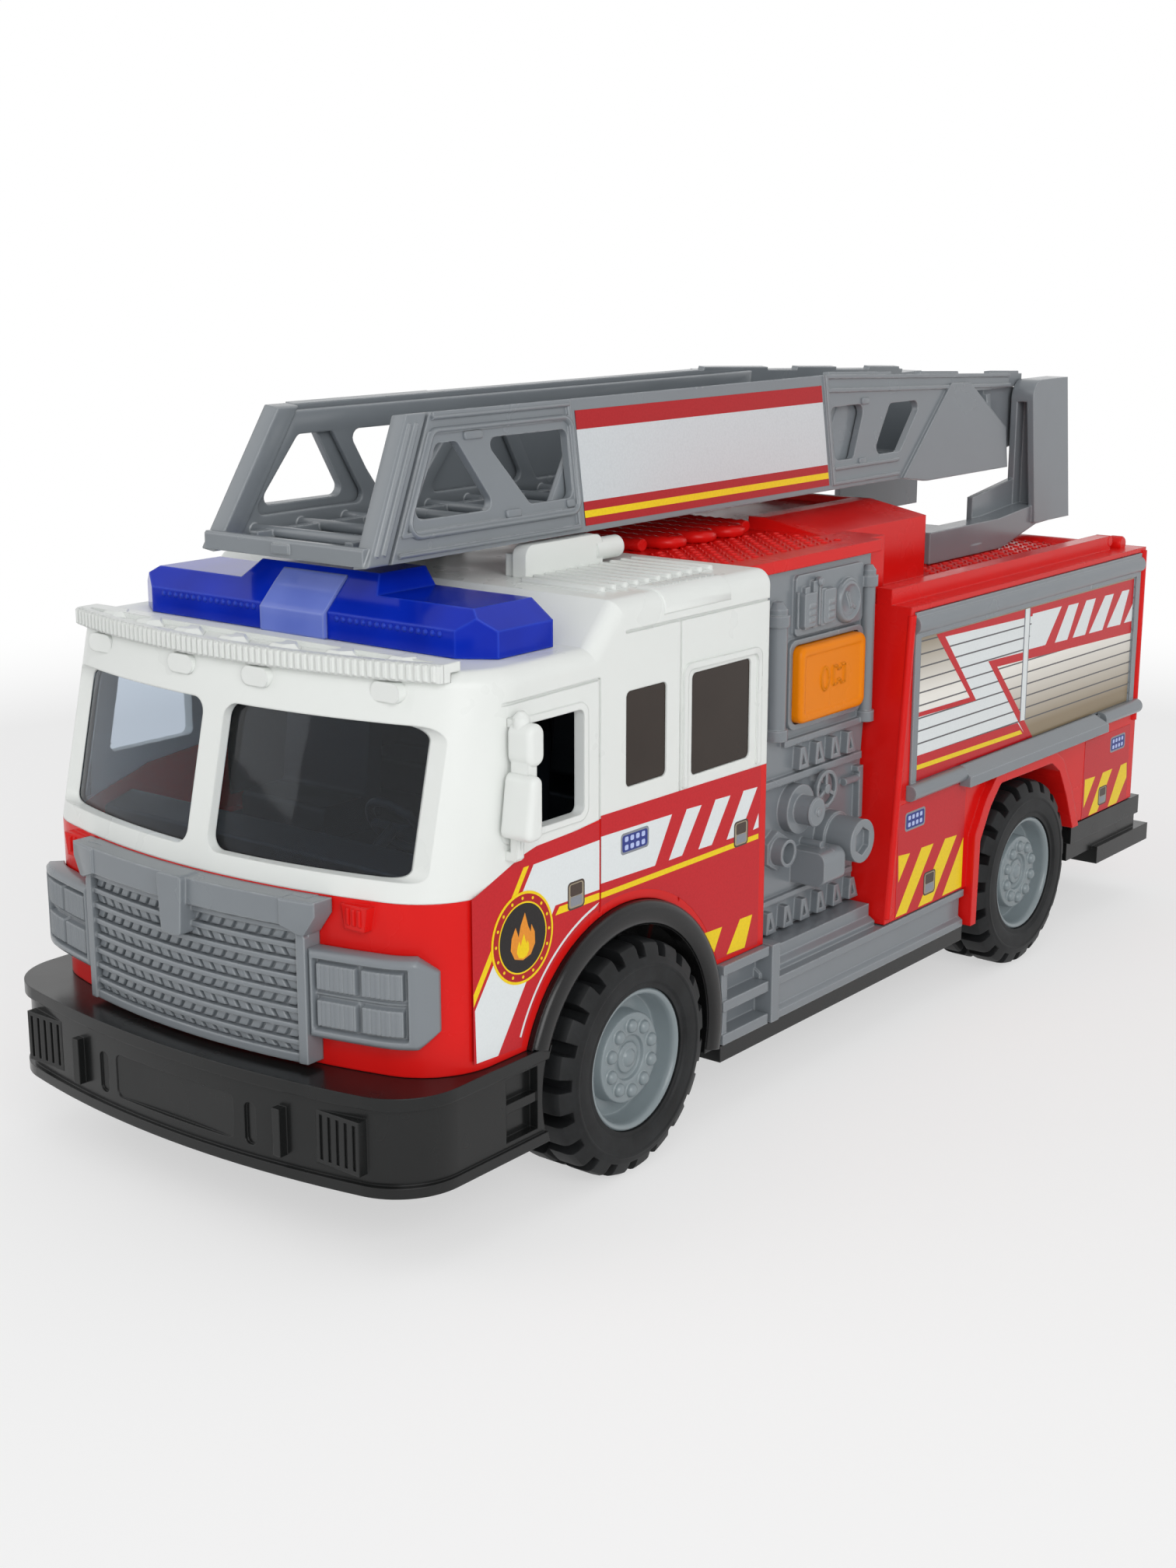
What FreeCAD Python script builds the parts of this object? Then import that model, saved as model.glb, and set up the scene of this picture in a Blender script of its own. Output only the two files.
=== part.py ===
"""Toy fire engine with a turning, raising and extending ladder, in millimetres.

The truck faces -Y, +X is its left side, +Z is up and the wheels stand on z = 0.
Each sub-part is built by its own function and written to parts/NODE.step.
"""
import FreeCAD, Part
import math
import os

V = FreeCAD.Vector

# ---- driving dimensions: overall ------------------------------------------------------
FRONT_OVERHANG = 68.4
WHEELBASE = 160.0
REAR_OVERHANG = 76.6
CAB_HALF_WIDTH = 53.7
BODY_PROUD = 1.4
BUMPER_PROUD = 1.8
TYRE_PROUD = 3.9
TYRE_RADIUS = 23.3
TYRE_WIDTH = 18.0
TYRE_WALL = 9.1
AXLE_RADIUS = 2.0
AXLE_CLEARANCE = 0.08
WHEEL_GAP = 2.9
ARCH_LIP_WIDTH = 4.9
WALL = 2.0
SEAT_GAP = 0.1
SEAM = 0.5
BODY_HALF_WIDTH = CAB_HALF_WIDTH + BODY_PROUD
BUMPER_HALF_WIDTH = CAB_HALF_WIDTH + BUMPER_PROUD
TYRE_OUTER_X = CAB_HALF_WIDTH + TYRE_PROUD
HUB_RADIUS = TYRE_RADIUS - TYRE_WALL

# ---- heights --------------------------------------------------------------------------
AXLE_Z = TYRE_RADIUS
CAB_BOTTOM_Z = AXLE_Z + 10.2
BUMPER_BOTTOM_Z = AXLE_Z - 8.6
CHASSIS_BOTTOM_Z = AXLE_Z - 10.8
BELT_FRONT_Z = CAB_BOTTOM_Z + 31.9
BELT_REAR_Z = BELT_FRONT_Z + 7.0
ROOF_FRONT_Z = BELT_FRONT_Z + 39.2
ROOF_REAR_Z = ROOF_FRONT_Z + 7.8
DECK_Z = ROOF_REAR_Z - 15.0
RAIL_TOP_Z = DECK_Z + 3.6
PUMP_TOP_Z = ROOF_REAR_Z - 0.4
BOX_BOTTOM_Z = CAB_BOTTOM_Z - 7.7
TAIL_BOTTOM_Z = CAB_BOTTOM_Z - 4.3
FRAME_TOP_Z = DECK_Z - 1.2
FRAME_BOTTOM_Z = CAB_BOTTOM_Z + 20.2
SKIRT_TOP_Z = BOX_BOTTOM_Z - 0.3
SKIRT_BOTTOM_Z = AXLE_Z - 7.0

# ---- places along the truck -----------------------------------------------------------
LENGTH = FRONT_OVERHANG + WHEELBASE + REAR_OVERHANG
FRONT_END = -LENGTH / 2
REAR_END = LENGTH / 2
FRONT_AXLE_Y = FRONT_END + FRONT_OVERHANG
REAR_AXLE_Y = FRONT_AXLE_Y + WHEELBASE
CAB_FRONT = FRONT_END + 8.7
CAB_REAR = FRONT_AXLE_Y + 47.8
BOX_FRONT = REAR_AXLE_Y - 57.5
BOX_REAR = REAR_END - 11.6
HOUSING_REAR = REAR_AXLE_Y - 14.7

# ---- cab shape ------------------------------------------------------------------------
CAB_BOW = 9.6
CAB_CORNER = 15.4
CAB_RAKE = 0.2356
SLOPE_FRONT = CAB_REAR - 57.7
SLOPE_REAR = CAB_REAR - 49.7
DOOR_FRONT = FRONT_AXLE_Y - 43.4
DOOR_REAR = FRONT_AXLE_Y - 7.7
REAR_DOOR_SEAM = CAB_REAR - 30.3
BELT_KNEE = DOOR_FRONT + 18.0
WELL_INNER_X = TYRE_OUTER_X - TYRE_WIDTH - 1.6
ARCH_RADIUS = TYRE_RADIUS + WHEEL_GAP
LIP_RADIUS = ARCH_RADIUS + ARCH_LIP_WIDTH
WELL_RADIUS = ARCH_RADIUS + 2.9
CAVITY_FLOOR_Z = AXLE_Z + LIP_RADIUS + 2.2
POST_HALF = 2.7
SCREEN_BOTTOM_Z = BELT_FRONT_Z + 3.6
SCREEN_TOP_Z = BELT_FRONT_Z + 30.1
SCREEN_REAR = DOOR_FRONT + 0.1
GLASS_THICKNESS = 1.2

# ---- bumper, grille and lights ----------------------------------------------------------
BUMPER_BOW = 7.3
BUMPER_CORNER = 13.4
BUMPER_WALL = 3.0
GRILLE_HALF = CAB_HALF_WIDTH - 24.2
GRILLE_PROUD = 3.4
GRILLE_SLATS = 8
LAMP_INNER_X = GRILLE_HALF + 1.0
LAMP_BOTTOM_Z = CAB_BOTTOM_Z + 8.7
LAMP_TOP_Z = CAB_BOTTOM_Z + 23.9
LAMP_PROUD = 3.8
LENS_RECESS = 1.0
LENS_GROOVES = 7

# ---- lightbar and roof fittings -----------------------------------------------------------
BAR_HALF = CAB_HALF_WIDTH - 7.2
BAR_FRONT = CAB_FRONT + 27.7
BAR_DEPTH = 19.6
BAR_HEIGHT = 8.6
REST_THICKNESS = 3.4
REST_GAP = 0.5

# ---- ladder ---------------------------------------------------------------------------
LADDER_BASE_Z = ROOF_REAR_Z + 6.9
LADDER_HEIGHT = 26.6
LADDER_HALF = 22.0
REST_X = LADDER_HALF - 0.4
LADDER_LEAN = 7.13
LADDER_FRONT = FRONT_AXLE_Y - 34.8
LADDER_REAR = REAR_AXLE_Y + 46.0
PANEL = 1.8
INNER_PANEL = 1.5
SLIDE_GAP = 0.5
FLOOR = 0.8
RIB = 0.6
BAYS = 8
END_GAP = 0.6
FRONT_SLANT = 14.6
END_FRAME = 5.6
LADDER_BOTTOM_RAIL = 5.6
LADDER_TOP_RAIL = 6.0
PIVOT_Y = REAR_AXLE_Y + 64.1
PIVOT_Z = LADDER_BASE_Z + 10.0
PIN_RADIUS = 2.0
CHEEK_INNER_X = LADDER_HALF - 2.6
CHEEK_OUTER_X = CHEEK_INNER_X + 8.6
TURNTABLE_Y = REAR_AXLE_Y + 24.1
TURNTABLE_RADIUS = 27.0
SPIGOT_RADIUS = 6.0
TURNTABLE_GAP = 0.3
NAME_FRONT = LADDER_FRONT + 61.5
NAME_REAR = LADDER_REAR - 84.4
TAIL_RAIL_TOP = 22.2


# ---- wheels and chassis details ---------------------------------------------------------
NUT_COUNT = 10
NUT_CIRCLE = 6.6
RIM_RECESS = 0.9
DISC_RADIUS = HUB_RADIUS - 5.0
CAP_DEPTH = 1.0
BATTERY_HALF = 23.0
BATTERY_FRONT = REAR_AXLE_Y - 109.9
BATTERY_LENGTH = 52.0
BATTERY_DEPTH = 2.4

# ---- cab details --------------------------------------------------------------------------
ROOF_ROUND = 3.2
BROW_INNER_X = 9.9
BROW_OUTER_X = CAB_HALF_WIDTH - 16.0
LOUVRE_COUNT = 9
VISOR_TEETH = 40
BEAD_WIDTH = 1.3
BEAD_PROUD = 0.4
VISOR_HALF = CAB_HALF_WIDTH - 5.7
VISOR_REACH = 1.7
BUMPER_REAR = FRONT_AXLE_Y - ARCH_RADIUS + 3.2
FOG_X = BUMPER_HALF_WIDTH - 15.5
FOG_RIBS = 5
TOW_X = FOG_X - 12.5
SLOT_X = TOW_X - 7.5

# ---- pump section and rear body -----------------------------------------------------------
PANEL_X = BODY_HALF_WIDTH - 10.9
PANEL_THICKNESS = 1.6
PANEL_FRONT = CAB_REAR + 0.2
PANEL_REAR = BOX_FRONT - 2.6
PANEL_TOP_Z = PUMP_TOP_Z - 2.6
PANEL_BOTTOM_Z = BOX_BOTTOM_Z + 5.0
PANEL_MID_Y = REAR_AXLE_Y - 78.0
BUTTON_PROUD = 3.2
LOCKER_LEAN = 7.3
HOUSING_HALF = 33.7
DECK_HALF = BODY_HALF_WIDTH - 9.1
RAIL_OUTER_X = DECK_HALF + 4.0
HUMP_RADIUS = 6.0
REAR_DOOR_HALF = 31.0
REAR_DOOR_SLATS = 12
FRAME_FRONT = BOX_FRONT + 1.6
FRAME_REAR = BOX_REAR - 3.2
FRAME_PROUD = 0.5
FRAME_RECESS = 1.4
SHUTTER_SLATS = 12
HOOD_FRONT = REAR_AXLE_Y - 33.0
HOOD_REAR = REAR_AXLE_Y + 41.0
HOOD_HEIGHT = 5.0
HOOD_LIP = 2.4
HOOD_BOTTOM_Z = FRAME_BOTTOM_Z - 1.6
FLARE_WIDTH = 3.2
FLARE_PROUD = 1.9
INNER_LENGTH = 172.0


# ---- helpers --------------------------------------------------------------------------
def box(x0, x1, y0, y1, z0, z1):
    """Box between two values on each axis."""
    return Part.makeBox(x1 - x0, y1 - y0, z1 - z0, V(x0, y0, z0))


def rounded_wire(corners, radius):
    """Closed planar wire through corners, each rounded by the same radius."""
    if radius == 0:
        return Part.makePolygon(corners + [corners[0]])
    edges = []
    starts = []
    ends = []
    count = len(corners)
    for i, corner in enumerate(corners):
        before = (corners[i - 1] - corner).normalize()
        after = (corners[(i + 1) % count] - corner).normalize()
        half = before.getAngle(after) / 2
        middle = (before + after).normalize()
        reach = radius / math.tan(half)
        start = corner + before * reach
        end = corner + after * reach
        top = corner + middle * (radius / math.sin(half) - radius)
        edges.append(Part.Arc(start, top, end).toShape())
        starts.append(start)
        ends.append(end)
    pieces = []
    for i in range(count):
        pieces.append(edges[i])
        gap_end = starts[(i + 1) % count]
        if ends[i].distanceToPoint(gap_end) > 1e-6:
            pieces.append(Part.makeLine(ends[i], gap_end))
    return Part.Wire(pieces)


def prism_x(outline, x0, x1, radius=0):
    """Outline in (y, z) extruded along X."""
    wire = rounded_wire([V(x0, y, z) for y, z in outline], radius)
    return Part.Face(wire).extrude(V(x1 - x0, 0, 0))


def prism_y(outline, y0, y1, radius=0):
    """Outline in (x, z) extruded along Y."""
    wire = rounded_wire([V(x, y0, z) for x, z in outline], radius)
    return Part.Face(wire).extrude(V(0, y1 - y0, 0))


def prism_z(outline, z0, z1, radius=0):
    """Outline in (x, y) extruded along Z."""
    wire = rounded_wire([V(x, y, z0) for x, y in outline], radius)
    return Part.Face(wire).extrude(V(0, 0, z1 - z0))


def rectangle(a0, a1, b0, b1):
    """Corners of a rectangle in any plane."""
    return [(a0, b0), (a1, b0), (a1, b1), (a0, b1)]


def rod_x(radius, x0, x1, y, z):
    """Round bar along X."""
    return Part.makeCylinder(radius, x1 - x0, V(x0, y, z), V(1, 0, 0))


def rod_y(radius, y0, y1, x, z):
    """Round bar along Y."""
    return Part.makeCylinder(radius, y1 - y0, V(x, y0, z), V(0, 1, 0))


def rod_z(radius, z0, z1, x, y):
    """Round bar along Z."""
    return Part.makeCylinder(radius, z1 - z0, V(x, y, z0))


def hexagon_x(radius, x0, x1, y, z):
    """Six-sided nut along X."""
    corners = []
    for i in range(6):
        turn = math.pi * i / 3
        corners.append((y + radius * math.sin(turn), z + radius * math.cos(turn)))
    return prism_x(corners, x0, x1)


def tube_x(outer, inner, x0, x1, y, z):
    """Round tube along X."""
    return rod_x(outer, x0, x1, y, z).cut(rod_x(inner, x0 - 1, x1 + 1, y, z))


def join(shapes):
    """All shapes fused into one, with the seams between flush faces removed."""
    return shapes[0].multiFuse(shapes[1:]).removeSplitter()


def flipped(shape):
    """The same shape on the other side of the truck."""
    return shape.mirror(V(0, 0, 0), V(1, 0, 0))


def pair(shape):
    """A shape and its mirror image as one list."""
    return [shape, flipped(shape)]


def bowed_wire(z, front, rear, half, bow, corner):
    """Plan outline with straight sides, a bowed front and round front corners."""
    bow_radius = (half ** 2 + bow ** 2) / (2 * bow)
    centre_y = front + bow_radius
    corner_x = half - corner
    corner_y = centre_y - math.sqrt((bow_radius - corner) ** 2 - corner_x ** 2)
    reach = bow_radius / (bow_radius - corner)
    touch_x = corner_x * reach
    touch_y = centre_y + (corner_y - centre_y) * reach
    turn = math.atan2(corner_x, centre_y - corner_y)
    middle = (turn + math.pi / 2) / 2
    mid_x = corner_x + corner * math.sin(middle)
    mid_y = corner_y - corner * math.cos(middle)
    return Part.Wire([
        Part.makeLine(V(half, rear, z), V(half, corner_y, z)),
        Part.Arc(V(half, corner_y, z), V(mid_x, mid_y, z), V(touch_x, touch_y, z)).toShape(),
        Part.Arc(V(touch_x, touch_y, z), V(0, front, z), V(-touch_x, touch_y, z)).toShape(),
        Part.Arc(V(-touch_x, touch_y, z), V(-mid_x, mid_y, z), V(-half, corner_y, z)).toShape(),
        Part.makeLine(V(-half, corner_y, z), V(-half, rear, z)),
        Part.makeLine(V(-half, rear, z), V(half, rear, z)),
    ])


def bowed_block(z0, z1, front, rear, half, bow, corner, rake=0.0):
    """Solid with a bowed plan; a rake leans its front back by that much per unit of height."""
    lower = bowed_wire(z0, front, rear, half, bow, corner)
    upper = bowed_wire(z1, front + rake * (z1 - z0), rear, half, bow, corner)
    return Part.makeLoft([lower, upper], True, True)


# ---- wheels ---------------------------------------------------------------------------
def spun_about_x(outline, y, z):
    """Outline in (x, radius) turned about an axle centre."""
    wire = Part.makePolygon([V(x, y, z + r) for x, r in outline + outline[:1]])
    return Part.Face(wire).revolve(V(0, y, z), V(1, 0, 0), 360)


def tyre(y):
    """Tyre with a flat tread, rounded shoulders and a raised side wall bead."""
    inner_x = TYRE_OUTER_X - TYRE_WIDTH
    shoulder = 3.2
    outline = [
        (inner_x, HUB_RADIUS), (inner_x, TYRE_RADIUS - shoulder),
        (inner_x + 0.9, TYRE_RADIUS - 1.2), (inner_x + shoulder, TYRE_RADIUS),
        (TYRE_OUTER_X - shoulder, TYRE_RADIUS), (TYRE_OUTER_X - 0.9, TYRE_RADIUS - 1.2),
        (TYRE_OUTER_X, TYRE_RADIUS - shoulder), (TYRE_OUTER_X, HUB_RADIUS + 2.4),
        (TYRE_OUTER_X - 0.7, HUB_RADIUS + 1.0), (TYRE_OUTER_X - 0.7, HUB_RADIUS),
    ]
    return spun_about_x(outline, y, AXLE_Z)


def hub(y):
    """Dished wheel: rim ring, deep barrel, nut ring and a boss pressed on the axle."""
    face = TYRE_OUTER_X - RIM_RECESS
    inner_x = TYRE_OUTER_X - TYRE_WIDTH + 1.0
    boss_x = WELL_INNER_X + 0.4
    disc = face - 1.5
    groove = face - 5.0
    dish = disc - 1.2
    outline = [
        (boss_x, AXLE_RADIUS), (boss_x, 4.6), (inner_x + 8.0, 4.6), (inner_x + 8.0, HUB_RADIUS - 2.2),
        (inner_x, HUB_RADIUS - 1.4), (inner_x, HUB_RADIUS), (face, HUB_RADIUS),
        (face, HUB_RADIUS - 1.3), (face - 0.9, HUB_RADIUS - 2.1), (groove, HUB_RADIUS - 2.5),
        (groove, DISC_RADIUS), (disc - 0.5, DISC_RADIUS), (disc, DISC_RADIUS - 0.5),
        (disc, 4.5), (dish, 4.0), (dish, AXLE_RADIUS),
    ]
    body = spun_about_x(outline, y, AXLE_Z)
    nuts = []
    seats = []
    for i in range(NUT_COUNT):
        turn = 2 * math.pi * i / NUT_COUNT
        nut_y = y + NUT_CIRCLE * math.sin(turn)
        nut_z = AXLE_Z + NUT_CIRCLE * math.cos(turn)
        seats.append(rod_x(1.3, disc - 0.5, disc + 1, nut_y, nut_z))
        nuts.append(hexagon_x(0.85, disc - 0.6, disc + 0.7, nut_y, nut_z))
    body = body.cut(Part.makeCompound(seats))
    cap = rod_x(3.0, dish - CAP_DEPTH, dish + 0.2, y, AXLE_Z)
    nub = rod_x(1.6, dish, dish + 1.0, y, AXLE_Z)
    return join([body] + nuts + [cap, nub])


def axle(y):
    """Steel axle that ends under the hub caps."""
    end_x = TYRE_OUTER_X - RIM_RECESS - 1.5 - 1.2 - CAP_DEPTH
    return rod_x(AXLE_RADIUS, -end_x, end_x, y, AXLE_Z)


# ---- chassis and bumper -------------------------------------------------------------------
def chassis():
    """Black floor moulding with a spine that carries both axles."""
    spine_x = WELL_INNER_X - 1.0
    floor_top = SKIRT_BOTTOM_Z - 0.3
    cab_front = CAB_FRONT + 5.0
    body_rear = BOX_REAR - 2.0
    front_clear = FRONT_AXLE_Y + LIP_RADIUS
    rear_clear = REAR_AXLE_Y - ARCH_RADIUS
    shapes = [
        box(-spine_x, spine_x, cab_front + 3.0, body_rear, CHASSIS_BOTTOM_Z, TAIL_BOTTOM_Z - 4.0),
        box(-spine_x, spine_x, cab_front + 3.0, CAB_REAR, TAIL_BOTTOM_Z - 4.0, CAB_BOTTOM_Z),
        box(-spine_x, spine_x, CAB_REAR, body_rear, TAIL_BOTTOM_Z - 4.0, BOX_BOTTOM_Z),
        box(-BODY_HALF_WIDTH + 0.3, BODY_HALF_WIDTH - 0.3, front_clear, rear_clear - 1.0,
            CHASSIS_BOTTOM_Z, floor_top),
        box(-PANEL_X + 0.1, PANEL_X - 0.1, front_clear, rear_clear - 1.0, floor_top, BOX_BOTTOM_Z),
    ]
    body = join(shapes)
    cuts = []
    for y in (FRONT_AXLE_Y, REAR_AXLE_Y):
        cuts.append(rod_x(AXLE_RADIUS + AXLE_CLEARANCE, -spine_x - 1, spine_x + 1, y, AXLE_Z))
    screw_rows = (cab_front + 12.0, FRONT_AXLE_Y + 40.0, REAR_AXLE_Y - 36.0, BOX_REAR - 12.0)
    for y in screw_rows:
        for x in (-28.0, 28.0):
            cuts.append(rod_z(3.0, CHASSIS_BOTTOM_Z - 1, CHASSIS_BOTTOM_Z + 5.0, x, y))
    cuts.append(battery_opening(0.0))
    return body.cut(Part.makeCompound(cuts))


def battery_opening(gap):
    """Shallow pocket for the battery cover, taken in all round by gap."""
    front = BATTERY_FRONT + gap
    rear = BATTERY_FRONT + BATTERY_LENGTH - gap
    outline = rectangle(-BATTERY_HALF + gap, BATTERY_HALF - gap, front, rear)
    return prism_z(outline, CHASSIS_BOTTOM_Z, CHASSIS_BOTTOM_Z + BATTERY_DEPTH, 3.0)


def battery_cover():
    """Cover under the chassis with finger ribs and one screw boss."""
    cover = battery_opening(0.2)
    for i in range(5):
        y = BATTERY_FRONT + 8.0 + 3.0 * i
        cover = cover.cut(box(-10, 10, y, y + 1.4, CHASSIS_BOTTOM_Z - 1, CHASSIS_BOTTOM_Z + 0.7))
    screw_y = BATTERY_FRONT + BATTERY_LENGTH - 8.0
    return cover.cut(rod_z(2.6, CHASSIS_BOTTOM_Z - 1, CHASSIS_BOTTOM_Z + 1.4, 0, screw_y))


def front_bumper():
    """Bowed bumper tray with a rolled top lip, lamps, tow eyes and side step pockets."""
    top = CAB_BOTTOM_Z - 0.1
    lip = top - 2.4
    wall_args = (BUMPER_REAR, BUMPER_HALF_WIDTH - 0.7, BUMPER_BOW, BUMPER_CORNER)
    outer = bowed_block(BUMPER_BOTTOM_Z + 2.0, top, FRONT_END + 0.9, *wall_args)
    rim = bowed_block(lip, top, FRONT_END, BUMPER_REAR, BUMPER_HALF_WIDTH, BUMPER_BOW, BUMPER_CORNER)
    foot = bowed_block(BUMPER_BOTTOM_Z, BUMPER_BOTTOM_Z + 2.0, FRONT_END, BUMPER_REAR,
                       BUMPER_HALF_WIDTH, BUMPER_BOW, BUMPER_CORNER)
    tray = join([outer, rim, foot])
    inside = BUMPER_HALF_WIDTH - 0.7 - BUMPER_WALL
    cavity = bowed_block(BUMPER_BOTTOM_Z - 1, lip - 0.4, FRONT_END + 0.9 + BUMPER_WALL,
                         BUMPER_REAR + 1, inside, BUMPER_BOW, BUMPER_CORNER - BUMPER_WALL)
    tray = tray.cut(cavity)
    arch = rod_x(ARCH_RADIUS, -BUMPER_HALF_WIDTH - 1, BUMPER_HALF_WIDTH + 1, FRONT_AXLE_Y, AXLE_Z)
    spine = box(-WELL_INNER_X + 0.5, WELL_INNER_X - 0.5, CAB_FRONT + 7.7, BUMPER_REAR + 1,
                BUMPER_BOTTOM_Z - 1, top + 1)
    tray = tray.cut(arch).cut(spine)
    recess = rectangle(-16, 16, BUMPER_BOTTOM_Z + 4.2, lip - 3.4)
    cuts = [prism_y(recess, FRONT_END - 1, FRONT_END + 1.7, 1.5)]
    added = []
    ribs = []
    z_low = BUMPER_BOTTOM_Z + 4.0
    z_high = lip - 2.2
    for side in (-1, 1):
        fog = side * FOG_X
        front = front_line(fog, FRONT_END + 0.9, BUMPER_HALF_WIDTH, BUMPER_BOW)
        added.append(box(fog - 5.2, fog + 5.2, front - 0.9, front + 2.4, z_low, z_high))
        for i in range(FOG_RIBS):
            x = fog - 4.3 + 8.0 * i / (FOG_RIBS - 1)
            ribs.append(box(x, x + 0.7, front - 1.5, front - 0.4, z_low + 0.8, z_high - 0.8))
        tow = side * TOW_X
        front = front_line(tow, FRONT_END + 0.9, BUMPER_HALF_WIDTH, BUMPER_BOW)
        added.append(box(tow - 0.9, tow + 0.9, front - 1.6, front + 1, z_low, z_high - 1.0))
        slot = rectangle(side * SLOT_X - 1.3, side * SLOT_X + 1.3, z_low, z_high - 2.0)
        cuts.append(prism_y(slot, FRONT_END - 1, FRONT_END + 2.4, 1.2))
    pocket_front = BUMPER_REAR - 13.5
    for side in (-1, 1):
        x0, x1 = sorted((side * (BUMPER_HALF_WIDTH + 1), side * (BUMPER_HALF_WIDTH - 2.6)))
        cuts.append(box(x0, x1, pocket_front, BUMPER_REAR - 4.6, BUMPER_BOTTOM_Z + 3.2, lip - 0.8))
        x0, x1 = sorted((side * (BUMPER_HALF_WIDTH - 1.0), side * (BUMPER_HALF_WIDTH - 3.0)))
        added.append(box(x0, x1, pocket_front - 0.5, BUMPER_REAR - 4.1,
                         BUMPER_BOTTOM_Z + 8.6, BUMPER_BOTTOM_Z + 10.4))
    tray = tray.cut(Part.makeCompound(cuts))
    return join([tray] + added).cut(Part.makeCompound(ribs))


def front_line(x, front, half, bow):
    """Y of a bowed front at a given x."""
    radius = (half ** 2 + bow ** 2) / (2 * bow)
    return front + radius - math.sqrt(radius ** 2 - x ** 2)


def front_arch():
    """Black wheel arch trim with a liner that reaches in over the wheel."""
    lip = tube_x(LIP_RADIUS - SEAT_GAP, ARCH_RADIUS, CAB_HALF_WIDTH - WALL, CAB_HALF_WIDTH + 1.3,
                 FRONT_AXLE_Y, AXLE_Z)
    liner = tube_x(LIP_RADIUS - SEAT_GAP, LIP_RADIUS - 2.0, WELL_INNER_X, CAB_HALF_WIDTH - WALL,
                   FRONT_AXLE_Y, AXLE_Z)
    ring = lip.fuse(liner).removeSplitter()
    below = box(WELL_INNER_X - 1, CAB_HALF_WIDTH + 5, FRONT_AXLE_Y - LIP_RADIUS - 1,
                FRONT_AXLE_Y + LIP_RADIUS + 1, -10, SKIRT_BOTTOM_Z)
    front_foot = box(WELL_INNER_X - 1, CAB_HALF_WIDTH + 5, FRONT_AXLE_Y - LIP_RADIUS - 1,
                     FRONT_AXLE_Y, -10, CAB_BOTTOM_Z)
    return ring.cut(below).cut(front_foot)


# ---- cab ------------------------------------------------------------------------------
def belt_profile(top_z, bottom_z):
    """Side outline of the cab below its colour line, closed at bottom_z."""
    front = CAB_FRONT - 20
    return [
        (front, bottom_z), (front, BELT_FRONT_Z), (DOOR_FRONT, BELT_FRONT_Z),
        (BELT_KNEE, BELT_REAR_Z - 1.6), (DOOR_REAR, top_z), (CAB_REAR + 5, top_z),
        (CAB_REAR + 5, bottom_z),
    ]


def cab_block(inset):
    """Whole cab as a solid, taken in on every side by inset."""
    base_front = CAB_FRONT + inset
    half = CAB_HALF_WIDTH - inset
    corner = CAB_CORNER - inset
    rear = CAB_REAR - inset
    lower = bowed_block(CAB_BOTTOM_Z, BELT_FRONT_Z, base_front, rear, half, CAB_BOW, corner)
    upper = bowed_block(BELT_FRONT_Z, ROOF_REAR_Z + 4, base_front, rear, half, CAB_BOW, corner,
                        CAB_RAKE)
    side = [
        (CAB_FRONT - 5, CAB_BOTTOM_Z - 1), (CAB_FRONT - 5, ROOF_FRONT_Z - inset),
        (SLOPE_FRONT + inset, ROOF_FRONT_Z - inset), (SLOPE_REAR + inset, ROOF_REAR_Z - inset),
        (CAB_REAR + 5, ROOF_REAR_Z - inset), (CAB_REAR + 5, CAB_BOTTOM_Z - 1),
    ]
    whole = lower.fuse(upper).common(prism_x(side, -CAB_HALF_WIDTH - 5, CAB_HALF_WIDTH + 5))
    return whole.removeSplitter()


def rounded_cab():
    """Cab solid with its top side edges rounded."""
    cab = cab_block(0)
    edges = []
    for edge in cab.Edges:
        middle = edge.CenterOfMass
        on_side = abs(abs(middle.x) - CAB_HALF_WIDTH) < 0.01
        if on_side and middle.z > ROOF_FRONT_Z - 0.01:
            edges.append(edge)
    return cab.makeFillet(ROOF_ROUND, edges)


# side windows: front and rear y from the cab's rear edge, bottom and top z from the belt
REAR_WINDOWS = [
    {"front": -47.6, "rear": -34.8, "bottom": 4.4, "top": 22.8},
    {"front": -26.6, "rear": -6.4, "bottom": 2.6, "top": 23.0},
]


def window_outline(window, grow=0.0):
    """Corners of one rear cab window, grown all round."""
    return rectangle(CAB_REAR + window["front"] - grow, CAB_REAR + window["rear"] + grow,
                     BELT_REAR_Z + window["bottom"] - grow, BELT_REAR_Z + window["top"] + grow)


def door_window(grow=0.0):
    """Corners of the open front door window, whose front edge follows the raked post."""
    top = BELT_REAR_Z + 21.9 + grow
    bottom = BELT_REAR_Z + 2.3 - grow
    rear = DOOR_REAR - 5.1 + grow
    front_low = DOOR_FRONT + 8.1 - grow
    front_high = front_low + CAB_RAKE * (top - bottom)
    return [(front_low, bottom), (rear, bottom), (rear, top), (front_high, top)]


def screen_opening(side):
    """Cutter for one half of the wrap-round windscreen."""
    x0, x1 = sorted((side * POST_HALF, side * (CAB_HALF_WIDTH + 6)))
    pane = prism_y(rectangle(x0, x1, SCREEN_BOTTOM_Z, SCREEN_TOP_Z), CAB_FRONT - 6, SCREEN_REAR, 3.0)
    run = CAB_RAKE * (SCREEN_TOP_Z - SCREEN_BOTTOM_Z)
    outline = [(CAB_FRONT - 20, SCREEN_BOTTOM_Z), (SCREEN_REAR - run, SCREEN_BOTTOM_Z),
               (SCREEN_REAR, SCREEN_TOP_Z), (CAB_FRONT - 20, SCREEN_TOP_Z)]
    return pane.common(prism_x(outline, x0, x1, 2.4))


def screen_band(z0, z1, gap):
    """Slab through the windscreen zone, used to trim the glass."""
    return box(-CAB_HALF_WIDTH - 1, CAB_HALF_WIDTH + 1, CAB_FRONT - 6, SCREEN_REAR + gap, z0, z1)


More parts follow.
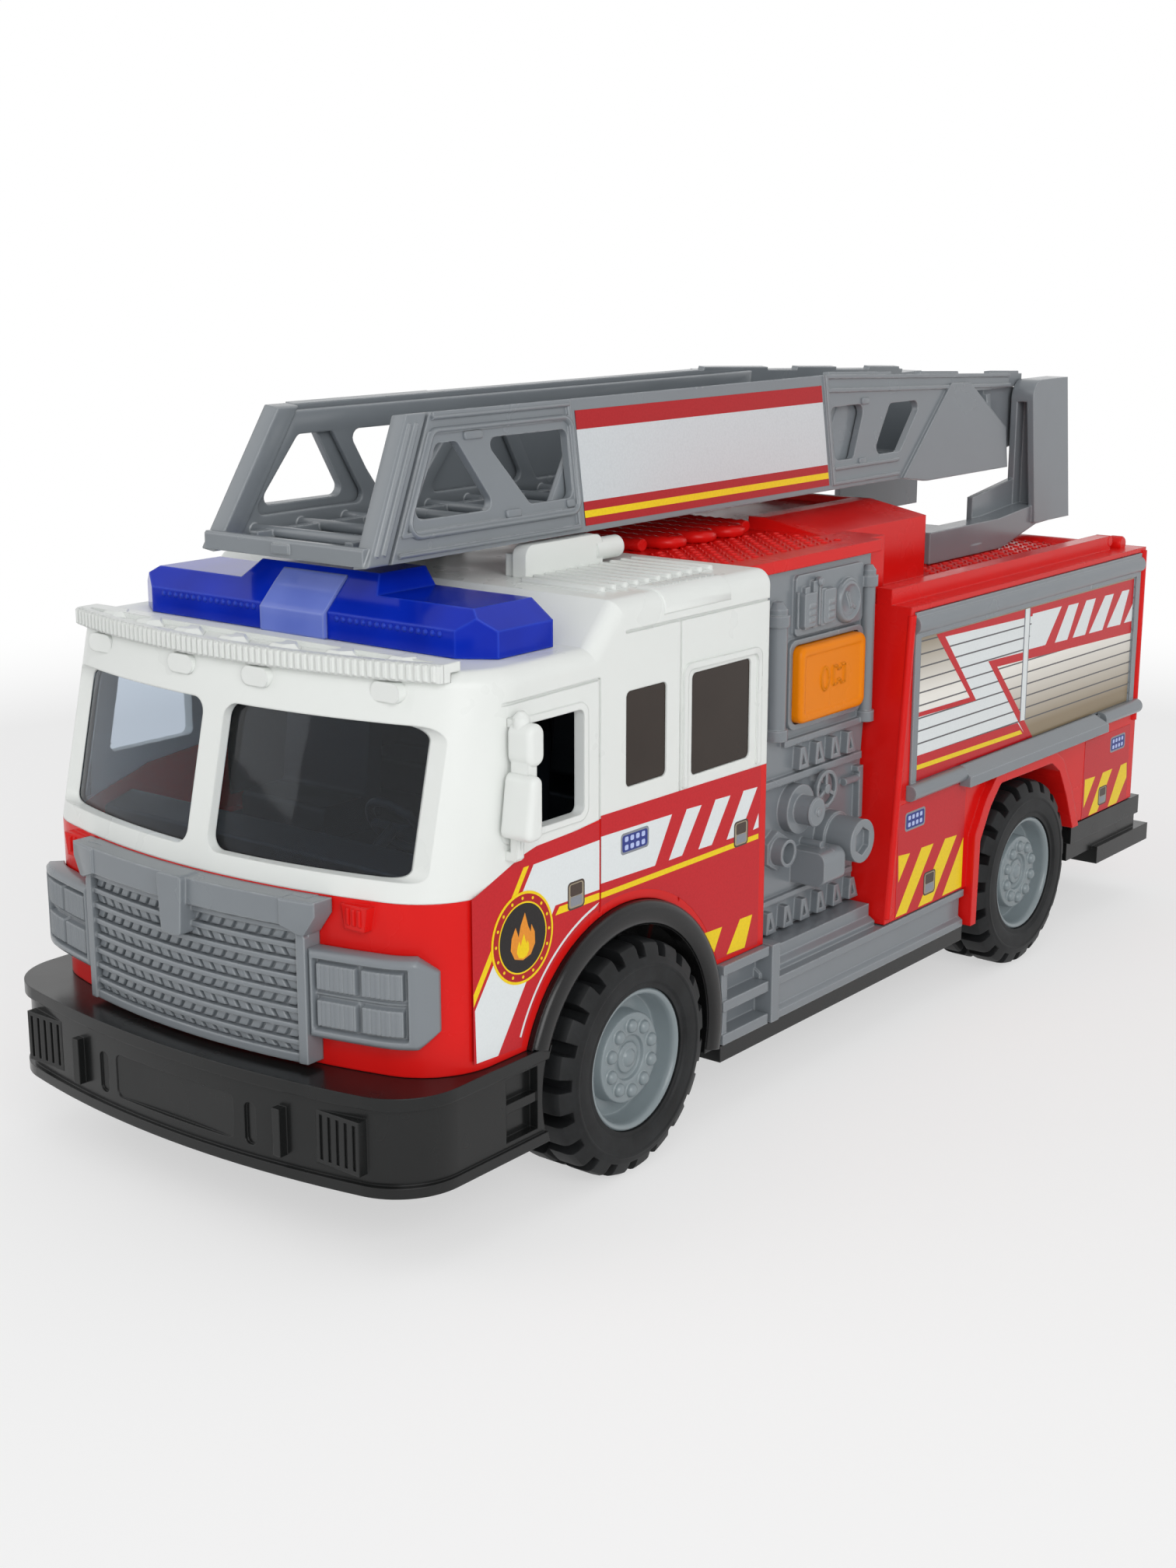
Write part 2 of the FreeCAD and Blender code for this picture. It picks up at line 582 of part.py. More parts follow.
def cab_upper():
    """White hollow cab top: roof, posts, window openings, brow lamps and shut lines."""
    belt = prism_x(belt_profile(BELT_REAR_Z, CAB_BOTTOM_Z - 5), -99, 99)
    shell = rounded_cab().cut(cab_block(WALL)).cut(belt)
    bead = prism_x(door_window(BEAD_WIDTH), CAB_HALF_WIDTH - 1.0, CAB_HALF_WIDTH + BEAD_PROUD, 2.4)
    shell = join([shell] + pair(bead))
    cuts = [screen_opening(-1), screen_opening(1)]
    cuts.append(prism_x(door_window(), -99, 99, 1.4))
    for window in REAR_WINDOWS:
        cuts.append(prism_x(window_outline(window), -99, 99, 1.2))
    cuts += upper_seams() + roof_louvres()
    shell = shell.cut(Part.makeCompound(cuts))
    lamps = []
    lamp_z = ROOF_FRONT_Z - 3.7
    for x in (-BROW_OUTER_X, -BROW_INNER_X, BROW_INNER_X, BROW_OUTER_X):
        front = front_line(x, CAB_FRONT + CAB_RAKE * (lamp_z - BELT_FRONT_Z), CAB_HALF_WIDTH, CAB_BOW)
        lamp = prism_y(rectangle(x - 3.4, x + 3.4, lamp_z - 1.8, lamp_z + 1.8), front - 1.0,
                       front + 1.4, 1.7)
        lamps.append(lamp)
    return join([shell] + lamps)


def seam_x(points):
    """Shallow groove along a line of (y, z) points on both cab sides."""
    cutters = []
    for (y0, z0), (y1, z1) in zip(points[:-1], points[1:]):
        run = V(0, y1 - y0, z1 - z0)
        across = V(0, -(z1 - z0), y1 - y0).normalize() * (SEAM / 2)
        start = V(CAB_HALF_WIDTH - SEAM, y0, z0)
        quad = Part.makePolygon([start + across, start + run + across, start + run - across,
                                 start - across, start + across])
        groove = Part.Face(quad).extrude(V(SEAM + 1, 0, 0))
        cutters += pair(groove)
    return cutters


def upper_seams():
    """Shut lines of the front door and the roof cap, on the white part."""
    door_top = ROOF_FRONT_Z - 6.1
    front_top = DOOR_FRONT + CAB_RAKE * (door_top - BELT_FRONT_Z)
    door = [(DOOR_FRONT, BELT_FRONT_Z), (front_top, door_top), (DOOR_REAR, door_top + 0.4),
            (DOOR_REAR, BELT_REAR_Z - 1)]
    cap_z = ROOF_REAR_Z - 6.0
    cap = [(SLOPE_FRONT + 10, cap_z), (CAB_REAR, cap_z)]
    rear = [(REAR_DOOR_SEAM, BELT_REAR_Z - 1), (REAR_DOOR_SEAM, cap_z)]
    return seam_x(door) + seam_x(cap) + seam_x(rear)


def roof_louvres():
    """Rows of shallow slots behind the light bar, on both sides of the ladder."""
    cutters = []
    for i in range(LOUVRE_COUNT):
        y = SLOPE_REAR + 5.0 + 2.6 * i
        slot = box(26.0, 44.0, y, y + 1.2, ROOF_REAR_Z - 0.6, ROOF_REAR_Z + 1)
        cutters += pair(slot)
    return cutters


def cab_lower():
    """Red hollow cab base with wheel wells and raised marker blocks."""
    belt = prism_x(belt_profile(BELT_REAR_Z, CAB_BOTTOM_Z - 5), -99, 99)
    block = cab_block(0).common(belt)
    cavity = cab_block(WALL).cut(box(-99, 99, -999, 999, 0, CAVITY_FLOOR_Z))
    shell = block.cut(cavity)
    cuts = []
    for side in (-1, 1):
        x0, x1 = sorted((side * WELL_INNER_X, side * 99))
        cuts.append(rod_x(LIP_RADIUS, x0, x1, FRONT_AXLE_Y, AXLE_Z))
    cuts += seam_x([(DOOR_FRONT, CAB_BOTTOM_Z), (DOOR_FRONT, BELT_FRONT_Z)])
    cuts += seam_x([(DOOR_REAR, AXLE_Z + LIP_RADIUS), (DOOR_REAR, BELT_REAR_Z)])
    cuts += seam_x([(REAR_DOOR_SEAM, AXLE_Z + LIP_RADIUS - 4), (REAR_DOOR_SEAM, BELT_REAR_Z)])
    shell = shell.cut(Part.makeCompound(cuts))
    blocks = []
    for side in (-1, 1):
        x = side * (GRILLE_HALF + 8.0)
        front = front_line(x, CAB_FRONT, CAB_HALF_WIDTH, CAB_BOW)
        blocks.append(prism_y([(x - 3.1, BELT_FRONT_Z - 0.9), (x + 3.1, BELT_FRONT_Z - 0.9),
                               (x + 2.4, BELT_FRONT_Z - 5.4), (x - 2.4, BELT_FRONT_Z - 5.4)],
                              front - 1.4, front + 1.8))
    return join([shell] + blocks)


def windscreen():
    """Clear wrap-round windscreen, glued inside the cab front."""
    gap = SEAT_GAP
    outer = cab_block(WALL + gap)
    inner = cab_block(WALL + gap + GLASS_THICKNESS)
    band = screen_band(SCREEN_BOTTOM_Z - 1.6, SCREEN_TOP_Z + 1.6, 1.6)
    return outer.cut(inner).common(band)


def side_glass(side):
    """Dark panes of the two rear cab windows on one side."""
    panes = []
    x0 = CAB_HALF_WIDTH - WALL - SEAT_GAP - GLASS_THICKNESS
    backing = rectangle(CAB_REAR - 49.6, CAB_REAR - WALL - 1.0, BELT_REAR_Z + 1.2, BELT_REAR_Z + 24.6)
    panes.append(prism_x(backing, x0, x0 + GLASS_THICKNESS, 1.0))
    for window in REAR_WINDOWS:
        panes.append(prism_x(window_outline(window, -SEAT_GAP), x0 + GLASS_THICKNESS,
                             CAB_HALF_WIDTH - 0.3, 1.1))
    glass = join(panes)
    if side < 0:
        glass = flipped(glass)
    return glass


def cab_interior():
    """Dark insert seen through the glass: floor, dashboard, wheel and two rows of seats."""
    half = CAB_HALF_WIDTH - WALL - 3.0
    floor = CAVITY_FLOOR_Z
    front = CAB_FRONT + 22.0
    shapes = [
        box(-half + 6, half - 6, front - 8, CAB_REAR - WALL - 1.5, floor, floor + 2.0),
        prism_x([(front - 8, floor), (front + 1, floor), (front + 3, floor + 10),
                 (front - 1, floor + 13), (front - 8, floor + 11)], -half + 8, half - 8, 0.8),
    ]
    seats = [
        {"x": 22.0, "y": CAB_FRONT + 44.0, "half": 12.0},
        {"x": -22.0, "y": CAB_FRONT + 44.0, "half": 12.0},
        {"x": 22.0, "y": CAB_FRONT + 84.0, "half": 16.0},
        {"x": -22.0, "y": CAB_FRONT + 84.0, "half": 16.0},
    ]
    for seat in seats:
        profile = [
            (seat["y"], floor), (seat["y"] + 16, floor), (seat["y"] + 18, floor + 28),
            (seat["y"] + 14.5, floor + 28), (seat["y"] + 12, floor + 9), (seat["y"], floor + 9),
        ]
        shapes.append(prism_x(profile, seat["x"] - seat["half"], seat["x"] + seat["half"], 1.2))
    column_y = front + 1.5
    column = Part.makeCylinder(1.2, 9, V(22, column_y, floor + 9), V(0, 0.85, 0.53))
    ring = Part.makeTorus(6.0, 0.9, V(22, column_y + 7.6, floor + 13.8), V(0, 0.85, 0.53))
    spoke = box(16.5, 27.5, column_y + 6.6, column_y + 8.4, floor + 13.0, floor + 14.6)
    return join(shapes + [column, ring, spoke])


def grille():
    """Bowed grille: bevelled top bar with a plain badge block, slats and a lower bar."""
    front = CAB_FRONT - GRILLE_PROUD
    args = (CAB_HALF_WIDTH, CAB_BOW, CAB_CORNER)
    span = box(-GRILLE_HALF, GRILLE_HALF, front - 5, CAB_FRONT + 12, 0, 200)
    rear_cut = bowed_block(CAB_BOTTOM_Z, BELT_FRONT_Z + 9, CAB_FRONT - SEAT_GAP, CAB_FRONT + 60, *args)
    bottom = CAB_BOTTOM_Z + 1.0
    top = BELT_FRONT_Z - 0.2
    bar_bottom = top - 5.0
    shapes = [
        bowed_block(bottom, bar_bottom, front + 1.5, CAB_FRONT + 50, *args),
        bowed_block(bar_bottom, top, front - 1.3, CAB_FRONT + 50, *args),
        bowed_block(bottom, bottom + 1.6, front - 0.2, CAB_FRONT + 50, *args),
    ]
    pitch = (bar_bottom - bottom - 1.6) / GRILLE_SLATS
    for i in range(GRILLE_SLATS):
        z = bottom + 1.6 + pitch * (i + 0.5)
        shapes.append(bowed_block(z, z + pitch * 0.3, front, CAB_FRONT + 50, *args))
    body = join([shape.common(span).cut(rear_cut) for shape in shapes])
    frames = []
    for side in (-1, 1):
        x0, x1 = sorted((side * GRILLE_HALF, side * (GRILLE_HALF - 1.8)))
        rim = bowed_block(bottom, top, front - 0.6, CAB_FRONT + 50, *args)
        frames.append(rim.common(box(x0, x1, front - 5, CAB_FRONT + 12, 0, 200)).cut(rear_cut))
    badge = prism_y([(-3.3, top + 0.3), (-2.5, top - 11.0), (2.5, top - 11.0), (3.3, top + 0.3)],
                    front - 2.6, front + 2.0, 0.8)
    body = join([body, badge] + frames)
    bevel = [(GRILLE_HALF + 1, bar_bottom - 4), (GRILLE_HALF + 1, top + 1), (GRILLE_HALF - 4.5, top + 1)]
    for corner in pair(prism_y(bevel, front - 6, CAB_FRONT)):
        body = body.cut(corner)
    return body


def headlamp():
    """Grey corner block with four ribbed lenses, on the left."""
    front = CAB_FRONT - LAMP_PROUD
    half = CAB_HALF_WIDTH + 1.5
    args = (half, CAB_BOW, CAB_CORNER)
    rear_cut = bowed_block(CAB_BOTTOM_Z, BELT_FRONT_Z + 9, CAB_FRONT - SEAT_GAP, CAB_FRONT + 60,
                           CAB_HALF_WIDTH + SEAT_GAP, CAB_BOW, CAB_CORNER)
    zone = box(LAMP_INNER_X, half + 1, front - 5, CAB_FRONT + 9.0, LAMP_BOTTOM_Z, LAMP_TOP_Z)
    block = bowed_block(LAMP_BOTTOM_Z, LAMP_TOP_Z, front, CAB_FRONT + 50, *args).common(zone)
    bevel = [(CAB_FRONT + 1, LAMP_BOTTOM_Z - 1), (CAB_FRONT + 10, LAMP_BOTTOM_Z - 1),
             (CAB_FRONT + 10, LAMP_BOTTOM_Z + 2.5)]
    block = block.cut(rear_cut).cut(prism_x(bevel, LAMP_INNER_X, half + 2))
    depth = bowed_block(LAMP_BOTTOM_Z - 1, LAMP_TOP_Z + 1, front + LENS_RECESS, CAB_FRONT + 50, *args)
    frame_zone = box(LAMP_INNER_X + 1.2, LAMP_INNER_X + 20.6, front - 5, CAB_FRONT + 6.0,
                     LAMP_BOTTOM_Z + 1.4, LAMP_TOP_Z - 1.4)
    block = block.cut(frame_zone.cut(depth))
    lens_width = 9.0
    lens_height = (LAMP_TOP_Z - LAMP_BOTTOM_Z - 4.2) / 2
    lenses = []
    ribs = []
    for column in range(2):
        x = LAMP_INNER_X + 1.7 + column * (lens_width + 0.7)
        for row in range(2):
            z = LAMP_BOTTOM_Z + 1.8 + row * (lens_height + 0.6)
            lens = bowed_block(z, z + lens_height, front + 0.1, CAB_FRONT + 50, *args)
            lens = lens.common(box(x, x + lens_width, front - 5, CAB_FRONT + 6.0, 0, 200))
            lenses.append(lens.cut(rear_cut))
        for i in range(LENS_GROOVES):
            groove_x = x + lens_width * (i + 1) / (LENS_GROOVES + 1)
            rib_front = front_line(groove_x, front + 0.1, half, CAB_BOW)
            ribs.append(box(groove_x - 0.2, groove_x + 0.2, rib_front - 2, rib_front + 0.6,
                            LAMP_BOTTOM_Z + 1.4, LAMP_TOP_Z - 1.4))
    return join([block] + lenses).cut(Part.makeCompound(ribs))


def sun_visor():
    """Bowed shelf over the windscreen with a toothed front edge."""
    z0 = ROOF_FRONT_Z - 1.6
    z1 = ROOF_FRONT_Z + 1.8
    brow = CAB_FRONT + CAB_RAKE * (ROOF_FRONT_Z - BELT_FRONT_Z)
    args = (CAB_HALF_WIDTH, CAB_BOW, CAB_CORNER)
    shelf = bowed_block(z0, z1, brow - VISOR_REACH, brow + 40, *args)
    span = box(-VISOR_HALF, VISOR_HALF, brow - 9, brow + 11, z0 - 1, z1 + 1)
    roof = bowed_block(z0 - 1, ROOF_FRONT_Z + SEAT_GAP, brow - 0.3, brow + 60, *args)
    shelf = shelf.common(span).cut(roof)
    tray = bowed_block(z1 - 1.0, z1 + 1, brow, brow + 40, *args)
    tray = tray.common(box(-VISOR_HALF + 3, VISOR_HALF - 3, brow - 9, brow + 7.5, 0, 200))
    shelf = shelf.cut(tray)
    cuts = []
    for i in range(VISOR_TEETH):
        x = -VISOR_HALF + 3.0 + (2 * VISOR_HALF - 6.0) * i / (VISOR_TEETH - 1)
        front = front_line(x, brow - VISOR_REACH, CAB_HALF_WIDTH, CAB_BOW)
        cuts.append(box(x - 0.35, x + 0.35, front - 1, front + 0.6, z0 - 1, z1 + 1))
    return shelf.cut(Part.makeCompound(cuts))


def mirror(side):
    """Two-headed door mirror: rounded heads, a neck, a round knob and two small feet."""
    front = DOOR_FRONT + 6.9
    low = BELT_FRONT_Z + 9.8
    x0 = CAB_HALF_WIDTH + 0.9
    lower = prism_x([(front - 0.7, low), (front + 3.8, low), (front + 3.8, low + 11.6),
                     (front + 1.0, low + 11.6)], x0, x0 + 6.4, 1.5)
    upper = prism_x(rectangle(front + 1.7, front + 6.0, low + 12.8, low + 20.4), x0, x0 + 5.0, 2.0)
    heads = []
    for head in (lower, upper):
        outer_x = head.BoundBox.XMax
        edges = [edge for edge in head.Edges if abs(edge.CenterOfMass.x - outer_x) < 0.01]
        heads.append(head.makeFillet(1.2, edges))
    neck = prism_x(rectangle(front + 2.0, front + 4.4, low + 10.0, low + 14.4), x0 + 0.3, x0 + 4.2)
    knob_x = x0 + 1.6
    knob_y = front + 3.4
    knob = rod_z(1.5, low + 18.0, low + 21.4, knob_x, knob_y)
    knob_top = Part.makeCone(1.5, 0.6, 1.0, V(knob_x, knob_y, low + 21.4))
    top_foot = box(CAB_HALF_WIDTH, knob_x, knob_y - 0.9, knob_y + 0.7, low + 19.4, low + 21.0)
    foot_x = x0 + 1.0
    foot_y = front + 2.6
    elbow = [(CAB_HALF_WIDTH, low - 4.5), (foot_x + 0.3, low - 4.5), (foot_x + 0.9, low - 3.9),
             (foot_x + 0.9, low + 1.0), (foot_x - 0.7, low + 1.0), (foot_x - 0.7, low - 2.8),
             (CAB_HALF_WIDTH, low - 2.8)]
    foot = prism_y(elbow, foot_y - 0.9, foot_y + 0.9)
    fin = prism_x([(foot_y, low + 0.5), (foot_y, low - 2.4), (foot_y + 2.0, low + 0.5)], x0 + 0.5, x0 + 2.0)
    shape = join(heads + [neck, knob, knob_top, top_foot, foot, fin])
    if side < 0:
        shape = flipped(shape)
    return shape


# ---- roof fittings --------------------------------------------------------------------
def light_bar():
    """Blue beacon with chamfered ends and a raised middle."""
    z0 = ROOF_FRONT_Z + 0.1
    z1 = z0 + BAR_HEIGHT
    rear = BAR_FRONT + BAR_DEPTH
    outline = [
        (-BAR_HALF + 6.4, BAR_FRONT), (BAR_HALF - 6.4, BAR_FRONT), (BAR_HALF, BAR_FRONT + 4.4),
        (BAR_HALF, rear), (-BAR_HALF, rear), (-BAR_HALF, BAR_FRONT + 4.4),
    ]
    body = prism_z(outline, z0, z1)
    section = [(-BAR_HALF, z0), (BAR_HALF, z0), (BAR_HALF, z0 + 5.0), (BAR_HALF - 5.0, z1),
               (-BAR_HALF + 5.0, z1), (-BAR_HALF, z0 + 5.0)]
    front_slope = [(BAR_FRONT, z0), (rear, z0), (rear, z1), (BAR_FRONT + 3.6, z1),
                   (BAR_FRONT, z0 + 5.0)]
    body = body.common(prism_y(section, BAR_FRONT, rear))
    body = body.common(prism_x(front_slope, -BAR_HALF, BAR_HALF))
    raised = prism_x([(BAR_FRONT + 3.0, z0 + 4), (rear, z0 + 4), (rear, z1 + 3.4),
                      (BAR_FRONT + 7.0, z1 + 3.4), (BAR_FRONT + 3.6, z1)], -18.0, 18.0)
    raised = raised.common(prism_y([(-18, z0), (18, z0), (18, z1), (15.5, z1 + 3.4),
                                    (-15.5, z1 + 3.4), (-18, z1)], BAR_FRONT, rear))
    wedge_cut = box(-8.6, 8.6, BAR_FRONT - 2, BAR_FRONT + 6.0, z0 - 1, z1 + 9)
    return join([body, raised]).cut(wedge_cut)


def light_bar_lens():
    """Lighter middle lens of the beacon, set in its front."""
    z0 = ROOF_FRONT_Z + 0.1
    z1 = z0 + BAR_HEIGHT
    profile = [(BAR_FRONT - 0.9, z0), (BAR_FRONT + 5.9, z0), (BAR_FRONT + 5.9, z1 + 2.6),
               (BAR_FRONT + 3.0, z1), (BAR_FRONT - 0.9, z0 + 4.6)]
    return prism_x(profile, -8.4, 8.4)


def ladder_rest(side):
    """Raised saddle on the roof that the ladder's side rail lies over."""
    front = CAB_REAR - 40.0
    rear = CAB_REAR - 15.6
    top = LADDER_BASE_Z - REST_GAP
    x0 = REST_X - REST_THICKNESS / 2
    outline = [(front, ROOF_REAR_Z), (rear, ROOF_REAR_Z), (rear, top), (front, top)]
    plate = prism_x(outline, x0, x0 + REST_THICKNESS)
    edges = [edge for edge in plate.Edges
             if abs(edge.CenterOfMass.z - top) < 0.01 and abs(edge.CenterOfMass.x - REST_X) < 0.01]
    plate = plate.makeFillet(2.4, edges)
    flange = box(x0 - 2.4, x0, front + 0.8, front + 2.6, ROOF_REAR_Z, top - 2.0)
    peg = rod_y(2.3, rear - 2, rear + 6.4, REST_X, ROOF_REAR_Z + 3.0)
    rest = join([plate, flange, peg])
    if side < 0:
        rest = flipped(rest)
    return rest


# ---- pump section ---------------------------------------------------------------------


def pump_panel(side):
    """Grey side panel with moulded pipes, gauge, levers, outlets and a hand wheel."""
    face = PANEL_X + PANEL_THICKNESS
    mid = PANEL_MID_Y
    base = BOX_BOTTOM_Z
    low_rear = BOX_FRONT - LOCKER_LEAN - SEAT_GAP
    sheet = [(PANEL_FRONT, PANEL_BOTTOM_Z), (low_rear, PANEL_BOTTOM_Z), (PANEL_REAR, DECK_Z - 14.0),
             (PANEL_REAR, PANEL_TOP_Z), (PANEL_FRONT, PANEL_TOP_Z)]
    shapes = [prism_x(sheet, PANEL_X, face)]
    # upright pipes: y, lower z and upper z from the panel's foot, radius
    pipes = [
        {"y": -20.5, "low": 48.0, "high": 76.0, "r": 2.1},
        {"y": 15.6, "low": 46.0, "high": 80.0, "r": 1.6},
    ]
    for pipe in pipes:
        y = mid + pipe["y"]
        radius = pipe["r"]
        low = base + pipe["low"]
        high = base + pipe["high"]
        shapes.append(rod_z(radius, low, high, face + 1.0, y))
        shapes.append(rod_z(radius + 0.5, low, low + 2.4, face + 1.0, y))
        shapes.append(rod_z(radius + 0.5, high - 3.6, high - 1.2, face + 1.0, y))
        shapes.append(Part.makeCone(radius, radius * 0.5, radius * 0.7, V(face + 1.0, y, high)))
    plate_outline = rectangle(mid - 13.5, mid + 13.5, base + 69.0, base + 82.0)
    tool_plate = prism_x(plate_outline, face, face + 0.9, 1.2)
    gauge = tube_x(4.3, 3.4, face + 0.9, face + 1.8, mid + 6.6, base + 75.0)
    needle = box(face + 0.9, face + 1.5, mid + 6.2, mid + 7.0, base + 73.6, base + 77.6)
    shapes += [tool_plate, gauge, needle]
    for i, height in enumerate((9.0, 10.0, 8.0)):
        y = mid - 11.5 + 3.2 * i
        shapes.append(box(face + 0.9, face + 2.0, y, y + 1.7, base + 70.4, base + 70.4 + height))
    frame = prism_x(rectangle(mid - 16.2, mid + 13.4, base + 49.0, base + 68.4), face, face + 1.4, 2.4)
    frame = frame.cut(prism_x(button_outline(0.3), face - 1, face + 4, 2.0))
    shapes.append(frame)
    shapes.append(box(face, face + 1.2, mid - 17.0, mid + 14.0, base + 45.6, base + 47.0))
    for i in range(4):
        shapes.append(lever(face, mid - 10.6 + 6.4 * i, base + 42.4))
    shapes.append(box(face, face + 1.4, PANEL_FRONT + 9, PANEL_REAR - 3.6, base + 37.6, base + 39.2))
    for i in range(6):
        shapes.append(lever(face, mid - 22.2 + 6.7 * i, base + 8.0))
    shapes.append(box(face, face + 1.2, mid - 24.0, mid + 12.0, base + 11.6, base + 12.8))
    shapes += outlets(face, mid, base)
    shapes += hand_wheel(face, mid - 2.0, base + 33.9)
    motor = prism_y(rectangle(face - 3.0, face + 8.8, base + 14.6, base + 22.2), mid - 12.1, mid - 3.7, 2.2)
    shapes.append(motor.common(box(face, 99, -999, 999, 0, 200)))
    shapes.append(rod_x(0.9, face, face + 5.4, mid - 7.7, base + 22.8))
    rail = [(mid + 13.1, base + 24.0), (mid + 14.5, base + 24.0), (mid + 14.5, base + 36.0),
            (mid + 12.4, base + 36.0), (mid + 12.4, base + 34.8), (mid + 13.1, base + 34.8)]
    shapes.append(prism_x(rail, face, face + 1.8))
    shapes.append(rod_y(0.9, mid + 7.6, mid + 13.4, face + 0.9, base + 33.2))
    panel = join(shapes)
    if side < 0:
        panel = flipped(panel)
    return panel


def outlets(face, mid, base):
    """Stepped cap, bored hexagonal port and long barrel outlet of the pump."""
    cap_y = mid - 12.4
    cap_z = base + 31.5
    cap = [rod_x(5.4, face, face + 2.7, cap_y, cap_z), rod_x(3.2, face, face + 6.6, cap_y, cap_z)]
    port_y = mid - 19.9
    port_z = base + 23.6
    port = join([hexagon_x(4.4, face, face + 1.8, port_y, port_z),
                 rod_x(3.0, face, face + 4.7, port_y, port_z)])
    port = port.cut(rod_x(2.3, face + 1.8, face + 6, port_y, port_z))
    barrel_y = mid + 2.5
    barrel_z = base + 22.2
    barrel = join([rod_x(5.6, face, face + 2.7, barrel_y, barrel_z),
                   rod_x(4.9, face, face + 9.4, barrel_y, barrel_z)])
    barrel = barrel.cut(hexagon_x(3.3, face + 7.8, face + 11, barrel_y, barrel_z))
    return cap + [port, barrel]


def hand_wheel(face, y, z):
    """Small three-spoked hand wheel on a short stem."""
    wheel = [tube_x(4.2, 3.4, face + 1.8, face + 2.8, y, z), rod_x(1.1, face, face + 3.0, y, z)]
    for turn in (90, 210, 330):
        spoke = box(face + 1.9, face + 2.7, y, y + 3.8, z - 0.4, z + 0.4)
        spoke.rotate(V(0, y, z), V(1, 0, 0), turn)
        wheel.append(spoke)
    return wheel


def lever(face, y, z):
    """Small moulded valve lever: an open triangle with a slanting rear leg."""
    frame = prism_x([(y - 1.6, z - 2.4), (y + 2.2, z - 2.4), (y + 0.4, z + 2.4), (y - 1.2, z + 2.4)],
                    face, face + 2.0)
    hole = prism_x([(y - 0.7, z - 1.4), (y + 0.8, z - 1.4), (y - 0.2, z + 1.2)], face + 0.6, face + 3)
    return frame.cut(hole)


def button_outline(gap):
    """Corners of the sound button's opening."""
    mid = PANEL_MID_Y
    return rectangle(mid - 14.8 - gap, mid + 11.8 + gap, BOX_BOTTOM_Z + 50.4 - gap,
                     BOX_BOTTOM_Z + 67.0 + gap)


def sound_button(side):
    """Large orange push button that stands proud of the pump panel."""
    x0 = PANEL_X + PANEL_THICKNESS
    button = prism_x(button_outline(0), x0, x0 + BUTTON_PROUD, 2.0)
    edges = [edge for edge in button.Edges if abs(edge.CenterOfMass.x - x0 - BUTTON_PROUD) < 0.01]
    button = button.makeFillet(1.0, edges)
    mid_y = PANEL_MID_Y - 1.5
    mid_z = BOX_BOTTOM_Z + 58.7
    ring = tube_x(4.4, 3.7, x0 + BUTTON_PROUD - 0.4, x0 + BUTTON_PROUD + 0.4, mid_y, mid_z)
    dots = [rod_x(1.0, x0 + BUTTON_PROUD - 0.4, x0 + BUTTON_PROUD + 0.4, mid_y + offset, mid_z)
            for offset in (-1.8, 1.8)]
    button = join([button, ring] + dots)
    if side < 0:
        button = flipped(button)
    return button


# ---- rear body ------------------------------------------------------------------------


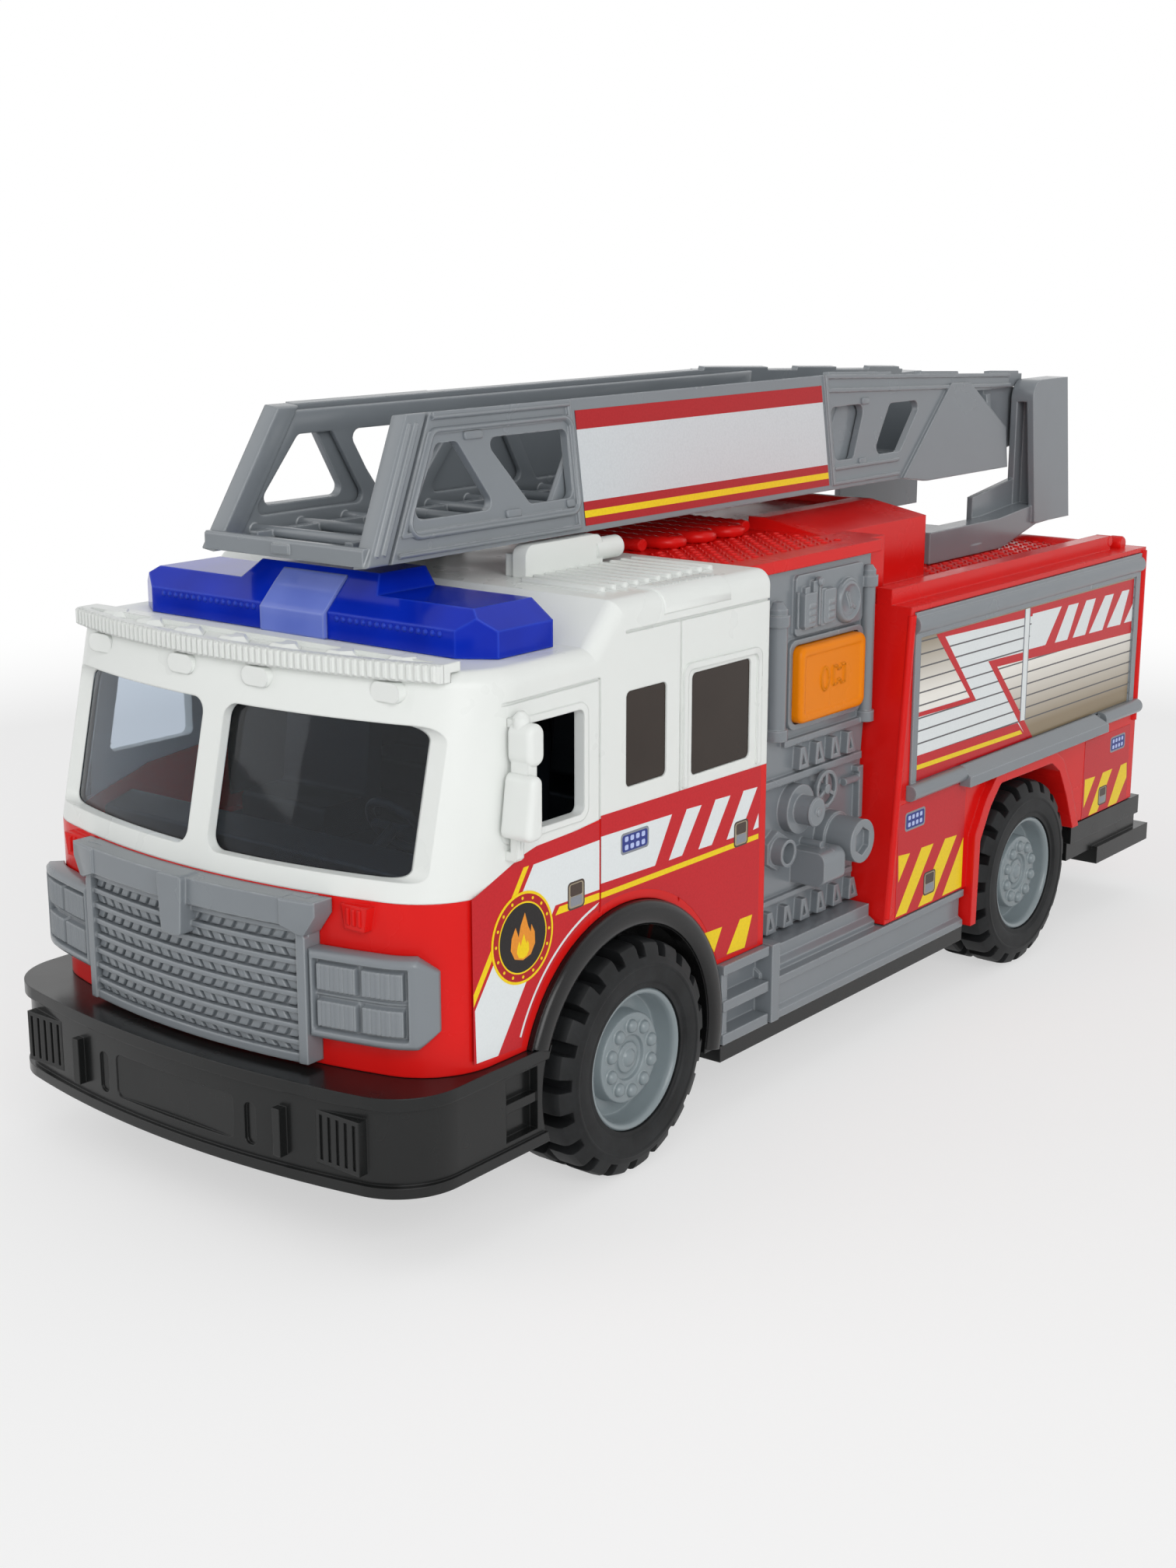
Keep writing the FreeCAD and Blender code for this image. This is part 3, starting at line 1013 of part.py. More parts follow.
def rear_body():
    """Red body moulding: pump core, turntable housing, locker box, deck rails and arches."""
    core_rear = BOX_FRONT + 6
    core = box(-PANEL_X + 0.1, PANEL_X - 0.1, CAB_REAR + 0.1, core_rear, BOX_BOTTOM_Z, PUMP_TOP_Z)
    cornice = box(-PANEL_X - 2.8, PANEL_X + 2.8, CAB_REAR + 0.1, BOX_FRONT, PANEL_TOP_Z, PUMP_TOP_Z)
    roof = [(-HOUSING_HALF, DECK_Z - 5), (HOUSING_HALF, DECK_Z - 5), (HOUSING_HALF, PUMP_TOP_Z),
            (18.3, PUMP_TOP_Z + 2.9), (-18.3, PUMP_TOP_Z + 2.9), (-HOUSING_HALF, PUMP_TOP_Z)]
    housing = prism_y(roof, BOX_FRONT - 4.0, HOUSING_REAR)
    recess = box(-14.0, 14.0, BOX_FRONT - 5, HOUSING_REAR - 2.0, PUMP_TOP_Z + 1.2, PUMP_TOP_Z + 9)
    housing = housing.cut(recess)
    side = [
        (BOX_FRONT - LOCKER_LEAN, BOX_BOTTOM_Z), (BOX_FRONT, FRAME_TOP_Z + 1.2),
        (BOX_REAR, FRAME_TOP_Z + 1.2), (BOX_REAR, TAIL_BOTTOM_Z), (REAR_AXLE_Y + 20, TAIL_BOTTOM_Z), (REAR_AXLE_Y + 20, BOX_BOTTOM_Z),
    ]
    locker = prism_x(side, -BODY_HALF_WIDTH, BODY_HALF_WIDTH)
    rails = pair(box(DECK_HALF, RAIL_OUTER_X, BOX_FRONT, BOX_REAR - 11.0, DECK_Z - 2, RAIL_TOP_Z))
    hump = rod_x(HUMP_RADIUS, -DECK_HALF, DECK_HALF, BOX_REAR - HUMP_RADIUS, DECK_Z - 4.8)
    flare = prism_x(rear_arch_outline(FLARE_WIDTH), PANEL_X + 0.1, BODY_HALF_WIDTH + FLARE_PROUD, 2.0)
    flare_zone = box(0, 99, -999, REAR_AXLE_Y + 20, SKIRT_BOTTOM_Z, HOOD_BOTTOM_Z - 0.2)
    tail_zone = box(0, 99, REAR_AXLE_Y + 20, 999, TAIL_BOTTOM_Z, HOOD_BOTTOM_Z - 0.2)
    flare = flare.common(flare_zone.fuse(tail_zone))
    body = join([core, cornice, locker, housing, hump] + rails + pair(flare))
    cuts = []
    for side_sign in (-1, 1):
        x0, x1 = sorted((side_sign * WELL_INNER_X, side_sign * 99))
        cuts.append(prism_x(rear_arch_outline(0), x0, x1, 2.0))
        x0, x1 = sorted((side_sign * (BODY_HALF_WIDTH - FRAME_RECESS), side_sign * 99))
        cuts.append(box(x0, x1, FRAME_FRONT, FRAME_REAR, FRAME_BOTTOM_Z + 1.2, FRAME_TOP_Z))
    cuts.append(rod_z(SPIGOT_RADIUS + AXLE_CLEARANCE, DECK_Z - 9, DECK_Z + 1, 0, TURNTABLE_Y))
    cuts += rear_door_cuts()
    return body.cut(Part.makeCompound(cuts))


def rear_arch_outline(grow):
    """Corners of the many-sided rear wheel opening, grown all round."""
    k = ARCH_RADIUS
    corners = [(-0.950, -0.80), (-0.912, 0.523), (-0.740, 0.810), (-0.557, 0.992), (0.473, 0.981),
               (0.649, 0.870), (0.813, 0.607), (1.053, 0.103), (1.053, -0.80)]
    outline = []
    for y, z in corners:
        reach = math.hypot(y, z)
        scale = (k * reach + grow) / reach
        outline.append((REAR_AXLE_Y + y * scale, AXLE_Z + z * scale))
    return outline


def rear_door_cuts():
    """Recess with horizontal slats in the tail, where the rear roller door is moulded."""
    cutters = []
    low = TAIL_BOTTOM_Z + 8.0
    high = FRAME_TOP_Z - 6.0
    cutters.append(box(-REAR_DOOR_HALF, REAR_DOOR_HALF, BOX_REAR - 1.4, BOX_REAR + 1, low, high))
    for i in range(REAR_DOOR_SLATS):
        z = low + 3.0 + (high - low - 4.0) * i / REAR_DOOR_SLATS
        cutters.append(box(-REAR_DOOR_HALF, REAR_DOOR_HALF, BOX_REAR - 2.0, BOX_REAR, z, z + 0.6))
    return cutters


def shutter_frame(side):
    """Grey roller-shutter surround with its slatted curtain and a round lower bar."""
    x0 = BODY_HALF_WIDTH - FRAME_RECESS
    outer = rectangle(FRAME_FRONT + 0.1, FRAME_REAR - 0.1, FRAME_BOTTOM_Z + 1.3, FRAME_TOP_Z - 0.1)
    inner = rectangle(FRAME_FRONT + 2.4, FRAME_REAR - 2.4, FRAME_BOTTOM_Z + 2.4, FRAME_TOP_Z - 6.0)
    frame = prism_x(outer, x0, BODY_HALF_WIDTH + FRAME_PROUD)
    frame = frame.cut(prism_x(inner, x0 + 0.6, BODY_HALF_WIDTH + 2))
    slats = []
    low = FRAME_BOTTOM_Z + 2.4
    high = FRAME_TOP_Z - 6.0
    pitch = (high - low) / SHUTTER_SLATS
    for i in range(SHUTTER_SLATS):
        z = low + pitch * i
        slat = rectangle(FRAME_FRONT + 2.4, FRAME_REAR - 2.4, z + 0.25, z + pitch - 0.25)
        slats.append(prism_x(slat, x0 + 0.6, BODY_HALF_WIDTH - 0.2))
    roll = rod_y(2.2, FRAME_FRONT + 0.1, FRAME_REAR - 0.1, BODY_HALF_WIDTH - 0.5, FRAME_TOP_Z - 3.0)
    roll = roll.common(box(x0, 99, FRAME_FRONT, FRAME_REAR, 0, FRAME_TOP_Z - 0.1))
    bars = []
    bar_spans = ((BOX_FRONT + 0.4, HOOD_FRONT - 0.2), (HOOD_REAR + 0.2, FRAME_REAR + 1.0))
    for bar_front, bar_rear in bar_spans:
        bar = rod_y(1.9, bar_front, bar_rear, BODY_HALF_WIDTH + 0.9, FRAME_BOTTOM_Z + 1.4)
        bars.append(bar.common(box(BODY_HALF_WIDTH, 99, -999, 999, 0, 200)))
    shape = join([frame] + slats + [roll] + bars)
    if side < 0:
        shape = flipped(shape)
    return shape


def rear_fender(side):
    """Grey hood over the rear wheel: sloped roof, flat lip and a lug seated on the body."""
    x0 = BODY_HALF_WIDTH + FRAME_PROUD + SEAT_GAP
    x1 = TYRE_OUTER_X + 1.0
    low = HOOD_BOTTOM_Z
    top = low + HOOD_HEIGHT
    section = [(x0, low), (x1, low), (x1, low + HOOD_LIP), (x0, top)]
    shell = prism_y(section, HOOD_FRONT, HOOD_REAR)
    rear_round = [(HOOD_REAR - 3.4, top + 0.2), (HOOD_REAR + 1, top + 0.2), (HOOD_REAR + 1, low + 0.8)]
    shell = shell.cut(prism_x(rear_round, x0 - 1, x1 + 1))
    lug = box(BODY_HALF_WIDTH, x0, HOOD_FRONT + 1.0, HOOD_REAR - 1.0, low, FRAME_BOTTOM_Z + 1.1)
    hood = join([shell, lug])
    if side < 0:
        hood = flipped(hood)
    return hood


def running_board(side):
    """Grey side step: cab foot steps, divider post, inner ledge and long skirt."""
    front = FRONT_AXLE_Y + LIP_RADIUS + 0.2
    post = CAB_REAR + 2.3
    rear = REAR_AXLE_Y - ARCH_RADIUS - 2.0
    x_in = PANEL_X
    x_out = BODY_HALF_WIDTH + 0.3
    low = SKIRT_BOTTOM_Z
    foot_top = CAB_BOTTOM_Z - 0.1
    shapes = [
        box(x_in, x_out - 4.0, front, post, low, foot_top),
        box(x_in, x_out, front, CAB_REAR - 0.1, low, low + 2.2),
        box(x_in, x_out, front, CAB_REAR - 0.1, low + 7.2, low + 9.4),
        box(x_in, x_out, front, CAB_REAR - 0.1, foot_top - 2.0, foot_top),
        box(x_in, x_out - 0.6, front, front + 2.0, low, foot_top),
        box(x_in, x_out + 0.4, post - 1.6, post + 1.2, low, foot_top),
    ]
    skirt = [
        (x_in, low), (x_out, low), (x_out, low + 1.6), (x_out - 1.2, low + 2.4),
        (x_out - 1.2, SKIRT_TOP_Z - 2.2), (x_out, SKIRT_TOP_Z - 1.6), (x_out, SKIRT_TOP_Z),
        (x_in, SKIRT_TOP_Z),
    ]
    shapes.append(prism_y(skirt, post, rear))
    ledge = [
        (PANEL_X, SKIRT_TOP_Z), (x_out - 2.4, SKIRT_TOP_Z), (x_out - 2.4, SKIRT_TOP_Z + 1.2),
        (x_out - 4.0, SKIRT_TOP_Z + 2.2), (x_out - 4.0, PANEL_BOTTOM_Z - 0.4),
        (PANEL_X, PANEL_BOTTOM_Z - 0.4),
    ]
    shapes.append(prism_y(ledge, CAB_REAR + SEAT_GAP, BOX_FRONT - LOCKER_LEAN - 0.7))
    panel_seat = box(x_in - 1, x_in + PANEL_THICKNESS + SEAT_GAP, PANEL_FRONT - SEAT_GAP,
                     BOX_FRONT, PANEL_BOTTOM_Z - SEAT_GAP, PANEL_TOP_Z)
    board = join(shapes).cut(panel_seat)
    if side < 0:
        board = flipped(board)
    return board


def rear_step():
    """Black two-level tail step."""
    y_body = BOX_REAR + 0.1
    top = TAIL_BOTTOM_Z - 0.2
    half = BODY_HALF_WIDTH + 0.4
    arch_rear = REAR_AXLE_Y + ARCH_RADIUS + 2.4
    spine_x = WELL_INNER_X - 0.8
    shapes = [
        box(-half, half, arch_rear, REAR_END - 7.0, top - 5.0, top),
        box(-half + 1.5, half - 1.5, arch_rear + 1.0, REAR_END - 6.0, top - 10.0, top - 5.0),
        box(-half, half, BOX_REAR - 20.0, REAR_END, top - 14.0, top - 9.4),
    ]
    step = join(shapes)
    tunnel = box(-spine_x, spine_x, arch_rear - 1, BOX_REAR - 1.8, 0, top + 1)
    return step.cut(tunnel)


def tail_lamp(side):
    """Moulded rear lamp block."""
    x0 = 37.0
    low = TAIL_BOTTOM_Z + 12.0
    shapes = [prism_y(rectangle(x0, x0 + 12.0, low, low + 24.0), BOX_REAR, BOX_REAR + 1.4, 1.5)]
    for row in range(3):
        z = low + 4.4 + 7.6 * row
        shapes.append(rod_y(3.0, BOX_REAR + 1.4, BOX_REAR + 2.2, x0 + 6.0, z))
    lamp = join(shapes)
    if side < 0:
        lamp = flipped(lamp)
    return lamp


# ---- turntable and ladder -------------------------------------------------------------
def turntable():
    """Turning base: disc, spigot, two rising arms, gussets and the hinge uprights."""
    z0 = DECK_Z + TURNTABLE_GAP
    cy = TURNTABLE_Y
    disc = rod_z(TURNTABLE_RADIUS, z0, z0 + 2.4, 0, cy)
    spigot = rod_z(SPIGOT_RADIUS, DECK_Z - 8.4, z0, 0, cy)
    rise = RAIL_TOP_Z + 1.0
    arm_profile = [
        (cy - 24.0, z0), (cy + 14.0, z0), (cy + 33.0, rise), (cy + 50.0, rise + 0.6),
        (cy + 50.0, rise + 6.0), (cy + 30.0, z0 + 9.4), (cy + 12.0, z0 + 7.8), (cy - 24.0, z0 + 7.8),
    ]
    arm = prism_x(arm_profile, CHEEK_INNER_X + 1.6, CHEEK_OUTER_X - 1.2)
    upright_low = [(CHEEK_INNER_X, rise + 0.6), (CHEEK_OUTER_X, rise + 0.6),
                   (CHEEK_OUTER_X - 2.4, PIVOT_Z + 10.6), (CHEEK_INNER_X, PIVOT_Z + 10.6)]
    upright = prism_y(upright_low, cy + 30.0, cy + 50.0)
    corner = [edge for edge in upright.Edges
              if abs(edge.CenterOfMass.y - cy - 30.0) < 0.01 and edge.CenterOfMass.z > PIVOT_Z + 10]
    upright = upright.makeFillet(5.0, corner)
    hollow = prism_y([(CHEEK_INNER_X + 1.8, rise + 3), (CHEEK_OUTER_X - 2.0, rise + 3),
                      (CHEEK_OUTER_X - 4.0, PIVOT_Z + 5.0), (CHEEK_INNER_X + 1.8, PIVOT_Z + 5.0)],
                     cy + 29.0, cy + 34.0)
    upright = upright.cut(hollow)
    gusset = prism_x([(cy + 8.0, z0 + 5.0), (cy + 31.0, z0 + 5.0), (cy + 31.0, z0 + 16.4),
                      (cy + 8.0, z0 + 13.2)], CHEEK_INNER_X, CHEEK_INNER_X + 1.6)
    web = box(CHEEK_INNER_X, CHEEK_INNER_X + 1.6, cy + 8.0, cy + 20.0, z0, z0 + 6.0)
    shapes = [disc, spigot]
    bar_half = CHEEK_OUTER_X - 1.2
    for bar_front, bar_rear in ((cy - 22.0, cy - 14.0), (cy + 2.0, cy + 12.0)):
        shapes.append(box(-bar_half, bar_half, bar_front, bar_rear, z0, z0 + 2.4))
    for piece in (arm, upright, gusset, web):
        shapes += pair(piece)
    base = join(shapes)
    pin_bore = rod_x(PIN_RADIUS, -CHEEK_OUTER_X + 2.4, CHEEK_OUTER_X - 2.4, PIVOT_Y, PIVOT_Z)
    return base.cut(pin_bore)


def hinge_pin():
    """Steel pin held in the uprights; the ladder's tail turns on it."""
    return rod_x(PIN_RADIUS, -CHEEK_OUTER_X + 2.4, CHEEK_OUTER_X - 2.4, PIVOT_Y, PIVOT_Z)


# openings cut through the outer ladder's side: four (y, height) corners, y from the named end
FRONT_WINDOWS = [
    [(6.6, 7.2), (30.6, 7.2), (21.2, 20.8), (15.4, 20.8)],
    [(28.6, 20.8), (54.0, 20.8), (54.0, 7.2), (40.6, 7.2)],
]
REAR_WINDOWS_LADDER = [
    [(-82.4, 6.6), (-74.2, 6.6), (-67.0, 19.0), (-82.4, 19.0)],
    [(-65.2, 6.6), (-52.4, 6.6), (-39.8, 18.4), (-55.6, 18.4)],
]


def leaned(panel, half):
    """A panel drawn upright at x = half, leaned in about its bottom edge."""
    tilted = panel.copy()
    tilted.rotate(V(half, 0, LADDER_BASE_Z), V(0, 1, 0), -LADDER_LEAN)
    return tilted


def ladder_outer():
    """Outer ladder: two leaning lattice sides, closed floor with rungs and a narrow hinged tail."""
    z0 = LADDER_BASE_Z
    front = LADDER_FRONT + END_FRAME + END_GAP
    rear = LADDER_REAR
    top = z0 + LADDER_HEIGHT
    end = rear + 14.0
    outline = [
        (front, z0), (rear, z0), (rear + 1.2, z0 + 8.7), (rear - 16.7, z0 + 19.0), (end, z0 + 19.0),
        (end, z0 + TAIL_RAIL_TOP), (NAME_REAR, top), (front + FRONT_SLANT, top),
    ]
    panel = prism_x(outline, LADDER_HALF - PANEL, LADDER_HALF)
    cuts = []
    for window in FRONT_WINDOWS:
        corners = [(front + y, z0 + h) for y, h in window]
        cuts.append(prism_x(corners, LADDER_HALF - PANEL - 1, LADDER_HALF + 1, 1.6))
    for window in REAR_WINDOWS_LADDER:
        corners = [(rear + y, z0 + h) for y, h in window]
        cuts.append(prism_x(corners, LADDER_HALF - PANEL - 1, LADDER_HALF + 1, 1.6))
    panel = panel.cut(Part.makeCompound(cuts))
    side = join([panel] + ladder_ribs(front, end) + ladder_pads() + [ladder_gusset()])
    side = leaned(side, LADDER_HALF)
    side = side.cut(box(CHEEK_INNER_X - 0.4, 99, PIVOT_Y - 12.0, 999, 0, 999))
    shapes = pair(side)
    rung_count = 16
    inner_half = LADDER_HALF - PANEL / 2
    for i in range(rung_count):
        y = front + 3.0 + (rear - front - 10.0) * i / (rung_count - 1)
        shapes.append(box(-inner_half, inner_half, y, y + 2.2, z0, z0 + 1.2))
    for sign in (-1, 1):
        x0, x1 = sorted((sign * (inner_half), sign * (inner_half - 3.0)))
        shapes.append(box(x0, x1, front + 1.4, rear - 1.0, z0, z0 + 1.2))
    shapes.append(box(-inner_half, inner_half, front + 1.4, rear - 1.0, z0, z0 + FLOOR))
    wall_y = rear - 5.0
    wall = prism_y([(-inner_half, z0), (inner_half, z0), (inner_half - 2.2, z0 + 17.6),
                    (-inner_half + 2.2, z0 + 17.6)], wall_y, wall_y + 2.2)
    shapes.append(wall)
    tail_x = CHEEK_INNER_X - 1.4
    tail = [
        (wall_y, z0 + 1.0), (PIVOT_Y - 2.0, PIVOT_Z - 6.5), (PIVOT_Y + 6.5, PIVOT_Z - 2.0),
        (PIVOT_Y + 6.5, PIVOT_Z + 5.0), (PIVOT_Y - 3.0, PIVOT_Z + 8.0), (wall_y, z0 + 21.0),
    ]
    shapes += pair(prism_x(tail, tail_x - 3.0, tail_x, 1.5))
    shapes.append(rod_x(5.2, -tail_x, tail_x, PIVOT_Y, PIVOT_Z))
    ladder = join(shapes)
    bore = rod_x(PIN_RADIUS + AXLE_CLEARANCE, -40, 40, PIVOT_Y, PIVOT_Z)
    return ladder.cut(bore)


def rail_line(y, drop):
    """Height on the side panel, dropped from a top edge that falls towards the tail."""
    slope = (LADDER_HEIGHT - TAIL_RAIL_TOP) / (LADDER_REAR + 14.0 - NAME_REAR)
    return LADDER_BASE_Z + LADDER_HEIGHT - drop - slope * max(0.0, y - NAME_REAR)


def ladder_ribs(front, end):
    """Raised ribs round the side panel, left out along its smooth middle."""
    z0 = LADDER_BASE_Z
    rear = LADDER_REAR
    outer = LADDER_HALF + RIB
    spans = ((front + 2.0, NAME_FRONT), (NAME_REAR, rear - 54.0))
    ribs = []
    for y0, y1 in spans:
        ribs.append(box(LADDER_HALF, outer, y0, y1, z0 + 1.0, z0 + 1.8))
        ribs.append(box(LADDER_HALF, outer, y0 + 1.2, y1, z0 + 4.4, z0 + 5.2))
    for drop in (0.0, 3.2):
        ribs.append(box(LADDER_HALF, outer, front + FRONT_SLANT + 0.2, NAME_FRONT,
                        z0 + LADDER_HEIGHT - drop - 0.9, z0 + LADDER_HEIGHT - drop))
        line = [(NAME_REAR, rail_line(NAME_REAR, drop + 0.9)), (end - 1.0, rail_line(end - 1.0, drop * 0.8 + 0.9)),
                (end - 1.0, rail_line(end - 1.0, drop * 0.8)), (NAME_REAR, rail_line(NAME_REAR, drop))]
        ribs.append(prism_x(line, LADDER_HALF, outer))
    for y in (NAME_FRONT - 0.9, NAME_REAR):
        ribs.append(box(LADDER_HALF, outer, y, y + 0.9, z0 + 1.0, z0 + LADDER_HEIGHT - 0.2))
    slant = FRONT_SLANT / LADDER_HEIGHT
    ribs.append(prism_x([(front + slant * 4.8 + 0.4, z0 + 4.8), (front + slant * 4.8 + 1.5, z0 + 4.8),
                         (front + slant * 23.0 + 1.5, z0 + 23.0), (front + slant * 23.0 + 0.4, z0 + 23.0)],
                        LADDER_HALF, outer))
    return ribs


def ladder_pads():
    """Low pads on the falling top rail near the tail."""
    pads = []
    for y0, y1 in ((NAME_REAR + 2.0, NAME_REAR + 31.0), (NAME_REAR + 44.0, NAME_REAR + 64.0),
                   (NAME_REAR + 80.0, NAME_REAR + 97.0)):
        outline = [(y0, rail_line(y0, 1.0)), (y1, rail_line(y1, 1.0)), (y1 - 0.6, rail_line(y1, -0.7)),
                   (y0 + 0.6, rail_line(y0, -0.7))]
        pads.append(prism_x(outline, LADDER_HALF - PANEL, LADDER_HALF))
    return pads


def ladder_gusset():
    """Raised plate that stiffens the tail of one side and reaches a little below it."""
    z0 = LADDER_BASE_Z
    rear = LADDER_REAR
    outline = [(rear - 53.2, z0), (rear - 41.3, z0 - 1.6), (rear + 0.4, z0 - 1.6), (rear + 1.2, z0 + 8.7),
               (rear - 16.7, z0 + 21.4), (rear - 26.0, z0 + 21.6)]
    return prism_x(outline, LADDER_HALF - 0.6, LADDER_HALF + 0.9)


def ladder_inner():
    """Sliding ladder section nested in the outer one, with a full-width end frame."""
    z0 = LADDER_BASE_Z + 1.2 + SLIDE_GAP
    height = LADDER_HEIGHT - 1.2 - SLIDE_GAP - 1.2
    half = LADDER_HALF - PANEL - SLIDE_GAP
    front = LADDER_FRONT + END_FRAME - 0.6
    rear = front + INNER_LENGTH
    lift = z0 - LADDER_BASE_Z
    lean = math.tan(math.radians(LADDER_LEAN))
    half -= lift * lean
    outline = [(front, z0), (rear, z0), (rear, z0 + height), (front + FRONT_SLANT - 1, z0 + height)]
    panel = prism_x(outline, half - INNER_PANEL, half)
    cuts = []
    pitch = (rear - front - 39.0) / (BAYS - 1)
    for i in range(BAYS):
        y = front + 20.0 + pitch * i
        lower = pitch - 7.0
        upper = 3.0
        if i % 2 == 1:
            lower, upper = upper, lower
        corners = [(y - lower, z0 + 5.4), (y + lower, z0 + 5.4), (y + upper, z0 + height - 5.0),
                   (y - upper, z0 + height - 5.0)]
        cuts.append(prism_x(corners, half - INNER_PANEL - 1, half + 1, 1.2))
    panel = panel.cut(Part.makeCompound(cuts))
    tilted = panel.copy()
    tilted.rotate(V(half, 0, z0), V(0, 1, 0), -LADDER_LEAN)
    shapes = pair(tilted)
    inner_half = half - INNER_PANEL / 2
    rung_count = 14
    for i in range(rung_count):
        y = front + 4.0 + (rear - front - 8.0) * i / (rung_count - 1)
        shapes.append(box(-inner_half, inner_half, y, y + 2.2, z0, z0 + 1.4))
    base = LADDER_BASE_Z
    end_outline = [(LADDER_FRONT, base), (LADDER_FRONT + END_FRAME, base),
                   (LADDER_FRONT + END_FRAME + FRONT_SLANT, base + LADDER_HEIGHT),
                   (LADDER_FRONT + FRONT_SLANT, base + LADDER_HEIGHT)]
    depth = LADDER_HALF - half + INNER_PANEL
    frame = prism_x(end_outline, LADDER_HALF - depth, LADDER_HALF)
    slant = FRONT_SLANT / LADDER_HEIGHT
    channel = [(LADDER_FRONT + 1.7 + slant * 1.4, base + 1.4), (LADDER_FRONT + 3.9 + slant * 1.4, base + 1.4),
               (LADDER_FRONT + 3.9 + slant * 25.0, base + 25.0), (LADDER_FRONT + 1.7 + slant * 25.0, base + 25.0)]
    frame = frame.cut(prism_x(channel, LADDER_HALF - 0.6, LADDER_HALF + 1, 0.8))
    shapes += pair(leaned(frame, LADDER_HALF))
    shapes.append(box(-LADDER_HALF + 1.0, LADDER_HALF - 1.0, LADDER_FRONT, LADDER_FRONT + 3.4,
                      base, base + 4.0))
    for x in (-2.6, 2.6):
        shapes.append(rod_y(1.4, LADDER_FRONT - 0.8, LADDER_FRONT + 1.0, x, base + 2.0))
    return join(shapes)


# ---- nodes ----------------------------------------------------------------------------
NODES = {
    "chassis": chassis,
    "battery_cover": battery_cover,
    "front_bumper": front_bumper,
    "front_arch_left": front_arch,
    "front_arch_right": lambda: flipped(front_arch()),
    "cab_lower": cab_lower,
    "cab_upper": cab_upper,
    "windscreen": windscreen,
    "side_glass_left": lambda: side_glass(1),
    "side_glass_right": lambda: side_glass(-1),
    "cab_interior": cab_interior,
    "grille": grille,
    "headlamp_left": headlamp,
    "headlamp_right": lambda: flipped(headlamp()),
    "sun_visor": sun_visor,
    "mirror_left": lambda: mirror(1),
    "mirror_right": lambda: mirror(-1),
    "light_bar": light_bar,
    "light_bar_lens": light_bar_lens,
    "ladder_rest_left": lambda: ladder_rest(1),
    "ladder_rest_right": lambda: ladder_rest(-1),
    "rear_body": rear_body,
    "pump_panel_left": lambda: pump_panel(1),
    "pump_panel_right": lambda: pump_panel(-1),
    "sound_button_left": lambda: sound_button(1),
    "sound_button_right": lambda: sound_button(-1),
    "running_board_left": lambda: running_board(1),
    "running_board_right": lambda: running_board(-1),
    "shutter_left": lambda: shutter_frame(1),
    "shutter_right": lambda: shutter_frame(-1),
    "rear_fender_left": lambda: rear_fender(1),
    "rear_fender_right": lambda: rear_fender(-1),
    "rear_step": rear_step,
    "tail_lamp_left": lambda: tail_lamp(1),
    "tail_lamp_right": lambda: tail_lamp(-1),
    "turntable": turntable,
    "hinge_pin": hinge_pin,
    "ladder_outer": ladder_outer,
    "ladder_inner": ladder_inner,
    "front_axle": lambda: axle(FRONT_AXLE_Y),
    "rear_axle": lambda: axle(REAR_AXLE_Y),
    "front_tyre_left": lambda: tyre(FRONT_AXLE_Y),
    "front_tyre_right": lambda: flipped(tyre(FRONT_AXLE_Y)),
    "rear_tyre_left": lambda: tyre(REAR_AXLE_Y),
    "rear_tyre_right": lambda: flipped(tyre(REAR_AXLE_Y)),
    "front_hub_left": lambda: hub(FRONT_AXLE_Y),
    "front_hub_right": lambda: flipped(hub(FRONT_AXLE_Y)),
    "rear_hub_left": lambda: hub(REAR_AXLE_Y),
    "rear_hub_right": lambda: flipped(hub(REAR_AXLE_Y)),
}


def main():
    """Build every node and write it as a STEP file."""
    os.makedirs("parts", exist_ok=True)
    for name, build in NODES.items():
        shape = build()
        print(f"{name}: solids {len(shape.Solids)} valid {shape.isValid()} volume {shape.Volume:.0f}")
        shape.exportStep(f"parts/{name}.step")


main()
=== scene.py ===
"""Looks of the toy fire engine: finishes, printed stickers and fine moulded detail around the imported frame.

The truck faces -Y, +X is its left side and +Z is up. Sizes in this file are millimetres unless a name
says otherwise, and each piece is turned to metres as it is made.
"""

import logging
import math
from dataclasses import dataclass
from enum import Enum
from typing import Any, Iterable, Sequence

import bmesh
import bpy
from mathutils import Matrix, Vector


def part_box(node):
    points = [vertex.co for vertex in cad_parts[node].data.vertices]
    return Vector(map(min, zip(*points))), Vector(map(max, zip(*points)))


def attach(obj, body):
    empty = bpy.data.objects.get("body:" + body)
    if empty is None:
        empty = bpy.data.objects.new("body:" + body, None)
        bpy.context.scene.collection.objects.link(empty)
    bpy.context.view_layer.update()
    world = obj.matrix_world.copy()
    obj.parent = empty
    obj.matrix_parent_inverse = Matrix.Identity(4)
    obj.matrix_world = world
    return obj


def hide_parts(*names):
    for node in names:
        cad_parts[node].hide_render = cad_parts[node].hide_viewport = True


LOG = logging.getLogger("fire_engine")
MM = 0.001

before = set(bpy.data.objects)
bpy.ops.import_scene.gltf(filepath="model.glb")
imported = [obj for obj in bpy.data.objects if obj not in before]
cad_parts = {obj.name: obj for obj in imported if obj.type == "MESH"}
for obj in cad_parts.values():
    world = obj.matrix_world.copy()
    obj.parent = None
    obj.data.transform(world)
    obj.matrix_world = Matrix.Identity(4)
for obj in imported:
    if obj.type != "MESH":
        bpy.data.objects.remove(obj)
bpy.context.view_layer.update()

Point2 = tuple[float, float]
Point3 = tuple[float, float, float]
Outline = Sequence[Point2]
Tree = bpy.types.NodeTree
Socket = bpy.types.NodeSocket


class Side(Enum):
    """The two long sides of the truck."""

    LEFT = 1
    RIGHT = -1

    @property
    def label(self) -> str:
        """Name ending used by the frame's nodes."""
        return self.name.lower()

    def put(self, points: Iterable[Point3]) -> list[Point3]:
        """Moves points of the left side to this side."""
        return [(self.value * x, y, z) for x, y, z in points]


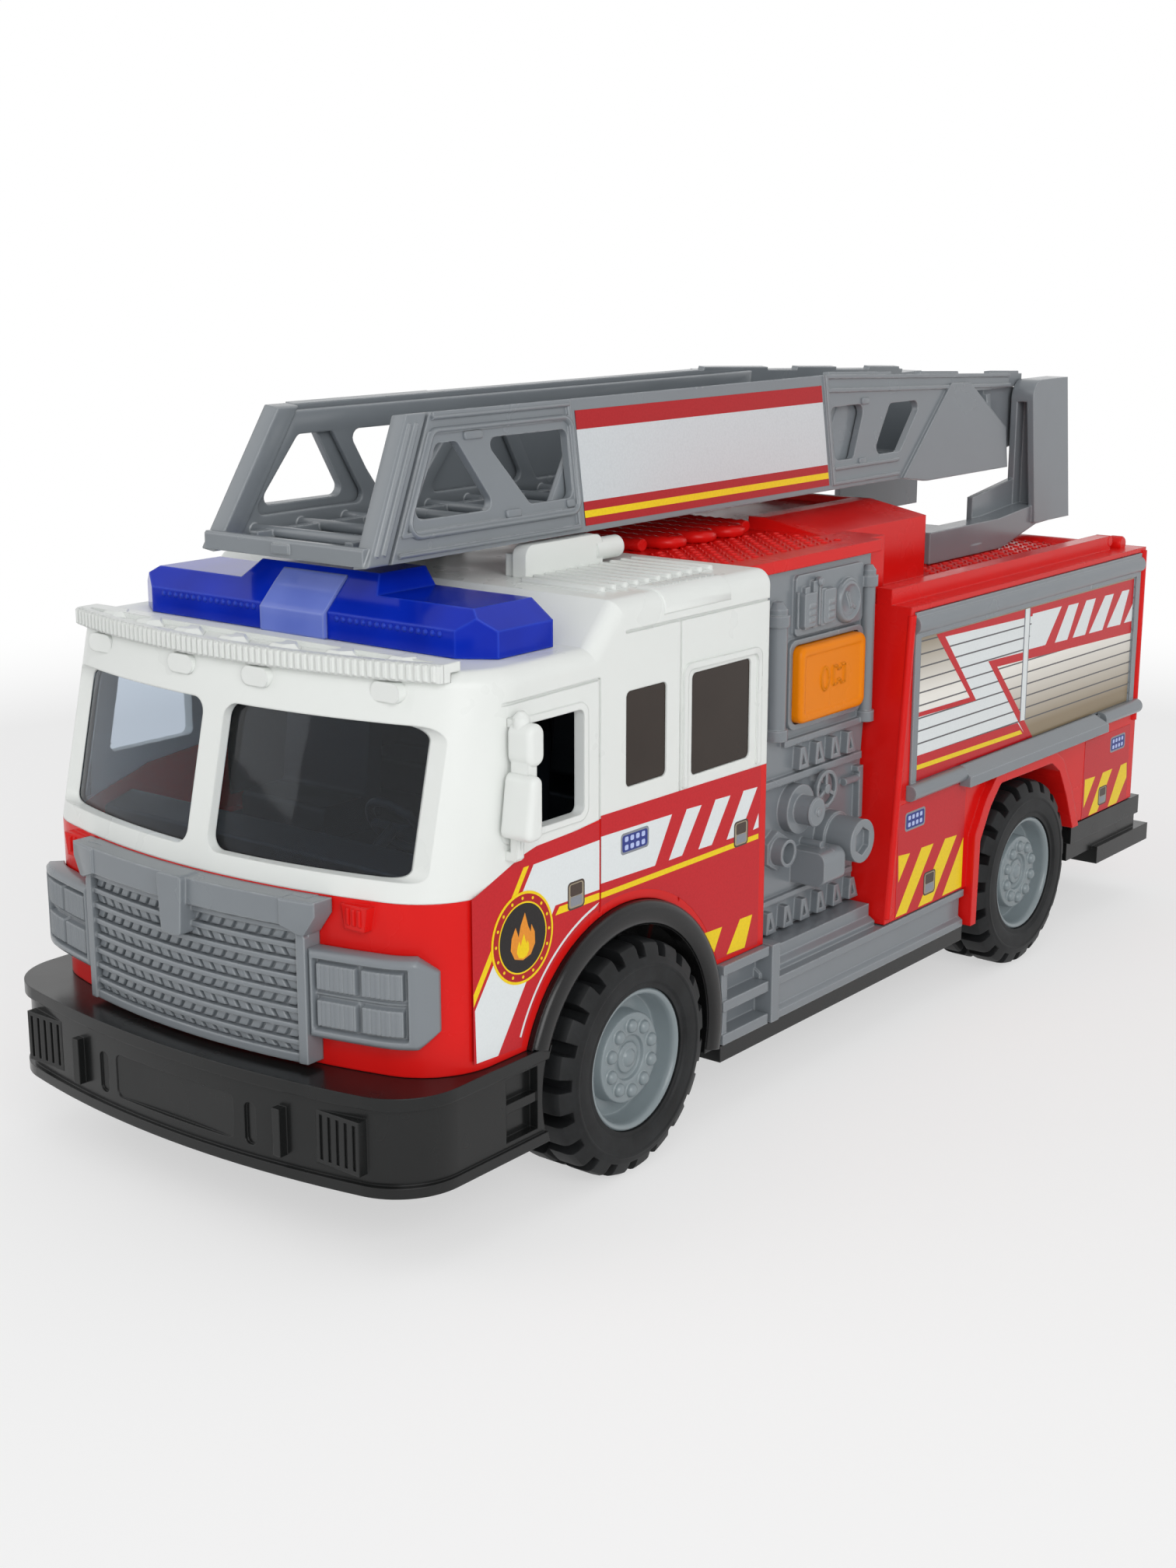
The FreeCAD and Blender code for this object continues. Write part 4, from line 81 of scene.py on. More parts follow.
# ---- sizes taken from the frame ----
def box_mm(node: str) -> tuple[Vector, Vector]:
    """Lowest and highest corner of a frame node in millimetres."""
    low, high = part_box(node)
    return low / MM, high / MM


def middle_yz(node: str) -> Point2:
    """Middle of a frame node, seen from the side."""
    low, high = box_mm(node)
    return (low.y + high.y) / 2, (low.z + high.z) / 2


FRONT_WHEEL = middle_yz("front_tyre_left")
CAB_HALF = box_mm("cab_lower")[1].x
CAB_FRONT = box_mm("cab_lower")[0].y
ROOF = box_mm("cab_upper")[1].z
LOCKER_HALF = box_mm("rear_fender_left")[0].x
# the outer ladder's walls stand on this line and lean in about it
LADDER_HALF = 22.0
LADDER_FOOT = 119.3
LADDER_LEAN_DEG = 7.13
# walkways on the pump housing and on the locker deck
HOUSING_TOP = 112.0
DECK_TOP = 97.4


# ---- colour and node helpers ----
WHITE = (1.0, 1.0, 1.0, 1.0)
# numbers of a colour mix's two inputs, which share their names with those of other data types
MIX_A, MIX_B = 6, 7
COLOUR_MIX = {"data_type": "RGBA"}


def linear(colour: str) -> tuple[float, float, float, float]:
    """Turns an sRGB hex colour into linear light.

    Args:
        colour: the colour, such as "#DC2622".

    Returns:
        The RGBA that a shader socket takes.
    """
    channels = []
    for start in (1, 3, 5):
        value = int(colour[start:start + 2], 16) / 255
        channels.append(value / 12.92 if value <= 0.04045 else ((value + 0.055) / 1.055) ** 2.4)
    return *channels, 1.0


def tints(colour: str, change: float, lift: float) -> list[tuple[float, ...]]:
    """Two tones of one colour.

    Args:
        colour: sRGB hex colour.
        change: share by which the tones differ from it.
        lift: light added to the pale tone, so that black varies too.

    Returns:
        The dark and the pale linear RGBA.
    """
    base = linear(colour)[:3]
    return [(*(c * (1 - change) for c in base), 1.0),
            (*(min(1.0, c * (1 + change) + lift) for c in base), 1.0)]


def add_node(tree: Tree, kind: str, settings: dict[str, Any] | None = None,
             inputs: dict[str | int, Any] | None = None) -> bpy.types.Node:
    """Adds a shader node with its settings and links.

    Args:
        tree: node tree that gets the node.
        kind: node type without its "ShaderNode" start.
        settings: attributes of the node itself.
        inputs: socket name or number to a plain value, to the output socket that feeds it, or to a
            node whose first live output feeds it.

    Returns:
        The new node.
    """
    node = tree.nodes.new("ShaderNode" + kind)
    for key, value in (settings or {}).items():
        setattr(node, key, value)
    for key, value in (inputs or {}).items():
        if isinstance(value, bpy.types.Node):
            value = next(output for output in value.outputs if output.enabled)
        if isinstance(value, Socket):
            tree.links.new(value, node.inputs[key])
        else:
            node.inputs[key].default_value = value
    return node


def per_metre(size_mm: float) -> float:
    """Texture scale at which one feature is size_mm across, for coordinates in metres."""
    return 1.0 / (size_mm * MM)


def soft_edges(tree: Tree, radius_mm: float) -> tuple[bpy.types.Node, bpy.types.Node]:
    """Rounds the edges of a moulding in the shading, and finds where they bend.

    Args:
        tree: node tree of the material.
        radius_mm: radius of the edges.

    Returns:
        The softened normal, and its cosine to the true one, which is one on flat faces.
    """
    soft = add_node(tree, "Bevel", {"samples": 4}, {"Radius": radius_mm * MM})
    flat = add_node(tree, "NewGeometry").outputs["Normal"]
    return soft, add_node(tree, "VectorMath", {"operation": "DOT_PRODUCT"}, {0: soft, 1: flat})


def shown_rays(tree: Tree) -> bpy.types.Node:
    """Tells the rays that show a surface from the light that falls from it.

    Args:
        tree: node tree of the material or world.

    Returns:
        One for rays that show it directly, mirrored or through glass, and zero for the rest.
    """
    rays = add_node(tree, "LightPath").outputs
    seen = add_node(tree, "Math", {"operation": "MAXIMUM"}, {
        0: rays["Is Camera Ray"], 1: rays["Is Glossy Ray"]})
    return add_node(tree, "Math", {"operation": "MAXIMUM"}, {0: seen, 1: rays["Is Transmission Ray"]})


# ---- finishes ----
@dataclass(frozen=True)
class Finish:
    """A surface of one real material, built once and shared."""

    name: str
    slot: str

    def material(self) -> bpy.types.Material:
        """Finds or builds the material.

        Returns:
            The Blender material, which all pieces of this finish share.
        """
        made = bpy.data.materials.get(self.name)
        if not made:
            made = bpy.data.materials.new(self.name)
            made.use_nodes = True
            tree = made.node_tree
            tree.nodes.clear()
            place = add_node(tree, "TexCoord").outputs["Object"]
            add_node(tree, "OutputMaterial", inputs={"Surface": self.shader(tree, place)})
        return made

    def shader(self, tree: Tree, place: Socket) -> bpy.types.Node:
        """Builds the shader of the surface on its coordinates and returns its last node."""
        return add_node(tree, "BsdfPrincipled", inputs=self.surface(tree, place))

    def surface(self, tree: Tree, place: Socket) -> dict[str, Any]:
        """Works out the surface.

        Args:
            tree: node tree of the material.
            place: coordinates on the object, in metres.

        Returns:
            What goes into each socket of the principled shader.
        """
        raise NotImplementedError


@dataclass(frozen=True)
class MouldedPlastic(Finish):
    """Injection-moulded ABS: an even colour with slow sink waves, a fine spark grain, soft edges and a
    painted highlight along them.
    """

    colour: str
    roughness: float = 0.33
    # ABS has an IOR near 1.53
    ior: float = 1.53
    # spark-eroded grain of a toy mould is near 0.15 mm; 0.45 mm is the finest that shows
    grain_mm: float = 0.45
    grain_depth_mm: float = 0.004
    # sink marks over ribs are 10 to 20 mm across
    sink_mm: float = 13.0
    sink_depth_mm: float = 0.05
    mottle: float = 0.05
    edge_mm: float = 0.32
    # share of the painted highlight on the edges
    edge_highlight: float = 0.35
    # a toy's ABS is waxy, so it mirrors less than its IOR gives
    specular: float = 0.24
    # how much paler the painted highlight on the edges is than the colour
    rub: float = 0.22

    def surface(self, tree: Tree, place: Socket) -> dict[str, Any]:
        """Works out the plastic.

        Args:
            tree: node tree of the material.
            place: coordinates on the object.

        Returns:
            What goes into each socket.
        """
        flow = add_node(tree, "TexNoise", inputs={
            "Vector": place, "Scale": per_metre(self.sink_mm), "Detail": 3.0})
        grain = add_node(tree, "TexNoise", inputs={
            "Vector": place, "Scale": per_metre(self.grain_mm), "Detail": 1.0})
        soft, bend = soft_edges(tree, self.edge_mm)
        sunk = add_node(tree, "Bump", inputs={
            "Height": flow, "Distance": self.sink_depth_mm * MM, "Normal": soft})
        fine = add_node(tree, "Bump", inputs={
            "Height": grain, "Distance": self.grain_depth_mm * MM, "Normal": sunk})
        dark, light = tints(self.colour, self.mottle, 0.004)
        tone = add_node(tree, "Mix", COLOUR_MIX, {"Factor": flow, MIX_A: dark, MIX_B: light})
        # painted highlight: where the softened normal bends at an edge, the colour is mixed towards a paler
        # tone of itself
        highlight_share = add_node(tree, "MapRange", inputs={
            "Value": bend, "From Min": 0.99, "From Max": 0.72, "To Max": self.edge_highlight})
        highlight_colour = (*(c + (1 - c) * c ** 0.5 * self.rub for c in linear(self.colour)[:3]), 1.0)
        colour = add_node(tree, "Mix", COLOUR_MIX, {"Factor": highlight_share, MIX_A: tone, MIX_B: highlight_colour})
        gloss = add_node(tree, "MapRange", inputs={
            "Value": flow, "From Min": 0.3, "From Max": 0.7,
            "To Min": self.roughness - 0.05, "To Max": self.roughness + 0.06})
        return {"Base Color": colour, "Roughness": gloss, "IOR": self.ior,
                "Specular IOR Level": self.specular, "Normal": fine}


@dataclass(frozen=True)
class PrintedVinyl(Finish):
    """Screen-printed vinyl film: one ink with a faint dot screen under a glossy clear face."""

    colour: str
    roughness: float = 0.3
    # a print screen has dots near 0.15 mm; 0.5 mm is the finest that shows
    screen_mm: float = 0.5
    ink_change: float = 0.05
    # the film lies in slow ripples over the moulding
    ripple_mm: float = 16.0
    ripple_depth_mm: float = 0.035
    ior: float = 1.5
    specular: float = 0.22

    def surface(self, tree: Tree, place: Socket) -> dict[str, Any]:
        """Works out the print.

        Args:
            tree: node tree of the material.
            place: coordinates on the object.

        Returns:
            What goes into each socket.
        """
        screen = add_node(tree, "TexVoronoi", {"feature": "F1"}, {
            "Vector": place, "Scale": per_metre(self.screen_mm)})
        cloud = add_node(tree, "TexNoise", inputs={
            "Vector": place, "Scale": per_metre(self.ripple_mm), "Detail": 2.0})
        dark, light = tints(self.colour, self.ink_change, 0.003)
        dots = add_node(tree, "Mix", COLOUR_MIX, {"Factor": screen, MIX_A: light, MIX_B: dark})
        ripple = add_node(tree, "Bump", inputs={"Height": cloud, "Distance": self.ripple_depth_mm * MM})
        return {"Base Color": dots, "Roughness": self.roughness, "IOR": self.ior,
                "Specular IOR Level": self.specular, "Normal": ripple}


@dataclass(frozen=True)
class FadedVinyl(Finish):
    """Printed vinyl whose ink fades from one tint to another along the height of the panel."""

    top: str
    bottom: str
    z_top: float
    z_bottom: float
    roughness: float = 0.3
    ior: float = 1.5
    specular: float = 0.22
    screen_mm: float = 0.6
    screen_depth_mm: float = 0.003

    def surface(self, tree: Tree, place: Socket) -> dict[str, Any]:
        """Works out the fade.

        Args:
            tree: node tree of the material.
            place: coordinates on the object.

        Returns:
            What goes into each socket.
        """
        height = add_node(tree, "SeparateXYZ", inputs={"Vector": place}).outputs["Z"]
        level = add_node(tree, "MapRange", inputs={
            "Value": height, "From Min": self.z_bottom * MM, "From Max": self.z_top * MM})
        screen = add_node(tree, "TexNoise", inputs={"Vector": place, "Scale": per_metre(self.screen_mm)})
        colour = add_node(tree, "Mix", COLOUR_MIX, {
            "Factor": level, MIX_A: linear(self.bottom), MIX_B: linear(self.top)})
        speck = add_node(tree, "Bump", inputs={"Height": screen, "Distance": self.screen_depth_mm * MM})
        return {"Base Color": colour, "Roughness": self.roughness, "IOR": self.ior,
                "Specular IOR Level": self.specular, "Normal": speck}


@dataclass(frozen=True)
class ClearStyrene(Finish):
    """Clear moulded polystyrene: faintly smoky, with handling scuffs that blur it here and there."""

    tint: str
    roughness: float = 0.03
    # a lower IOR than polystyrene's 1.59 keeps the thin screen free of a white veil
    ior: float = 1.3
    specular: float = 0.3
    scuff_mm: float = 2.5
    scuff_blur: float = 0.05
    wave_mm: float = 14.0
    wave_depth_mm: float = 0.05

    def surface(self, tree: Tree, place: Socket) -> dict[str, Any]:
        """Works out the clear plastic.

        Args:
            tree: node tree of the material.
            place: coordinates on the object.

        Returns:
            What goes into each socket.
        """
        stretched = add_node(tree, "Mapping", inputs={
            "Vector": place, "Rotation": (0.0, 0.5, 0.4), "Scale": (1.0, 1.0, 0.12)})
        scuff = add_node(tree, "TexNoise", inputs={
            "Vector": stretched, "Scale": per_metre(self.scuff_mm), "Detail": 4.0})
        blur = add_node(tree, "MapRange", inputs={
            "Value": scuff, "From Min": 0.62, "From Max": 0.75,
            "To Min": self.roughness, "To Max": self.roughness + self.scuff_blur})
        wave = add_node(tree, "TexNoise", inputs={"Vector": place, "Scale": per_metre(self.wave_mm)})
        pull = add_node(tree, "Bump", inputs={"Height": wave, "Distance": self.wave_depth_mm * MM})
        return {"Base Color": linear(self.tint), "Roughness": blur, "IOR": self.ior,
                "Specular IOR Level": self.specular, "Transmission Weight": 1.0, "Normal": pull}


@dataclass(frozen=True)
class TintedLens(Finish):
    """Translucent coloured polycarbonate: deep body colour, a painted highlight on its edges and moulded
    flutes.
    """

    colour: str
    deep: str
    # paler colour of the painted highlight on the lens's edges
    edge: str
    clearness: float = 0.1
    roughness: float = 0.12
    ior: float = 1.58
    specular: float = 0.09
    # optic flutes inside the lens are 2.4 mm apart
    flute_mm: float = 2.4
    flute_depth_mm: float = 0.008
    cloud_mm: float = 9.0
    edge_mm: float = 0.7

    def surface(self, tree: Tree, place: Socket) -> dict[str, Any]:
        """Works out the lens.

        Args:
            tree: node tree of the material.
            place: coordinates on the object.

        Returns:
            What goes into each socket.
        """
        flutes = add_node(tree, "TexWave", {"wave_type": "BANDS", "bands_direction": "X"}, {
            "Vector": place, "Scale": per_metre(self.flute_mm) / 20, "Distortion": 0.2}).outputs["Fac"]
        cloud = add_node(tree, "TexNoise", inputs={
            "Vector": place, "Scale": per_metre(self.cloud_mm), "Detail": 2.0})
        depth = add_node(tree, "Mix", {"data_type": "FLOAT"}, {"Factor": 0.75, "A": flutes, "B": cloud})
        body = add_node(tree, "Mix", COLOUR_MIX, {
            "Factor": depth, MIX_A: linear(self.deep), MIX_B: linear(self.colour)})
        soft, bend = soft_edges(tree, self.edge_mm)
        # painted highlight: the edges are mixed towards the paler edge colour where the softened normal bends
        rim = add_node(tree, "MapRange", inputs={
            "Value": bend, "From Min": 0.995, "From Max": 0.9, "To Max": 0.6})
        colour = add_node(tree, "Mix", COLOUR_MIX, {
            "Factor": rim, MIX_A: body, MIX_B: linear(self.edge)})
        relief = add_node(tree, "Bump", inputs={
            "Height": flutes, "Distance": self.flute_depth_mm * MM, "Normal": soft})
        return {"Base Color": colour, "Roughness": self.roughness, "IOR": self.ior,
                "Specular IOR Level": self.specular, "Transmission Weight": self.clearness,
                "Normal": relief}


@dataclass(frozen=True)
class MouldedRubber(Finish):
    """Moulded PVC rubber: matt black with a dusty bloom and a fine stipple."""

    colour: str
    dust: str
    roughness: float = 0.56
    ior: float = 1.52
    specular: float = 0.25
    bloom_mm: float = 7.0
    # the stipple of a tyre mould is near 0.1 mm; 0.4 mm is the finest that shows
    stipple_mm: float = 0.4
    stipple_depth_mm: float = 0.008
    edge_mm: float = 0.3

    def surface(self, tree: Tree, place: Socket) -> dict[str, Any]:
        """Works out the rubber.

        Args:
            tree: node tree of the material.
            place: coordinates on the object.

        Returns:
            What goes into each socket.
        """
        bloom = add_node(tree, "TexNoise", inputs={
            "Vector": place, "Scale": per_metre(self.bloom_mm), "Detail": 5.0, "Roughness": 0.65})
        stipple = add_node(tree, "TexNoise", inputs={"Vector": place, "Scale": per_metre(self.stipple_mm)})
        patchy = add_node(tree, "MapRange", inputs={
            "Value": bloom, "From Min": 0.4, "From Max": 0.75, "To Max": 0.55})
        colour = add_node(tree, "Mix", COLOUR_MIX, {
            "Factor": patchy, MIX_A: linear(self.colour), MIX_B: linear(self.dust)})
        soft = add_node(tree, "Bevel", {"samples": 4}, {"Radius": self.edge_mm * MM})
        skin = add_node(tree, "Bump", inputs={
            "Height": stipple, "Distance": self.stipple_depth_mm * MM, "Normal": soft})
        return {"Base Color": colour, "Roughness": self.roughness, "IOR": self.ior,
                "Specular IOR Level": self.specular, "Normal": skin}


@dataclass(frozen=True)
class DrawnSteel(Finish):
    """Drawn steel wire: bright metal with fine drawing lines along the pin."""

    colour: str
    roughness: float = 0.28
    # drawing lines are near 0.05 mm apart; 0.3 mm is the finest that shows
    line_mm: float = 0.3

    def surface(self, tree: Tree, place: Socket) -> dict[str, Any]:
        """Works out the steel.

        Args:
            tree: node tree of the material.
            place: coordinates on the object.

        Returns:
            What goes into each socket.
        """
        along = add_node(tree, "Mapping", inputs={"Vector": place, "Scale": (0.04, 1.0, 1.0)})
        lines = add_node(tree, "TexNoise", inputs={"Vector": along, "Scale": per_metre(self.line_mm)})
        gloss = add_node(tree, "MapRange", inputs={
            "Value": lines, "To Min": self.roughness - 0.08, "To Max": self.roughness + 0.14})
        return {"Base Color": linear(self.colour), "Metallic": 1.0, "Roughness": gloss}


@dataclass(frozen=True)
class PaleFloor(Finish):
    """Matt white board that shows as plain white away from the truck and keeps its shadow near it."""

    near_mm: float = 150.0
    far_mm: float = 560.0
    near_share: float = 0.55
    fibre_mm: float = 3.0
    fibre_depth_mm: float = 0.01

    def shader(self, tree: Tree, place: Socket) -> bpy.types.Node:
        """Builds the board.

        Args:
            tree: node tree of the material.
            place: coordinates on the object.

        Returns:
            The last node of the shader.
        """
        reach = add_node(tree, "VectorMath", {"operation": "LENGTH"}, {0: place})
        fade = add_node(tree, "MapRange", {"interpolation_type": "SMOOTHSTEP"}, {
            "Value": reach, "From Min": self.near_mm * MM, "From Max": self.far_mm * MM})
        fibre = add_node(tree, "TexNoise", inputs={"Vector": place, "Scale": per_metre(self.fibre_mm)})
        relief = add_node(tree, "Bump", inputs={"Height": fibre, "Distance": self.fibre_depth_mm * MM})
        board = add_node(tree, "BsdfDiffuse", inputs={
            "Color": (0.94, 0.94, 0.94, 1.0), "Normal": relief})
        plain = add_node(tree, "Emission", inputs={"Color": WHITE, "Strength": 1.0})
        white = add_node(tree, "Math", {"operation": "MAXIMUM"}, {0: fade, 1: self.near_share})
        share = add_node(tree, "Math", {"operation": "MULTIPLY"}, {0: shown_rays(tree), 1: white})
        return add_node(tree, "MixShader", inputs={"Fac": share, 1: board, 2: plain})


# moulded ABS in the toy's own colours, with a painted highlight along the edges; the grain and soft edges
# give the eye a warm, solid plastic
RED_ABS = MouldedPlastic("red_abs_moulded", "red_plastic", "#DB1512", roughness=0.24, specular=0.17,
                         edge_mm=0.45)
WHITE_ABS = MouldedPlastic("white_abs_moulded", "white_plastic", "#E7EAE7", roughness=0.3, mottle=0.02,
                           edge_mm=0.45)
GREY_ABS = MouldedPlastic("grey_abs_moulded", "grey_plastic", "#7C8287", roughness=0.22,
                          specular=0.45, edge_mm=0.6, edge_highlight=0.9, rub=0.62)
HUB_ABS = MouldedPlastic("hub_grey_abs_moulded", "hub_grey", "#828D91", roughness=0.22,
                         specular=0.45, edge_mm=0.5, edge_highlight=0.9, rub=0.5)
BLACK_ABS = MouldedPlastic("black_abs_moulded", "black_plastic", "#161717", roughness=0.24,
                           specular=0.3, rub=0.1)
# a darker copy of the black plastic for the arches: its lower tone is painted shade, its lower roughness is
# the arch's own gloss
BLACK_GLOSS_SHADED = MouldedPlastic("black_abs_polished_arch", "black_plastic", "#0D0D0E", roughness=0.17,
                             specular=0.34, edge_mm=0.5, edge_highlight=0.6, rub=0.3)
DARK_ABS = MouldedPlastic("dark_abs_moulded_insert", "dark_interior", "#161B22", roughness=0.45)
ORANGE_ABS = MouldedPlastic("orange_abs_moulded", "orange_button", "#EC8404", roughness=0.3,
                            specular=0.12, edge_mm=0.5, edge_highlight=0.7)
# brown styrene is glossier and smoother, so it reads as a dark pane
BROWN_ABS = MouldedPlastic("brown_styrene_moulded_pane", "dark_glass", "#2C2119", roughness=0.2,
                           mottle=0.1, grain_depth_mm=0.001)
# clear mouldings; their depth and the painted highlight on their rims read as a solid lens, and the screen as
# thin clear plastic
LAMP_RED = TintedLens("red_styrene_moulded_lens", "lamp_red", "#C81414", "#8E0A0A", "#F04A40")
CLEAR = ClearStyrene("clear_styrene_moulded_screen", "clear_screen", "#BCC8D6")
BLUE_LENS = TintedLens("blue_polycarbonate_moulded_lens", "blue_lens", "#0630C8", "#0422A4", "#3C62F0")
BLUE_LIGHT = TintedLens("light_blue_polycarbonate_moulded_lens", "blue_lens_light", "#7F92E6", "#6478D2",
                        "#A9B8F6")
# rubber's dusty bloom makes the tyres duller than the black plastic beside them
RUBBER = MouldedRubber("black_rubber_moulded_tyre", "tyre_rubber", "#131415", "#2B2D2F")
# drawing lines pull the pin's highlight out along its length
STEEL = DrawnSteel("steel_drawn_pin", "steel", "#C4C7CA")
# matt card keeps a soft shadow and gives no reflection
FLOOR = PaleFloor("card_matt_floor", "white_plastic")

# screen-printed vinyl inks; a thin clear face over flat ink reads as a sticker, not as plastic
INK_RED = PrintedVinyl("vinyl_printed_red", "red_plastic", "#C51620")
INK_DEEP_RED = PrintedVinyl("vinyl_printed_deep_red", "red_plastic", "#B0131B")
INK_WHITE = PrintedVinyl("vinyl_printed_white", "white_plastic", "#E4E9EA", ink_change=0.02)
INK_SILVER = PrintedVinyl("vinyl_printed_silver_white", "white_plastic", "#D2D7DA", ink_change=0.04)
INK_YELLOW = PrintedVinyl("vinyl_printed_yellow", "white_plastic", "#F4D208")
INK_NAVY = PrintedVinyl("vinyl_printed_navy", "dark_interior", "#2E3A86")
INK_SKY = PrintedVinyl("vinyl_printed_pale_blue", "white_plastic", "#B9C6F2")
INK_GREY = PrintedVinyl("vinyl_printed_grey", "grey_plastic", "#8A8E95")
INK_LINE = PrintedVinyl("vinyl_printed_slate_line", "grey_plastic", "#5C5A5C")
INK_BROWN = PrintedVinyl("vinyl_printed_brown", "dark_interior", "#4A3D36")
INK_TAN = PrintedVinyl("vinyl_printed_tan", "white_plastic", "#A39781")
INK_BLACK = PrintedVinyl("vinyl_printed_black", "black_plastic", "#221E1E")
INK_ORANGE = PrintedVinyl("vinyl_printed_orange", "orange_button", "#E8922A")
INK_FADE_HIGH = FadedVinyl("vinyl_printed_fade_upper", "white_plastic", "#8E8069", "#F2EFE8", 91.0, 76.0)
INK_FADE_LOW = FadedVinyl("vinyl_printed_fade_lower", "white_plastic", "#F1EEE7", "#93836A", 76.0, 60.0)


# ---- outlines ----
def clipped(outline: Outline, low: Point2, high: Point2) -> list[Point2]:
    """Cuts an outline to a rectangle.

    Args:
        outline: corners in order.
        low: lowest corner of the rectangle.
        high: highest corner of the rectangle.

    Returns:
        The corners inside it.
    """
    points = list(outline)
    for axis, limit, sign in ((0, low[0], 1), (0, high[0], -1), (1, low[1], 1), (1, high[1], -1)):
        kept: list[Point2] = []
        for i, here in enumerate(points):
            before = points[i - 1]
            is_in, was_in = sign * (here[axis] - limit) >= 0, sign * (before[axis] - limit) >= 0
            if is_in != was_in:
                share = (limit - before[axis]) / (here[axis] - before[axis])
                kept.append((before[0] + share * (here[0] - before[0]),
                             before[1] + share * (here[1] - before[1])))
            if is_in:
                kept.append(here)
        points = kept
    return points


def arc(centre: Point2, radius: float, start_deg: float, end_deg: float, steps: int = 24) -> list[Point2]:
    """Points along a circular arc, with angles counted from the first axis.

    Args:
        centre: middle of the circle.
        radius: its radius.
        start_deg: first angle.
        end_deg: last angle.
        steps: number of steps between them.

    Returns:
        The points, both ends included.
    """
    turns = [math.radians(start_deg + (end_deg - start_deg) * i / steps) for i in range(steps + 1)]
    return [(centre[0] + radius * math.cos(turn), centre[1] + radius * math.sin(turn)) for turn in turns]


def circle(centre: Point2, radius: float, count: int) -> list[Point2]:
    """Points round a whole circle."""
    return arc(centre, radius, 0, 360, count)[:-1]


def band(start: Point2, end: Point2, width: float) -> list[Point2]:
    """Outline of a straight line.

    Args:
        start: its first end.
        end: its other end.
        width: its whole width.

    Returns:
        The four corners.
    """
    a, b = Vector(start), Vector(end)
    across = Vector((a.y - b.y, b.x - a.x)).normalized() * width / 2
    return [tuple(a + across), tuple(b + across), tuple(b - across), tuple(a - across)]


def shrunk(outline: Outline, share: float, middle: Point2 | None = None) -> list[Point2]:
    """Makes an outline smaller about its middle.

    Args:
        outline: corners in order.
        share: share of its size that goes.
        middle: the point that stays, if it isn't the mean of the corners.

    Returns:
        The corners in order.
    """
    count = len(outline)
    middle = middle or (sum(a for a, _ in outline) / count, sum(b for _, b in outline) / count)
    return [(a + (middle[0] - a) * share, b + (middle[1] - b) * share) for a, b in outline]


def oblong(low: Point2, high: Point2) -> list[Point2]:
    """Corners of a rectangle."""
    return [low, (high[0], low[1]), high, (low[0], high[1])]


def rounded_box(centre: Point2, half_y: float, half_z: float, radius: float) -> list[Point2]:
    """Outline of a rectangle with round corners.

    Args:
        centre: its middle.
        half_y: half its length along the truck.
        half_z: half its height.
        radius: corner radius.

    Returns:
        The corners in order.
    """
    points: list[Point2] = []
    for turn, sy, sz in ((0, 1, 1), (90, -1, 1), (180, -1, -1), (270, 1, -1)):
        corner = (centre[0] + sy * (half_y - radius), centre[1] + sz * (half_z - radius))
        points += arc(corner, radius, turn, turn + 90, 5)
    return points


def rounded(corners: Outline, radius: float, steps: int = 4) -> list[Point2]:
    """Rounds the corners of a closed outline.

    Args:
        corners: corners in order.
        radius: radius of each round.
        steps: number of steps in each round.

    Returns:
        The rounded outline.
    """
    points = []
    for i, corner in enumerate(corners):
        here = Vector(corner)
        back = (Vector(corners[i - 1]) - here).normalized()
        ahead = (Vector(corners[(i + 1) % len(corners)]) - here).normalized()
        half_angle = back.angle(ahead) / 2
        reach = radius / math.tan(half_angle)
        middle = here + (back + ahead).normalized() * radius / math.sin(half_angle)
        first, last = here + back * reach - middle, here + ahead * reach - middle
        turn = first.angle_signed(last)
        for k in range(steps + 1):
            spun = first.copy()
            spun.rotate(Matrix.Rotation(-turn * k / steps, 2))
            points.append(tuple(middle + spun))
    return points


def smooth_step(value: float, low: float, high: float) -> float:
    """Rises from zero to one as the value goes from low to high."""
    share = min(1.0, max(0.0, (value - low) / (high - low)))
    return share * share * (3 - 2 * share)


def inside(value: float, low: float, high: float, soft: float) -> float:
    """One between low and high, falling to zero over a soft border within."""
    return smooth_step(value, low, low + soft) * (1 - smooth_step(value, high - soft, high))


@dataclass(frozen=True)
class BowedLine:
    """Plan line of the truck's nose: a shallow arc that turns into round corners."""

    front: float
    half: float = CAB_HALF
    bow: float = 9.6
    corner: float = 15.4

    @property
    def radius(self) -> float:
        """Radius of the shallow arc."""
        return (self.half ** 2 + self.bow ** 2) / (2 * self.bow)

    def point(self, run: float) -> tuple[Point2, Point2]:
        """Place and outward direction at some run along the line from its middle.

        Args:
            run: length along the line, on the left side.

        Returns:
            The place (x, y) and the unit direction (x, y).
        """
        corner_x = self.half - self.corner
        turn = math.asin(corner_x / (self.radius - self.corner))
        reach = self.radius
        middle = (0.0, self.front + self.radius)
        angle = run / self.radius
        if angle > turn:
            angle = turn + (run - turn * self.radius) / self.corner
            middle = (corner_x, middle[1] - math.sqrt((self.radius - self.corner) ** 2 - corner_x ** 2))
            reach = self.corner
        out = (math.sin(angle), -math.cos(angle))
        return (middle[0] + reach * out[0], middle[1] + reach * out[1]), out

    def y_at(self, x: float) -> float:
        """Place along the truck of the shallow arc at x."""
        return self.front + self.radius - math.sqrt(self.radius ** 2 - x ** 2)


